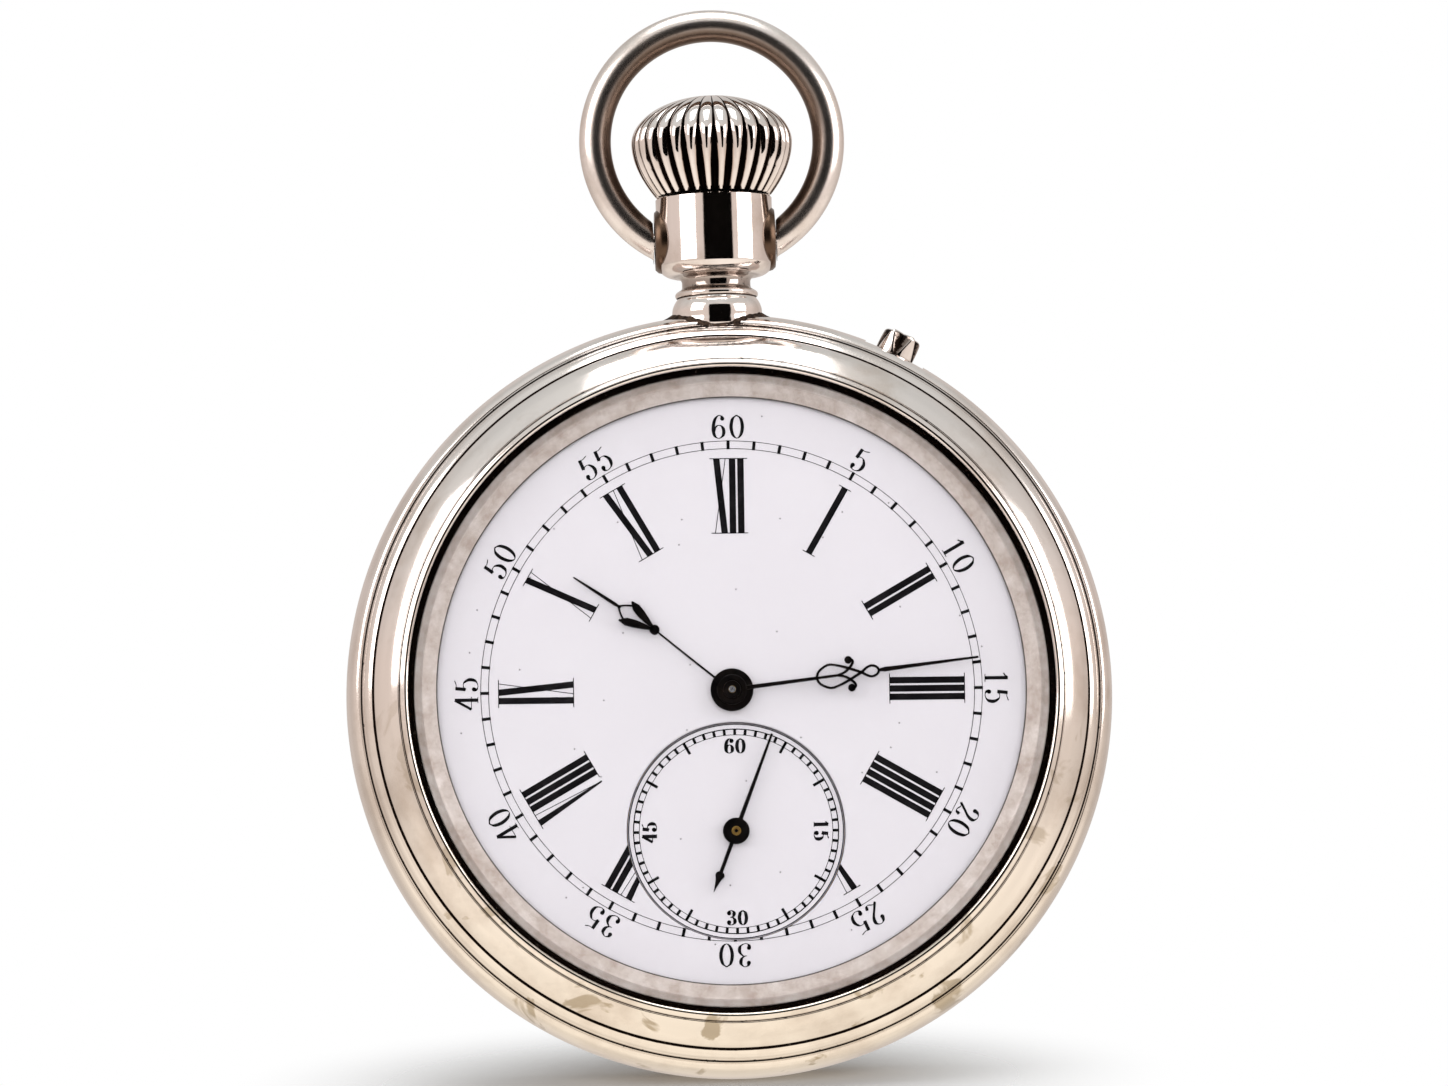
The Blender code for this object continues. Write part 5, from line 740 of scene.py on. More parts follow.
class WATCH_PG_colours(bpy.types.PropertyGroup):
    """Colours of the materials."""

    silver: colour("Silver", "Polished silver", "#EDE4DF")
    silver_aged: colour("Silver low reflection", "Painted warm reflection low on the case", "#F0E5D4")
    tarnish: colour("Tarnish", "Silver dulled by handling", "#B9A594")
    stain: colour("Stain", "Water stains on the silver", "#A8977C")
    patina_and_shade: colour("Patina", "Brown film on rubbed silver, and painted shade on the bow", "#5E4A3C")
    grime: colour("Grime", "Old dirt in grooves, painted shade in seams and corners", "#150D09")
    flange: colour("Flange", "Dull ring round the dial", "#F3E9E4")
    flange_dark: colour("Flange smudge", "Smudges on the dull ring", "#C6B5AB")
    enamel: colour("Enamel", "White of the dial", "#F1EEF4")
    enamel_shade: colour("Enamel shade", "Faint cast in the dial's white", "#ECE8EF")
    print: colour("Print", "Painted figures", "#0C0B0E")
    print_worn: colour("Worn print", "Thin places of the painted figures", "#1B191C")
    black_steel: colour("Black steel", "Hands", "#0B0A0C")
    black_worn: colour("Worn black steel", "Rubbed places of the hands", "#241B16")
    blue_steel: colour("Blued steel", "Screws and springs", "#2B3F7E")
    blue_deep: colour("Deep blued steel", "Darker places of blued steel", "#1B2550")
    gilt: colour("Gilt brass", "Plates, bridges and wheels", "#D9B56A")
    gilt_shade: colour("Gilt shade", "Darker places of the gilding", "#B98E48")
    steel: colour("Steel", "Winding wheels and pins", "#C6C7CB")
    steel_shade: colour("Steel shade", "Darker places of the steel", "#9EA1A8")
    ruby: colour("Ruby", "Bearing and impulse stones", "#A3122E")
    ruby_deep: colour("Deep ruby", "Darker places of the stones", "#6B0A20")
    # The floor's grey is a painted shadow round the watch; away from it the floor fades to white
    floor: colour("Floor", "Floor grey of the painted shadow", "#B6B6B6")


# Movement and case

class WATCH_OT_movement(bpy.types.Operator):
    """Finishes of the movement's own solids."""

    bl_idname = "watch.movement"
    bl_label = "Movement finishes"

    def execute(self, context):
        by_slot = {known.slot: short for short, known in reversed(FINISHES.items())}
        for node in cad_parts.values():
            for place in node.material_slots:
                known = place.material.name.split(".")[0] if place.material else ""
                if known not in by_slot:
                    raise RuntimeError(f"{node.name} has no known finish: {known}")
                place.material = finish(by_slot[known])
        return {"FINISHED"}


def band_side(groove):
    """Section of the band from its front seam to the back: a bead, a dirty line and two quarter ellipses."""
    bead_end = (SEAM_RADIUS + BEAD_WIDTH, CASE_FRONT - BEAD_DROP)
    shoulder, level = bead_end[0] + 2.4 * groove, bead_end[1] - 2.6 * groove
    side = [(SEAM_RADIUS - 0.1 * MM, CASE_FRONT, 1.0), (SEAM_RADIUS + 0.02 * MM, CASE_FRONT - 0.02 * MM, 1.0)]
    side += arc_points((SEAM_RADIUS + SEAM_EDGE, CASE_FRONT - SEAM_EDGE), bead_end, 0.12, 9)
    side += groove_points(bead_end[0] + 1.2 * groove, bead_end[1] - 1.2 * groove, groove, 1.0, 0.55)
    side += [(shoulder, level, 0.0)]
    turn = np.linspace(0.0, QUARTER, 15)[1:]
    side += [(shoulder + (CASE_RADIUS - shoulder) * math.sin(a), level * math.cos(a), 0.0) for a in turn]
    side += [(REAR_SEAT_RADIUS + (CASE_RADIUS - REAR_SEAT_RADIUS) * math.cos(a), CASE_BACK * math.sin(a), 0.0)
             for a in turn]
    return side


class WATCH_OT_case(bpy.types.Operator):
    """Band of the case with its seam, turned lines, pin seat and hinge knuckles."""

    bl_idname = "watch.case"
    bl_label = "Case band"

    def execute(self, context):
        side = band_side(context.scene.watch_sizes.groove)
        profile = [(CASE_BORE, CASE_FRONT, 1.0)] + side + [(CASE_BORE, CASE_BACK, 0.0)]
        reach = PIN_TOP + PIN_TRAVEL
        seat = PIN_FLAT - PIN_TRAVEL - SEAT_GAP
        flat = rod((PIN_FLAT_WIDTH / math.sqrt(2), PIN_FLAT, reach), sides=4)
        hole = rod((PIN_SHANK_RADIUS + RUN_GAP, PIN_TIP, seat), (PIN_HEAD_RADIUS + RUN_GAP, seat, reach))
        stem_hole = rod((STEM_RADIUS + RUN_GAP, PIN_TIP, SLEEVE_TOP))
        hinges = (BACK_HINGE, DUST_HINGE)
        rooms = [knuckle_room(h, h.radius, (h.case_length + SEAT_GAP) / 2 + h.cover_length) for h in hinges]
        band = carve(facing_dial(turned(profile)), on_stem(stem_hole),
                     on_pin(placed(flat, Matrix.Rotation(TURN / 8, 4, "Z"))), on_pin(hole), *rooms)
        add_piece("case_band", band, "silver", "case", "case_middle")
        own = [knuckles(h, (-h.case_length / 2, h.case_length / 2)) for h in hinges]
        add_piece("case_knuckles", joined(*own), "silver", "case")
        return {"FINISHED"}


class WATCH_OT_bezel(bpy.types.Operator):
    """Bezel with its lip and turned line, and the dull ring that frames the dial."""

    bl_idname = "watch.bezel"
    bl_label = "Bezel and dial ring"

    def execute(self, context):
        groove = context.scene.watch_sizes.groove
        base = CASE_FRONT + SEAT_GAP
        under_lip = BEZEL_FRONT - LIP_DEPTH
        ledge = CRYSTAL_EDGE_BACK - SEAT_GAP
        inside = LIP_RADIUS - CHANNEL
        wall = CRYSTAL_RADIUS + SEAT_GAP
        outer = SEAM_RADIUS - 0.13 * MM
        line = LIP_RADIUS + 0.6 * MM
        top = LIP_RADIUS + LIP_WIDTH
        # The lip's underside, the channel's walls and the bezel's foot at the seam are painted fully dark:
        # painted shade, with old dirt
        profile = [(LIP_RADIUS, under_lip, 1.0)]
        profile += arc_points((LIP_RADIUS, BEZEL_FRONT - 0.2 * MM), (top, BEZEL_FRONT), 0.2, 5)
        profile += arc_points((top + 0.06 * MM, BEZEL_FRONT), (line - groove, BEZEL_FRONT - 0.13 * MM),
                              0.05, 4)
        profile += groove_points(line, BEZEL_FRONT - 0.19 * MM, groove * 0.6, 0.6, 0.75)
        profile += arc_points((line + groove, BEZEL_FRONT - 0.22 * MM), (outer, base + 0.32 * MM), 0.06, 22)
        profile += [(outer, base + 0.2 * MM, 0.9), (outer, base + 0.1 * MM, 1.0),
                    (outer - 0.1 * MM, base, 1.0), (inside, base, 1.0), (inside, ledge, 1.0),
                    (wall, ledge, 1.0), (wall, under_lip, 1.0)]
        add_piece("bezel_ring", facing_dial(turned(profile)), "silver", "case", "bezel")

        rim = FLANGE_BACK + 0.2 * MM
        width = FLANGE_RADIUS - FLANGE_INNER
        step = FLANGE_INNER + 0.62 * width
        middle = rim + 0.62 * (FLANGE_FRONT - rim)
        # Its inner edge by the dial, its outer wall and its outer slope are painted darker: painted shade
        ring = [(FLANGE_INNER, FLANGE_BACK, 0.8), (FLANGE_INNER, rim, 0.9),
                (FLANGE_INNER + 0.07 * MM, rim + 0.02 * MM, 0.8),
                (FLANGE_INNER + 0.1 * MM, rim + 0.03 * MM, 0.0)]
        ring += arc_points((FLANGE_INNER + 0.2 * MM, rim + 0.07 * MM), (step, middle), -0.02, 6)
        ring += [(step + 0.04 * MM, middle + 0.05 * MM, 0.0), (step + 0.1 * MM, middle + 0.05 * MM, 0.2)]
        ring += arc_points((step + 0.2 * MM, middle + 0.06 * MM),
                           (FLANGE_RADIUS - 0.1 * MM, FLANGE_FRONT - 0.04 * MM), 0.0, 4, 0.3)
        ring += [(FLANGE_RADIUS, FLANGE_FRONT, 0.8), (FLANGE_RADIUS, FLANGE_BACK, 0.8)]
        add_piece("dial_ring", facing_dial(turned(ring)), "dull", "case", "dial_flange")
        return {"FINISHED"}


def dome(radius, edge, apex, shares):
    """Profile of a dome: it falls from its apex to its edge by the square of the share of its radius."""
    return [(radius * s, edge + (apex - edge) * (1 - s * s), 0.0) for s in shares]


class WATCH_OT_crystal(bpy.types.Operator):
    """Domed watch glass."""

    bl_idname = "watch.crystal"
    bl_label = "Crystal"

    def execute(self, context):
        top = CRYSTAL_EDGE_BACK + CRYSTAL_EDGE
        shares = np.linspace(1.0, 0.0, 24)
        over = LIP_RADIUS - SEAT_GAP
        profile = [(CRYSTAL_RADIUS, CRYSTAL_EDGE_BACK, 0.0), (CRYSTAL_RADIUS, top, 0.0)]
        profile += dome(over, top, CRYSTAL_FRONT, shares)
        profile += dome(over - CHANNEL, CRYSTAL_EDGE_BACK, CRYSTAL_FRONT - CRYSTAL_THICKNESS, shares[::-1])
        add_piece("watch_glass", facing_dial(turned(profile, RING_SIDES // 2)), "glass", "case", "crystal")
        return {"FINISHED"}


def add_cover(name, profile, hinge):
    """Lid cut out for the band's knuckle, and its own two knuckles."""
    near = hinge.case_length / 2 + SEAT_GAP
    end = near + hinge.cover_length
    body = f"{name}_cover"
    lid = carve(facing_dial(turned(profile)), knuckle_room(hinge, hinge.pin, end))
    add_piece(f"{name}_lid", lid, "silver", body, body)
    add_piece(f"{name}_knuckles", knuckles(hinge, (near, end), (-end, -near)), "silver", body)


class WATCH_OT_covers(bpy.types.Operator):
    """Hinged back and hinged inner back with their knuckles."""

    bl_idname = "watch.covers"
    bl_label = "Back covers"

    def execute(self, context):
        rim = CASE_BACK - SEAT_GAP
        edge = 0.04 * MM
        low = rim - BACK_DROP
        roof = BACK_OUTSIDE + BACK_WALL
        shares = np.linspace(0.0, 1.0, 24)[1:]
        # The shoulder is a quarter of an ellipse and the back a parabola that ends in a flat
        back = [(BACK_RIM_RADIUS - 0.05 * MM, rim, 1.0)]
        back += [(BACK_SHOULDER + (BACK_RIM_RADIUS - BACK_SHOULDER) * math.cos(a),
                  rim - edge - (BACK_DROP - edge) * math.sin(a), 0.0) for a in np.linspace(0.0, QUARTER, 12)]
        back += [(BACK_SHOULDER + (BACK_FLAT - BACK_SHOULDER) * s,
                  low + (BACK_OUTSIDE - low) * (1 - (1 - s) ** 2), 0.0) for s in shares]
        back += [(0.0, BACK_OUTSIDE, 0.0), (0.0, roof, 0.0), (BACK_FLAT, roof, 0.0)]
        back += [(BACK_FLAT + (BACK_SHOULDER - BACK_WALL / 2 - BACK_FLAT) * s,
                  roof + (low + BACK_WALL - roof) * s * s, 0.0) for s in shares]
        back += [(BACK_RIM_RADIUS - BACK_WALL, rim, 0.6)]
        add_cover("back", back, BACK_HINGE)

        shares = np.linspace(1.0, 0.0, 22)
        under = rim - DUST_WALL
        dust = [(DUST_RIM_RADIUS, rim, 0.6)]
        dust += dome(DUST_RIM_RADIUS, under, under - DUST_BULGE, shares)
        dust += dome(CASE_BORE, rim, rim - DUST_BULGE, shares[::-1])
        add_cover("dust", dust, DUST_HINGE)
        return {"FINISHED"}


# Pendant, bow, crown and set pin

class WATCH_OT_pendant(bpy.types.Operator):
    """Pendant with its bead, neck, sleeve and the bosses that take the bow."""

    bl_idname = "watch.pendant"
    bl_label = "Pendant"

    def execute(self, context):
        low = CASE_RADIUS + 1.25 * MM
        top = low + COLLAR_HEIGHT
        bore = STEM_RADIUS + RUN_GAP
        bead, neck = COLLAR_RADIUS, NECK_RADIUS
        sleeve = SLEEVE_RADIUS - SLEEVE_CHAMFER
        # Painted shade darkens the foot's root, the groove over the foot, the cove of the neck, and the
        # sleeve's top and bore under the crown
        outside = [(FOOT_ROOT, PENDANT_LOW, 1.0), (FOOT_ROOT, CASE_RADIUS - 1.35 * MM, 1.0)]
        outside += arc_points((FOOT_ROOT + 0.06 * MM, CASE_RADIUS - 1.25 * MM),
                              (FOOT_RADIUS, CASE_RADIUS - 0.3 * MM), -0.16, 8)
        outside += arc_points((FOOT_RADIUS, CASE_RADIUS - 0.2 * MM), (bead - 0.1 * MM, low - 0.08 * MM),
                              -0.12, 10)
        outside += [(bead - 0.12 * MM, low, 1.0), (bead - 0.02 * MM, low + 0.06 * MM, 0.0)]
        outside += arc_points((bead, low + 0.1 * MM), (bead - 0.12 * MM, top - 0.04 * MM), -0.2, 6)
        outside += [(bead - 0.25 * MM, top, 0.5)]
        # The neck is a cove: it narrows, runs straight and widens again under the sleeve
        outside += arc_points((neck + 0.24 * MM, top + 0.03 * MM), (neck, top + 0.3 * MM), 0.15, 6, 0.36)
        outside += arc_points((neck, SLEEVE_LOW - 0.4 * MM), (neck + 0.4 * MM, SLEEVE_LOW - 0.04 * MM),
                              0.18, 8, 0.3)
        outside += [(neck + 0.5 * MM, SLEEVE_LOW, 0.4), (sleeve - 0.15 * MM, SLEEVE_LOW + 0.02 * MM, 0.0)]
        outside += arc_points((sleeve, SLEEVE_LOW + 0.06 * MM),
                              (SLEEVE_RADIUS - 0.04 * MM, SLEEVE_LOW + SLEEVE_CHAMFER), -0.1, 6)
        outside += [(SLEEVE_RADIUS, SLEEVE_LOW + SLEEVE_CHAMFER + 0.08 * MM, 0.0),
                    (SLEEVE_RADIUS, SLEEVE_TOP - 0.1 * MM, 0.0), (SLEEVE_RADIUS - 0.1 * MM, SLEEVE_TOP, 0.6)]
        profile = outside + [(bore, SLEEVE_TOP, 0.8), (bore, PENDANT_LOW, 0.0)]
        hole = BOW_PIVOT_RADIUS + RUN_GAP
        rooms = on_bow_pivots(rod((hole, BOW_PIVOT_TIP - SEAT_GAP, BOW_END_X)))
        pendant = carve(on_stem(turned(profile, 2 * NECK_SIDES)), *rooms)
        add_piece("pendant_neck", pendant, "bright", "case", "pendant")
        # A dark collar stands for the shade and old dirt in the corner where the pendant meets the band
        groove = context.scene.watch_sizes.groove
        collar = corner_shade_collar(FOOT_ROOT - 0.2 * MM, FOOT_RADIUS + 0.22 * MM, groove)
        add_piece("pendant_join", collar, "dirt", "case")
        # The bosses are painted brown all over: painted shade between the sleeve and the bow's ends
        inner, tip = SLEEVE_RADIUS - 2.0 * MM, BOW_END_X - 0.08 * MM
        boss = turned([(hole, inner, 1.0), (BOSS_RADIUS, inner, 1.0), (BOSS_RADIUS, tip - 2 * BOSS_RIM, 1.0),
                       (BOSS_RADIUS - 0.06 * MM, tip - BOSS_RIM, 1.0),
                       (BOSS_RADIUS - BOSS_RIM, tip - 0.04 * MM, 0.8), (hole + BOSS_RIM, tip, 0.8),
                       (hole, tip - BOSS_RIM, 1.0)], NECK_SIDES)
        add_piece("bow_bosses", joined(*on_bow_pivots(boss)), "satin", "case")
        return {"FINISHED"}


def corner_shade_collar(inner, outer, groove):
    """Dark collar where the pendant meets the band, painted shade and old dirt in their corner: a low hump
    carried round the curve in which they cross.

    At angle a round the stem the collar runs from its inner to its outer radius along (cos a, sin a), and
    lies on the band there, raised by a lift that falls outwards. Three sines make its outer edge ragged.
    """
    turn = np.linspace(0.0, TURN, 145)[:, None]
    share = np.array([0.0, 0.2, 0.4, 0.6, 0.8, 1.0, 1.0, 0.5, 0.0, 0.0])[None, :]
    # The painted shade grows higher and wider towards the two sides
    height = (0.3 + 0.2 * np.cos(turn) ** 2) * MM
    lift = height * np.array([1.0, 0.88, 0.7, 0.45, 0.2, 0.03, -0.3, -0.3, -0.3, 1.0])[None, :]
    ragged = 0.07 * MM * (np.sin(7 * turn) + np.sin(17 * turn + 1.0) + np.sin(31 * turn + 2.0))
    radius = inner + (outer + 0.35 * MM * np.cos(turn) ** 2 + ragged - inner) * share
    x, h = radius * np.cos(turn), radius * np.sin(turn)
    rows = np.array(band_side(groove))[::-1]
    reach = np.interp(h, rows[:, 1], rows[:, 0])
    points = np.stack([x, STEM_Y - h, np.sqrt(reach ** 2 - x ** 2) + lift], axis=-1)
    uv = np.stack(np.broadcast_arrays(turn * outer, share * outer), axis=-1)
    return skin(points, uv, np.clip(1.7 - 1.4 * share, 0.0, 1.0))


class WATCH_OT_bow(bpy.types.Operator):
    """Bow of round wire with its two pivots."""

    bl_idname = "watch.bow"
    bl_label = "Bow"

    def execute(self, context):
        wire_radius, ring, centre = BOW_WIRE, BOW_REACH - BOW_WIRE, BOW_TOP - BOW_REACH
        steps, sides = 160, 48
        # A circle carried round a ring that is open below, and cut upright where it meets the pendant
        open_half = math.asin((BOW_END_X - wire_radius) / ring)
        way = np.linspace(open_half, TURN - open_half, steps)[:, None] - QUARTER
        turn = np.linspace(0.0, TURN, sides + 1)[None, :]
        radius = ring + wire_radius * np.cos(turn)
        grid = np.broadcast_arrays(radius * np.cos(way), STEM_Y + wire_radius * np.sin(turn),
                                   centre + radius * np.sin(way))
        points = np.stack(grid, axis=-1)
        side = np.where(np.arange(steps)[:, None] < steps / 2, 1.0, -1.0)
        clamped = side * np.maximum(side * points[..., 0], BOW_END_X)
        points[..., 0] = np.where(points[..., 2] < centre, clamped, points[..., 0])
        first, last = (np.broadcast_to(row.mean(axis=0), row.shape)[None] for row in (points[0], points[-1]))
        points = np.concatenate([first, points, last])
        u, v = np.meshgrid(turn[0] * wire_radius, np.linspace(0.0, TURN * ring, steps + 2))
        # Painted shade: the wire's inner half is painted brown
        painted_inner_shade = np.clip(0.08 - 0.9 * np.cos(turn), 0.0, 0.8)
        shape = skin(points, np.stack([v, u], axis=-1), painted_inner_shade)
        stub = tube(0.0, BOW_PIVOT_RADIUS, BOW_PIVOT_TIP, BOW_END_X + 0.6 * MM, 0.05 * MM, 32)
        add_piece("bow_ring", joined(shape, *on_bow_pivots(stub)), "satin", "bow", "bow")
        return {"FINISHED"}


class WATCH_OT_crown(bpy.types.Operator):
    """Ribbed onion crown."""

    bl_idname = "watch.crown"
    bl_label = "Crown"

    def execute(self, context):
        sizes = context.scene.watch_sizes
        height = CROWN_TOP - CROWN_BOTTOM
        waist_share, swell, steps, sides = 0.42, 1.9, 110, sizes.rib_count * 24
        # Share s runs up the side. Below the waist the radius falls by a power of the distance from it,
        # above it the side is a quarter of an ellipse.
        # Round it the radius falls between ribs by depth times (1 - |cos| to a power): narrow lines on the
        # dome, wide dark valleys below the waist.
        s = np.linspace(0.0, 1.0, steps)[:, None]
        low = s < waist_share
        rise = np.clip(s / waist_share, 0.0, 1.0)
        bend = np.clip((s - waist_share) / (1 - waist_share), 0.0, 1.0) * QUARTER
        radius = np.where(low, CROWN_RADIUS - (CROWN_RADIUS - CROWN_FOOT) * (1.0 - rise) ** swell,
                          CROWN_RADIUS * np.cos(bend))
        level = CROWN_BOTTOM + np.where(low, CROWN_WAIST * rise,
                                        CROWN_WAIST + (height - CROWN_WAIST) * np.sin(bend))
        depth = sizes.rib_depth * np.interp(s, [0.0, 0.2, 0.42, 0.6, 0.85, 0.97, 1.0],
                                            [0.8, 1.0, 0.75, 0.45, 0.3, 0.2, 0.0])
        power = np.interp(s, [0.0, 0.25, 0.45, 0.65, 1.0], [2.0, 1.3, 0.7, 0.5, 0.5])
        # The valleys are painted dark: most below the waist, less up the dome and not at its top
        dark = np.interp(s, [0.0, 0.15, 0.35, 0.5, 0.7, 0.95, 1.0], [0.76, 0.72, 0.56, 0.34, 0.25, 0.22, 0.0])
        angle = np.linspace(0.0, TURN, sides + 1) + QUARTER
        rib = np.abs(np.cos(angle * sizes.rib_count / 2))[None, :]
        ribbed = around(radius - depth * (1.0 - rib ** power), level, angle)
        bore = np.array([[0.0], [STEM_RADIUS + SEAT_GAP], [STEM_RADIUS + SEAT_GAP]])
        inside = around(bore, np.array([[CROWN_BORE_TOP], [CROWN_BORE_TOP], [CROWN_BOTTOM]]), angle)
        points = np.concatenate([inside, ribbed])
        dirt = np.concatenate([np.ones((3, sides + 1)), np.clip((dark - rib) / 0.12, 0.0, 1.0)])
        u, v = np.meshgrid(angle * CROWN_RADIUS, np.arange(len(points)) * height / steps)
        shape = skin(points, np.stack([v, u], axis=-1), dirt)
        add_piece("crown_knob", on_stem(shape), "bright", "crown", "crown")
        return {"FINISHED"}


class WATCH_OT_set_pin(bpy.types.Operator):
    """Set pin beside the pendant, its head fluted."""

    bl_idname = "watch.set_pin"
    bl_label = "Set pin"

    def execute(self, context):
        foot = PIN_FLAT + 0.12 * MM
        # The side rises straight and turns in round a quarter of an ellipse
        rise = np.linspace(foot, PIN_TOP - PIN_EDGE, 14)
        bend = np.linspace(0.0, QUARTER, 8)[1:]
        radius = np.concatenate([[0.0, PIN_SHANK_RADIUS, PIN_SHANK_RADIUS, PIN_HEAD_RADIUS - 0.03 * MM],
                                 np.full(len(rise), PIN_HEAD_RADIUS),
                                 PIN_HEAD_RADIUS - PIN_EDGE * (1 - np.cos(bend)), [0.0, 0.0]])[:, None]
        level = np.concatenate([[PIN_TIP, PIN_TIP, PIN_FLAT, PIN_FLAT], rise,
                                PIN_TOP - PIN_EDGE * (1 - np.sin(bend)), [PIN_TOP, PIN_TIP]])[:, None]
        angle = np.linspace(0.0, TURN, 241) - QUARTER
        # Flutes: V cuts whose width and depth grow towards the top, measured from each flute's middle
        share = np.clip((level - foot) / (PIN_TOP - foot), 0.0, 1.0)
        aside = np.abs((angle * FLUTES / TURN + FLUTES / 4 + 0.5) % 1.0 - 0.5)[None, :]
        valley = np.clip(1.0 - aside / (0.08 + 0.4 * share), 0.0, 1.0)
        flute = FLUTE_DEPTH * share * valley * (radius > PIN_SHANK_RADIUS)
        points = around(np.maximum(radius - flute, 0.0), level, angle)
        # Painted shade darkens the head's foot on the flat, and the flutes' valleys are painted dark
        low = np.clip(1.6 - (level - PIN_FLAT) / (0.18 * MM), 0.0, 1.0)
        grime = np.clip(np.maximum(low, 0.95 * np.sqrt(valley) * (share < 0.95)), 0.0, 1.0)
        u, v = np.meshgrid(angle * PIN_HEAD_RADIUS, along(np.hstack([radius, level])))
        shape = skin(points, np.stack([u, v], axis=-1), grime)
        add_piece("set_pin_head", on_pin(shape), "bright", "set_pin", "set_pin")
        return {"FINISHED"}


# Dials and print

def dial_fall(radius):
    """How far the enamel falls away at a radius: not inside the roll's start, then by the share squared."""
    share = np.clip((radius - ROLL_START) / (DIAL_RADIUS - ROLL_START), 0.0, 1.0)
    return ROLL_DROP * share ** 2


class WATCH_OT_dials(bpy.types.Operator):
    """Enamel dial with its rolled edge, and the sunk seconds dial."""

    bl_idname = "watch.dials"
    bl_label = "Dials"

    def execute(self, context):
        radii = np.concatenate([np.linspace(0.0, ROLL_START, 12),
                                np.linspace(ROLL_START, DIAL_RADIUS - DIAL_EDGE, 14)[1:]])
        profile = [(r, DIAL_FRONT - dial_fall(r), 0.0) for r in radii.tolist()]
        # The rim under the ring is painted a little dark: painted shade
        profile += [(DIAL_RADIUS, DIAL_FRONT - dial_fall(DIAL_RADIUS) - DIAL_EDGE, 0.3),
                    (DIAL_RADIUS, DIAL_BACK, 0.3), (0.0, DIAL_BACK, 0.0)]
        under, over = DIAL_BACK - MM, DIAL_FRONT + MM
        hole = SECONDS_RADIUS + SEAT_GAP
        sink = rod((hole, under, DIAL_FRONT - SINK_BEVEL), (hole + SINK_BEVEL, DIAL_FRONT, over),
                   sides=SINK_SIDES)
        dial = carve(facing_dial(turned(profile)), facing_dial(sink, SECONDS_Z),
                     facing_dial(rod((DIAL_HOLE, under, over))))
        add_piece("enamel_dial", dial, "enamel", "case", "dial")
        # The seconds dial's edge by the sunk wall is painted darker: painted shade
        plate = [(SECONDS_ARBOR, SECONDS_BACK, 0.0), (SECONDS_RADIUS, SECONDS_BACK, 0.0),
                 (SECONDS_RADIUS, SECONDS_FRONT - SECONDS_LIP, 0.6),
                 (SECONDS_RADIUS - SECONDS_LIP, SECONDS_FRONT, 0.0), (SECONDS_ARBOR, SECONDS_FRONT, 0.0)]
        add_piece("enamel_seconds_dial", facing_dial(turned(plate, SINK_SIDES), SECONDS_Z), "enamel", "case",
                  "seconds_dial")
        return {"FINISHED"}


# Each figure's strokes through points of a unit cell, and its ball ends (x, z)
FIGURES = {
    "0": ([[(0.30, 0.99), (0.13, 0.84), (0.06, 0.50), (0.13, 0.16), (0.30, 0.01), (0.47, 0.16), (0.54, 0.50),
            (0.47, 0.84), (0.30, 0.99)]], []),
    "1": ([[(0.06, 0.80), (0.18, 0.88), (0.27, 0.98)], [(0.27, 0.99), (0.27, 0.50), (0.27, 0.02)],
           [(0.10, 0.015), (0.27, 0.015), (0.44, 0.015)]], []),
    "2": ([[(0.09, 0.74), (0.16, 0.93), (0.32, 0.99), (0.48, 0.87), (0.46, 0.64), (0.28, 0.36), (0.07, 0.05)],
           [(0.07, 0.04), (0.20, 0.12), (0.38, 0.04), (0.48, 0.06), (0.54, 0.22)]], [(0.11, 0.75)]),
    "3": ([[(0.10, 0.82), (0.17, 0.95), (0.31, 0.99), (0.45, 0.86), (0.43, 0.66), (0.30, 0.54), (0.20, 0.53)],
           [(0.20, 0.53), (0.36, 0.52), (0.50, 0.36), (0.48, 0.13), (0.29, 0.01), (0.13, 0.05),
            (0.08, 0.20)]], [(0.12, 0.82), (0.11, 0.19)]),
    "4": ([[(0.40, 1.00), (0.20, 0.64), (0.00, 0.29)], [(0.00, 0.29), (0.28, 0.29), (0.54, 0.29)],
           [(0.40, 1.00), (0.40, 0.50), (0.40, 0.02)], [(0.27, 0.015), (0.40, 0.015), (0.53, 0.015)]], []),
    "5": ([[(0.14, 0.97), (0.12, 0.75), (0.09, 0.53)], [(0.14, 0.955), (0.28, 0.93), (0.48, 1.00)],
           [(0.09, 0.53), (0.20, 0.62), (0.38, 0.60), (0.51, 0.38), (0.46, 0.12), (0.28, 0.01), (0.12, 0.04),
            (0.07, 0.18)]], [(0.10, 0.18)]),
    "6": ([[(0.46, 0.85), (0.40, 0.96), (0.28, 0.98), (0.13, 0.80), (0.06, 0.44), (0.12, 0.12), (0.29, 0.01),
            (0.46, 0.11), (0.51, 0.30), (0.44, 0.50), (0.29, 0.57), (0.14, 0.46), (0.08, 0.30)]],
          [(0.45, 0.85)]),
}
FIGURE_PITCH = 0.76
FIGURE_CELL = 0.6
FIGURE_SWELL = 2.5
FIGURE_STROKE = 0.24 * MM
BALL_RADIUS = 0.62
POINT_SAMPLES = 5


def figure(text, height, thick, thin, low, high):
    """Figures side by side about the origin: strokes swell from thin where level to thick where upright."""
    shapes = []
    start = -(FIGURE_PITCH * (len(text) - 1) + FIGURE_CELL) / 2
    for k, character in enumerate(text):
        strokes, balls = FIGURES[character]
        shift = np.array([start + FIGURE_PITCH * k, -0.5])
        for stroke in strokes:
            path = smooth_path(stroke, POINT_SAMPLES * len(stroke)) + shift
            way = np.gradient(path, axis=0)
            upright = np.abs(way[:, 1]) / np.maximum(np.hypot(way[:, 0], way[:, 1]), WELD)
            half = (thin + (thick - thin) * upright ** FIGURE_SWELL) / 2
            shapes.append(slab(path * height, half, low, high))
        for ball in balls:
            shapes.append(disc((np.array(ball) + shift) * height, thick * BALL_RADIUS, low, high, 12))
    return joined(*shapes)


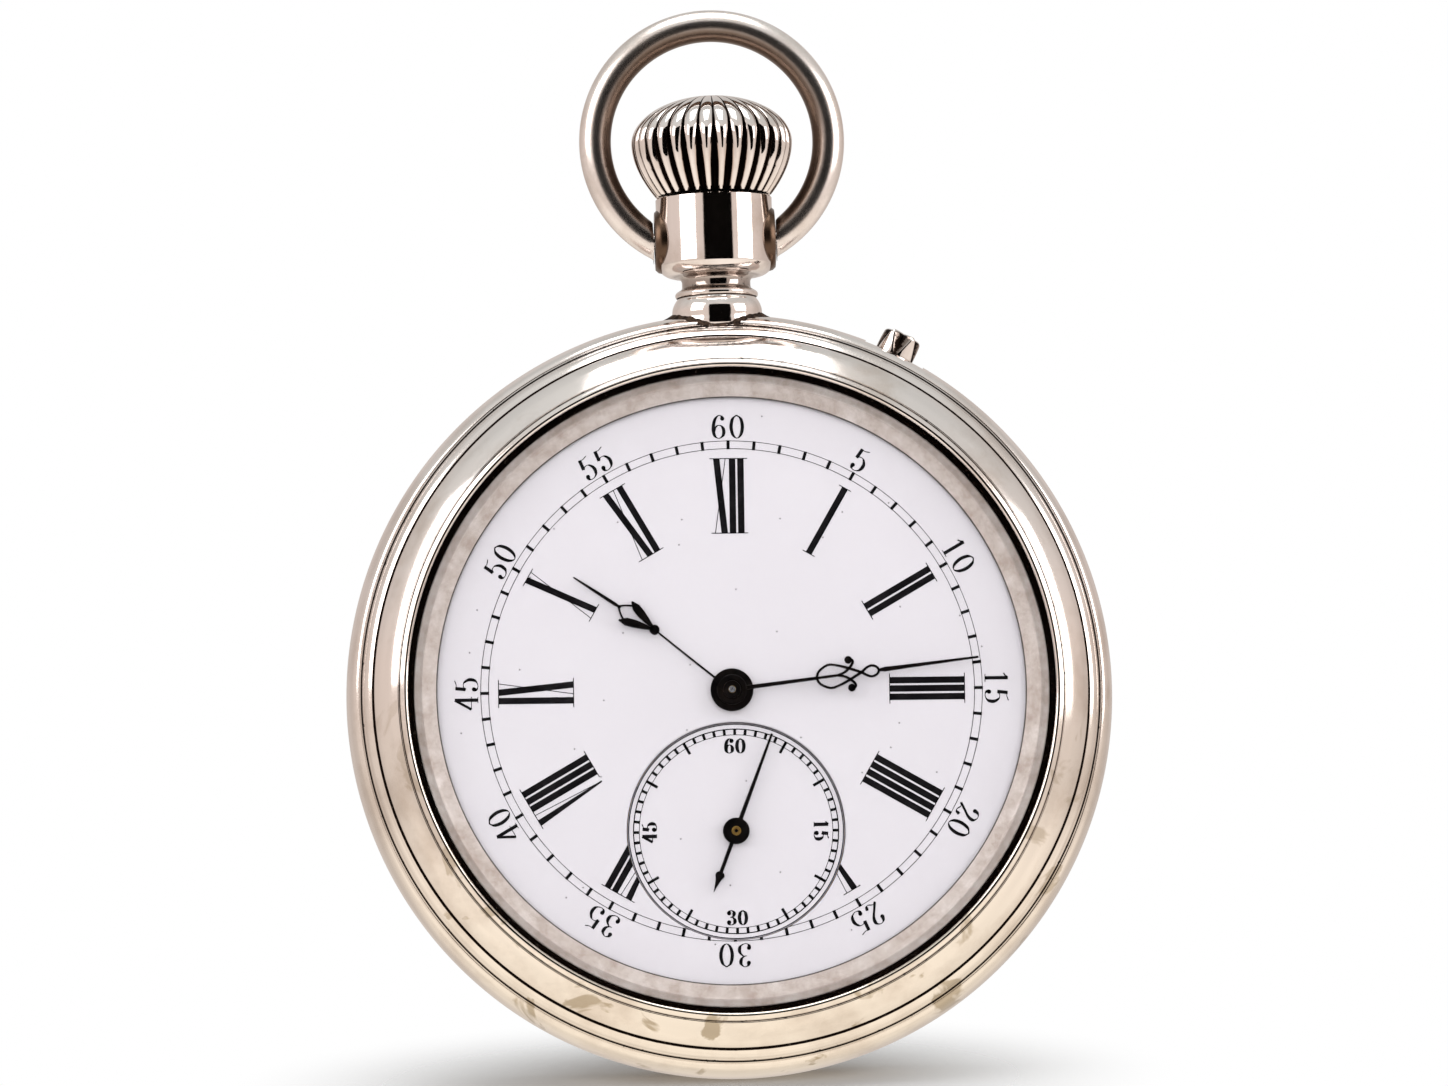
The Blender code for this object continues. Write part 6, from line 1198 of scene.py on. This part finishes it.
# Each letter's strokes as (foot, top, is thick), in leans from its middle, and whether its feet have serifs
LETTERS = {"I": ([(0.0, 0.0, True)], True), "V": ([(0.2, -1.0, True), (0.2, 1.35, False)], False),
           "X": ([(1.0, -1.0, True), (-1.5, 1.4, False)], True)}
HOURS = {1: "I", 2: "II", 3: "III", 4: "IIII", 5: "V", 7: "VII", 8: "VIII", 9: "IX", 10: "X", 11: "XI",
         12: "XII"}
LETTER_PITCH = 1.28
WIDE_LETTER = 1.9
TAPERED_FOOT = 0.14
SERIF_REACH = 0.55
SERIF_WIDTH = 0.6


def numeral(text, top, foot, stroke, hair, low, high):
    """Hour numeral along +Z of the plan: letters with thick down strokes, hair up strokes and long serifs."""
    pitch = stroke * LETTER_PITCH
    widths = [pitch if character == "I" else pitch * WIDE_LETTER for character in text]
    place = -sum(widths) / 2
    shapes = []
    for character, width in zip(text, widths):
        middle, lean = place + width / 2, (width - pitch) / 2
        strokes, has_feet = LETTERS[character]
        for foot_lean, top_lean, is_thick in strokes:
            wide = stroke if is_thick else hair
            ends = (middle + lean * foot_lean, middle + lean * top_lean)
            # A thick stroke without a serif at its foot tapers to it
            tapers = is_thick and not has_feet
            halves = [stroke * TAPERED_FOOT, stroke / 2] if tapers else wide / 2
            shapes.append(slab([(ends[0], foot), (ends[1], top)], halves, low, high))
            half = wide / 2 + stroke * SERIF_REACH
            for x, level in zip(ends, (foot, top)):
                if has_feet or level == top:
                    shapes.append(slab([(x - half, level), (x + half, level)], hair * SERIF_WIDTH, low, high))
        place += width
    return joined(*shapes)


class WATCH_OT_print(bpy.types.Operator):
    """Painted hour numerals, minute track and figures, and the seconds track."""

    bl_idname = "watch.print"
    bl_label = "Dial print"

    def execute(self, context):
        sizes = context.scene.watch_sizes
        hair, fine, dial_turn = sizes.hairline, 1.2 * sizes.hairline, math.degrees(sizes.dial_turn)
        low, high = DIAL_FRONT - PRINT_LIFT, DIAL_FRONT + PRINT_LIFT
        track = [(0.0, sizes.track_inner - hair), (0.0, sizes.track_outer + hair)]
        tick = slab(track, sizes.minute_tick / 2, low, high)
        shapes = [swing(tick, MINUTE_ANGLE * minute) for minute in range(60)]
        shapes += [ring_line(r, hair, low, high) for r in (sizes.track_outer, sizes.track_inner)]
        for hour, text in HOURS.items():
            made = numeral(text, sizes.numeral_outer, sizes.numeral_inner, sizes.numeral_stroke, fine,
                           low, high)
            shapes.append(swing(made, HOUR_ANGLE * hour))
        for step in range(1, 13):
            made = figure(str(5 * step), sizes.figure_height, FIGURE_STROKE, fine, low, high)
            shapes.append(swing(moved(made, 0.0, sizes.figure_ring, 0.0), HOUR_ANGLE * step))
        shape = swing(joined(*shapes), dial_turn)
        shape["points"][:, 2] -= dial_fall(np.hypot(shape["points"][:, 0], shape["points"][:, 1]))
        painted = trimmed(make_mesh("print", facing_dial(shape)), SECONDS_Z, SECONDS_RADIUS + 0.05 * MM)
        add_piece("dial_print", painted, "print", "case")

        low, high = SECONDS_FRONT - PRINT_LIFT, SECONDS_FRONT + PRINT_LIFT
        outer, inner, long_inner, rim = 7.16 * MM, 6.76 * MM, 6.28 * MM, 7.5 * MM
        half, height, thick = 0.1 * MM, 1.02 * MM, 0.25 * MM
        tick, long_tick = (slab([(0.0, start), (0.0, outer)], half, low, high)
                           for start in (inner, long_inner))
        shapes = [swing(tick, MINUTE_ANGLE * second) for second in range(60)]
        shapes += [swing(long_tick, HOUR_ANGLE * k) for k in range(12) if k % 3]
        shapes += [ring_line(radius, width, low, high)
                   for radius, width in ((outer, 0.08 * MM), (inner, hair), (rim, 0.07 * MM))]
        for text, x, z, turn in (("60", 0.0, 5.98, 0.0), ("15", 5.95, 0.0, 90.0), ("30", 0.0, -6.05, 0.0),
                                 ("45", -6.05, 0.0, -90.0)):
            made = swing(figure(text, height, thick, hair * 1.3, low, high), turn)
            shapes.append(moved(made, x * MM, z * MM, 0.0))
        add_piece("seconds_print", facing_dial(swing(joined(*shapes), dial_turn), SECONDS_Z), "print", "case")
        return {"FINISHED"}


def trimmed(mesh, centre_z, radius):
    """The print without what lies inside the seconds dial, cut along its edge by short straight cuts."""
    cuts, near = 64, 1.6 * radius
    centre = Vector((0.0, STEM_Y, centre_z))
    work = bmesh.new()
    work.from_mesh(mesh)
    for k in range(cuts):
        angle = TURN * k / cuts
        normal = Vector((math.cos(angle), 0.0, math.sin(angle)))
        faces = [f for f in work.faces if (f.calc_center_median() - centre).xz.length < near]
        edges = {e for f in faces for e in f.edges}
        verts = {v for f in faces for v in f.verts}
        bmesh.ops.bisect_plane(work, geom=[*verts, *edges, *faces], plane_co=centre + normal * radius,
                               plane_no=normal, dist=WELD)
    inside = [f for f in work.faces if (f.calc_center_median() - centre).xz.length < radius]
    bmesh.ops.delete(work, geom=inside, context="FACES")
    work.to_mesh(mesh)
    work.free()
    return mesh


# Hands

def hand_stroke(points, widths, low, samples=28):
    """Curved bar of a hand through (aside, along) points in millimetres, with widths spread along it."""
    path = smooth_path(np.array(points) * MM, samples)
    share, known = np.linspace(0.0, 1.0, samples), np.linspace(0.0, 1.0, len(widths))
    spread = np.interp(share, known, np.array(widths) * MM)
    return slab(path, spread / 2, low, low + HAND_THICKNESS, HAND_EDGE)


def both_sides(strokes, low):
    """Strokes and their mirror images across the hand's own line."""
    return [hand_stroke([(side * x, z) for x, z in points], widths, low)
            for points, widths in strokes for side in (1, -1)]


def boss(outer, bore, low, high):
    """Round boss of a hand with a chamfered edge."""
    edge = 0.07 * MM
    return turned([(bore, low), (outer, low), (outer, high - edge), (outer - edge, high), (bore + edge, high),
                   (bore, high - edge)], NECK_SIDES)


class WATCH_OT_hands(bpy.types.Operator):
    """Hour, minute and seconds hands with their bosses."""

    bl_idname = "watch.hands"
    bl_label = "Hands"

    def execute(self, context):
        low, high = HOUR_FRONT - HAND_THICKNESS, HOUR_FRONT
        ball, tip = 6.84, 13.6
        hour = [hand_stroke([(0.0, 1.2), (0.0, 6.8)], [0.18, 0.15], low, 4),
                disc((0.0, ball * MM), 0.37 * MM, low, high, 32, 0.04 * MM),
                hand_stroke([(0.0, 9.66), (0.0, 11.0), (0.0, tip)], [0.14, 0.27, 0.26, 0.24, 0.2, 0.12],
                            low, 12)]
        hour += both_sides([
            ([(0.06, 6.95), (0.27, 7.75), (0.55, 8.62), (0.80, 9.28)], [0.16, 0.42, 0.60, 0.60, 0.12]),
            ([(0.58, 9.05), (0.34, 9.45), (0.02, 9.84)], [0.17, 0.15, 0.17])], low)
        hour.append(boss(1.5 * MM, 0.98 * MM, low, high + 0.05 * MM))
        shape = joined(*hour)
        # The real hand is a little bent at its ball
        bend = np.interp(shape["points"][:, 1], [1.5 * MM, ball * MM, tip * MM], [0.0, 0.3 * MM, 0.0])
        shape["points"][:, 0] += bend
        add_piece("hour_hand_spade", facing_dial(swing(shape, HOUR_BEARING)), "black",
                  "hour_hand", "hour_hand")

        low, high = MINUTE_FRONT - HAND_THICKNESS, MINUTE_FRONT
        minute = [hand_stroke([(0.0, 0.9), (0.0, 6.0)], [0.32, 0.25], low, 4),
                  hand_stroke([(0.0, 5.96), (0.0, 6.7), (0.0, 7.45)], [0.19, 0.22, 0.2], low, 8),
                  hand_stroke([(0.0, 10.3), (0.0, 12.0), (0.0, 17.4)], [0.2, 0.36, 0.32, 0.28, 0.23, 0.17],
                              low, 12)]
        minute += both_sides([
            ([(0.0, 5.96), (0.45, 6.18), (0.81, 6.84), (0.70, 7.50), (0.42, 8.22), (0.0, 9.12), (-0.26, 9.5),
              (-0.38, 9.86), (-0.25, 10.22), (0.0, 10.37)],
             [0.2, 0.19, 0.19, 0.19, 0.21, 0.22, 0.19, 0.19, 0.19, 0.2]),
            ([(0.0, 7.42), (0.13, 7.90), (0.36, 8.26), (0.70, 8.58), (0.92, 8.60), (1.02, 8.38)],
             [0.19, 0.19, 0.21, 0.2, 0.21, 0.26])], low)
        minute += [disc((side * 0.98 * MM, 8.32 * MM), 0.28 * MM, low, high, 24, HAND_EDGE)
                   for side in (1, -1)]
        minute.append(boss(1.06 * MM, 0.62 * MM, low, high + 0.06 * MM))
        add_piece("minute_hand_scroll", facing_dial(swing(joined(*minute), MINUTE_BEARING)), "black",
                  "minute_hand", "minute_hand")
        pipe = tube(0.26 * MM, 0.61 * MM, low, low + 0.21 * MM, 0.04 * MM, dish=0.02 * MM)
        add_piece("cannon_tip", facing_dial(pipe), "black", "centre")
        arbor = tube(0.0, 0.23 * MM, low, low + 0.2 * MM, 0.05 * MM, SMALL_SIDES, dish=-0.05 * MM)
        add_piece("centre_arbor_tip", facing_dial(arbor), "steel", "centre")

        low, high = SECONDS_HAND_FRONT - HAND_THICKNESS, SECONDS_HAND_FRONT
        seconds = [hand_stroke([(0.0, 0.6), (0.0, 7.25)], [0.32, 0.28, 0.23, 0.17], low, 8),
                   hand_stroke([(0.0, -0.6), (0.0, -3.1)], [0.3, 0.27], low, 4),
                   hand_stroke([(0.0, -3.0), (0.0, -3.5), (0.0, -4.57)], [0.2, 0.62, 0.68, 0.4, 0.2, 0.04],
                               low, 14),
                   boss(0.93 * MM, 0.26 * MM, low, high + 0.04 * MM),
                   disc((0.0, 0.0), 0.13 * MM, low, low + 0.25 * MM, 32, 0.02 * MM)]
        needle = swing(joined(*seconds), SECONDS_BEARING)
        add_piece("seconds_hand_needle", facing_dial(needle, SECONDS_Z), "black", "fourth", "seconds_hand")
        ring = tube(0.2 * MM, 0.33 * MM, low, low + 0.23 * MM, 0.03 * MM, SMALL_SIDES)
        add_piece("seconds_pivot_ring", facing_dial(ring, SECONDS_Z), "gilt", "fourth")
        return {"FINISHED"}


# Studio

IMAGE_WIDTH, IMAGE_HEIGHT = 1448, 1086
FILM_WIDTH = 36.0
CAMERA_AZIMUTH = math.radians(-2.0)
CAMERA_ELEVATION = math.radians(-5.5)
CAMERA_ROLL = math.radians(1.85)
CAMERA_DISTANCE = 0.85
PICTURE_SCALE = 0.0705 * MM
CASE_IN_PICTURE = (729.5, 696.2)
FLOOR_SIZE = 4.0
FLOOR_TILT = math.radians(11.0)
# The floor's grey fades to white between these distances from the watch's base: a painted shadow round the
# watch, shifted a little to the left
PAINTED_SHADOW_FADE = {"From Min": 0.008, "From Max": 0.034}
SHADOW_SHIFT = Vector((-3.0 * MM, 0.0, 0.0))
DARK_CARD_SIZE = (1.1, 1.04)
DARK_CARD_PLACE = (0.12, -1.0, 0.18)
TENT_RADIUS = 1.8
TENT_LOW, TENT_SIDES, TENT_TOP = "#EFE8DF", "#EBDFD8", "#E3E6E5"
SURROUND_LIGHT = 0.5
# Each lamp's place, width and power
LAMPS = {"left_lamp": ((-0.62, -0.42, 0.34), 0.5, 2.4), "right_lamp": ((0.66, -0.36, 0.22), 0.45, 2.0),
         "top_lamp": ((0.0, -0.12, 0.75), 0.5, 3.2), "front_lamp": ((0.0, -1.2, 0.1), 0.9, 6.0)}


def stage_piece(name, shape, material):
    """Piece of the studio."""
    mesh = make_mesh(name, shape)
    mesh.materials.append(material)
    mesh.shade_smooth()
    made = link(name, mesh)
    return made


def flat_card(name, width, height, matrix, material):
    """Flat stage card: an even grid of points."""
    u, v = np.meshgrid(np.linspace(-0.5, 0.5, 24), np.linspace(-0.5, 0.5, 24))
    points = np.stack([u * width, v * height, 0.0 * u], axis=-1)
    return stage_piece(name, placed(skin(points, np.stack([u, v], axis=-1), 0.0), matrix), material)


def unseen(card):
    """A stage card that shows in reflections alone."""
    card.visible_camera = False
    card.visible_diffuse = False
    card.visible_shadow = False


def lamp(name, place, size, power):
    """Square soft lamp at a place, turned to the watch."""
    data = bpy.data.lights.new(name, "AREA")
    data.size = size
    data.energy = power
    made = link(name, data)
    made.location = place
    made.rotation_euler = (-Vector(place)).to_track_quat("-Z", "Y").to_euler()
    return made


def dark_cloth():
    """Black cloth, matt: gives polished metal its dark reflections. It takes no light from matt surfaces."""
    made, tree, shader = new_finish("black_cloth_matt", {
        "Base Color": linear("#0B0908"), "Roughness": 1.0, "Specular IOR Level": 0.0})
    bounces = add(tree, "LightPath", out="Diffuse Depth")
    let_through(tree, shader, add(tree, "Math", {1: 0.5}, {0: bounces}, operation="GREATER_THAN"))
    return made


def floor_with_painted_shadow(colour_value, centre):
    """Grey board, matt: near the watch the camera sees it as a painted shadow round the watch's base, and
    away from the watch's shadow it fades to the white surround.
    """
    made, tree, shader = new_finish("floor_board_matt", {
        "Base Color": colour_value, "Roughness": 0.9, "Specular IOR Level": 0.0})
    where = add(tree, "TexCoord", out="Object")
    reach = add(tree, "VectorMath", {1: centre}, {0: where}, "Value", operation="DISTANCE")
    fade = add(tree, "MapRange", PAINTED_SHADOW_FADE, {"Value": reach}, interpolation_type="SMOOTHSTEP")
    seen = add(tree, "LightPath", out="Is Camera Ray")
    let_through(tree, shader, add(tree, "Math", links={0: fade, 1: seen}, operation="MULTIPLY"))
    return made


def tent():
    """Light tent round the watch: a ball whose cloth glows warm below, rosy at the sides and cool above."""
    made, tree, shader = new_finish("tent_cloth_lit", {})
    tree.nodes.remove(shader)
    where = add(tree, "TexCoord", out="Object")
    inward = add(tree, "SeparateXYZ", links={0: where}, out=1)
    height = add(tree, "SeparateXYZ", links={0: where}, out=2)
    rise = add(tree, "MapRange", {"From Min": -0.6 * TENT_RADIUS, "From Max": 0.1 * TENT_RADIUS},
               {"Value": height})
    high = add(tree, "MapRange", {"From Min": 0.2 * TENT_RADIUS, "From Max": 0.8 * TENT_RADIUS},
               {"Value": height})
    sides = add(tree, "Mix", {MIX_A: linear(TENT_LOW), MIX_B: linear(TENT_SIDES)}, {0: rise}, **MIX)
    whole = add(tree, "Mix", {MIX_B: linear(TENT_TOP)}, {0: high, MIX_A: sides}, **MIX)
    folds = add(tree, "TexNoise", {"Scale": per(0.9), "Detail": 2.0}, {"Vector": where})
    glow = add(tree, "MapRange", {"From Min": 0.35, "From Max": 0.65, "To Min": 0.92, "To Max": 1.04},
               {"Value": folds})
    # The cloth behind the watch hangs farther from the lamps, and that lying below catches more light
    behind = add(tree, "MapRange", {"From Min": -0.1 * TENT_RADIUS, "From Max": 0.6 * TENT_RADIUS,
                                    "To Min": 1.0, "To Max": 0.8}, {"Value": inward})
    below = add(tree, "MapRange", {"From Min": -0.2 * TENT_RADIUS, "From Max": -0.45 * TENT_RADIUS,
                                   "To Min": 1.0, "To Max": 1.3}, {"Value": height})
    hung = add(tree, "Math", links={0: glow, 1: behind}, operation="MULTIPLY")
    strength = add(tree, "Math", links={0: hung, 1: below}, operation="MULTIPLY")
    lit = add(tree, "Emission", links={"Color": whole, "Strength": strength})
    wire(tree, tree.nodes["Material Output"], {"Surface": lit})
    bend = np.linspace(-QUARTER, QUARTER, 33)
    ball = turned([(TENT_RADIUS * math.cos(a), TENT_RADIUS * math.sin(a)) for a in bend], 64)
    return stage_piece("tent", ball, made)


def white_surround(scene):
    """World that is white to the camera, to reflections and through glass, and a weaker light elsewhere."""
    scene.world = bpy.data.worlds.new("studio")
    scene.world.use_nodes = True
    tree = scene.world.node_tree
    tree.nodes.remove(tree.nodes["Background"])
    kinds = [add(tree, "LightPath", out=f"Is {kind} Ray") for kind in ("Camera", "Glossy", "Transmission")]
    seen = add(tree, "Math", links={0: kinds[0], 1: kinds[1]}, operation="MAXIMUM")
    shown = add(tree, "Math", links={0: seen, 1: kinds[2]}, operation="MAXIMUM")
    white = linear("#FFFFFF")
    light = add(tree, "Background", {"Color": white, "Strength": SURROUND_LIGHT})
    plain = add(tree, "Background", {"Color": white, "Strength": 1.0})
    mixed = add(tree, "MixShader", links={0: shown, 1: light, 2: plain})
    wire(tree, tree.nodes["World Output"], {"Surface": mixed})


def add_camera(scene):
    """Camera at the photo's angle, aimed so that the case lies at its place in the picture."""
    look = Vector((-math.sin(CAMERA_AZIMUTH) * math.cos(CAMERA_ELEVATION),
                   math.cos(CAMERA_AZIMUTH) * math.cos(CAMERA_ELEVATION), -math.sin(CAMERA_ELEVATION)))
    turn = look.to_track_quat("-Z", "Y").to_matrix().to_4x4() @ Matrix.Rotation(-CAMERA_ROLL, 4, "Z")
    aside = (IMAGE_WIDTH / 2 - CASE_IN_PICTURE[0]) * PICTURE_SCALE
    above = (CASE_IN_PICTURE[1] - IMAGE_HEIGHT / 2) * PICTURE_SCALE
    aim = Vector((0.0, STEM_Y, 0.0)) + turn.to_3x3() @ Vector((aside, above, 0.0))
    data = bpy.data.cameras.new("camera")
    data.sensor_width = FILM_WIDTH
    data.lens = FILM_WIDTH * CAMERA_DISTANCE / (PICTURE_SCALE * IMAGE_WIDTH)
    data.clip_start = 0.01
    camera = link("camera", data)
    camera.matrix_world = Matrix.Translation(aim - look * CAMERA_DISTANCE) @ turn
    scene.camera = camera


class WATCH_OT_stage(bpy.types.Operator):
    """Floor with a painted shadow, soft lamps, dark card behind the camera, light tent, white surround and
    the camera.
    """

    bl_idname = "watch.stage"
    bl_label = "Stage"

    def execute(self, context):
        scene = context.scene
        scene.view_settings.view_transform = "Standard"
        white_surround(scene)
        base = Vector((0.0, STEM_Y, -CASE_RADIUS - 0.05 * MM))
        floor = flat_card("floor", FLOOR_SIZE, FLOOR_SIZE,
                          Matrix.Translation(base) @ Matrix.Rotation(FLOOR_TILT, 4, "X"),
                          floor_with_painted_shadow(scene.watch_colours.floor, base + SHADOW_SHIFT))
        floor.visible_glossy = False
        upright = Matrix.Rotation(QUARTER, 4, "X")
        unseen(flat_card("dark_card", *DARK_CARD_SIZE, Matrix.Translation(DARK_CARD_PLACE) @ upright,
                         dark_cloth()))
        unseen(tent())
        lamps = {name: lamp(name, *values) for name, values in LAMPS.items()}
        lamps["front_lamp"].visible_glossy = False
        add_camera(scene)
        return {"FINISHED"}


PIECES = (WATCH_OT_movement, WATCH_OT_case, WATCH_OT_bezel, WATCH_OT_crystal, WATCH_OT_covers,
          WATCH_OT_pendant, WATCH_OT_bow, WATCH_OT_crown, WATCH_OT_set_pin, WATCH_OT_dials, WATCH_OT_print,
          WATCH_OT_hands, WATCH_OT_stage)


class WATCH_PT_panel(bpy.types.Panel):
    """Lists the watch's pieces and their sizes."""

    bl_idname = "WATCH_PT_panel"
    bl_label = "Pocket watch"
    bl_space_type = "VIEW_3D"
    bl_region_type = "UI"
    bl_category = "Watch"

    def draw(self, context):
        for operator in PIECES:
            self.layout.operator(operator.bl_idname)
        for group in (context.scene.watch_sizes, context.scene.watch_colours):
            for name in group.__annotations__:
                self.layout.prop(group, name)


CLASSES = (WATCH_PG_sizes, WATCH_PG_colours, *PIECES, WATCH_PT_panel)


def register():
    """Make the classes and the watch's properties known."""
    for known in CLASSES:
        bpy.utils.register_class(known)
    bpy.types.Scene.watch_sizes = bpy.props.PointerProperty(type=WATCH_PG_sizes)
    bpy.types.Scene.watch_colours = bpy.props.PointerProperty(type=WATCH_PG_colours)


def unregister():
    """Take the properties and the classes away again."""
    del bpy.types.Scene.watch_colours
    del bpy.types.Scene.watch_sizes
    for known in reversed(CLASSES):
        bpy.utils.unregister_class(known)


def main():
    register()
    for operator in PIECES:
        group, name = operator.bl_idname.split(".")
        getattr(getattr(bpy.ops, group), name)()


if __name__ == "__main__":
    main()
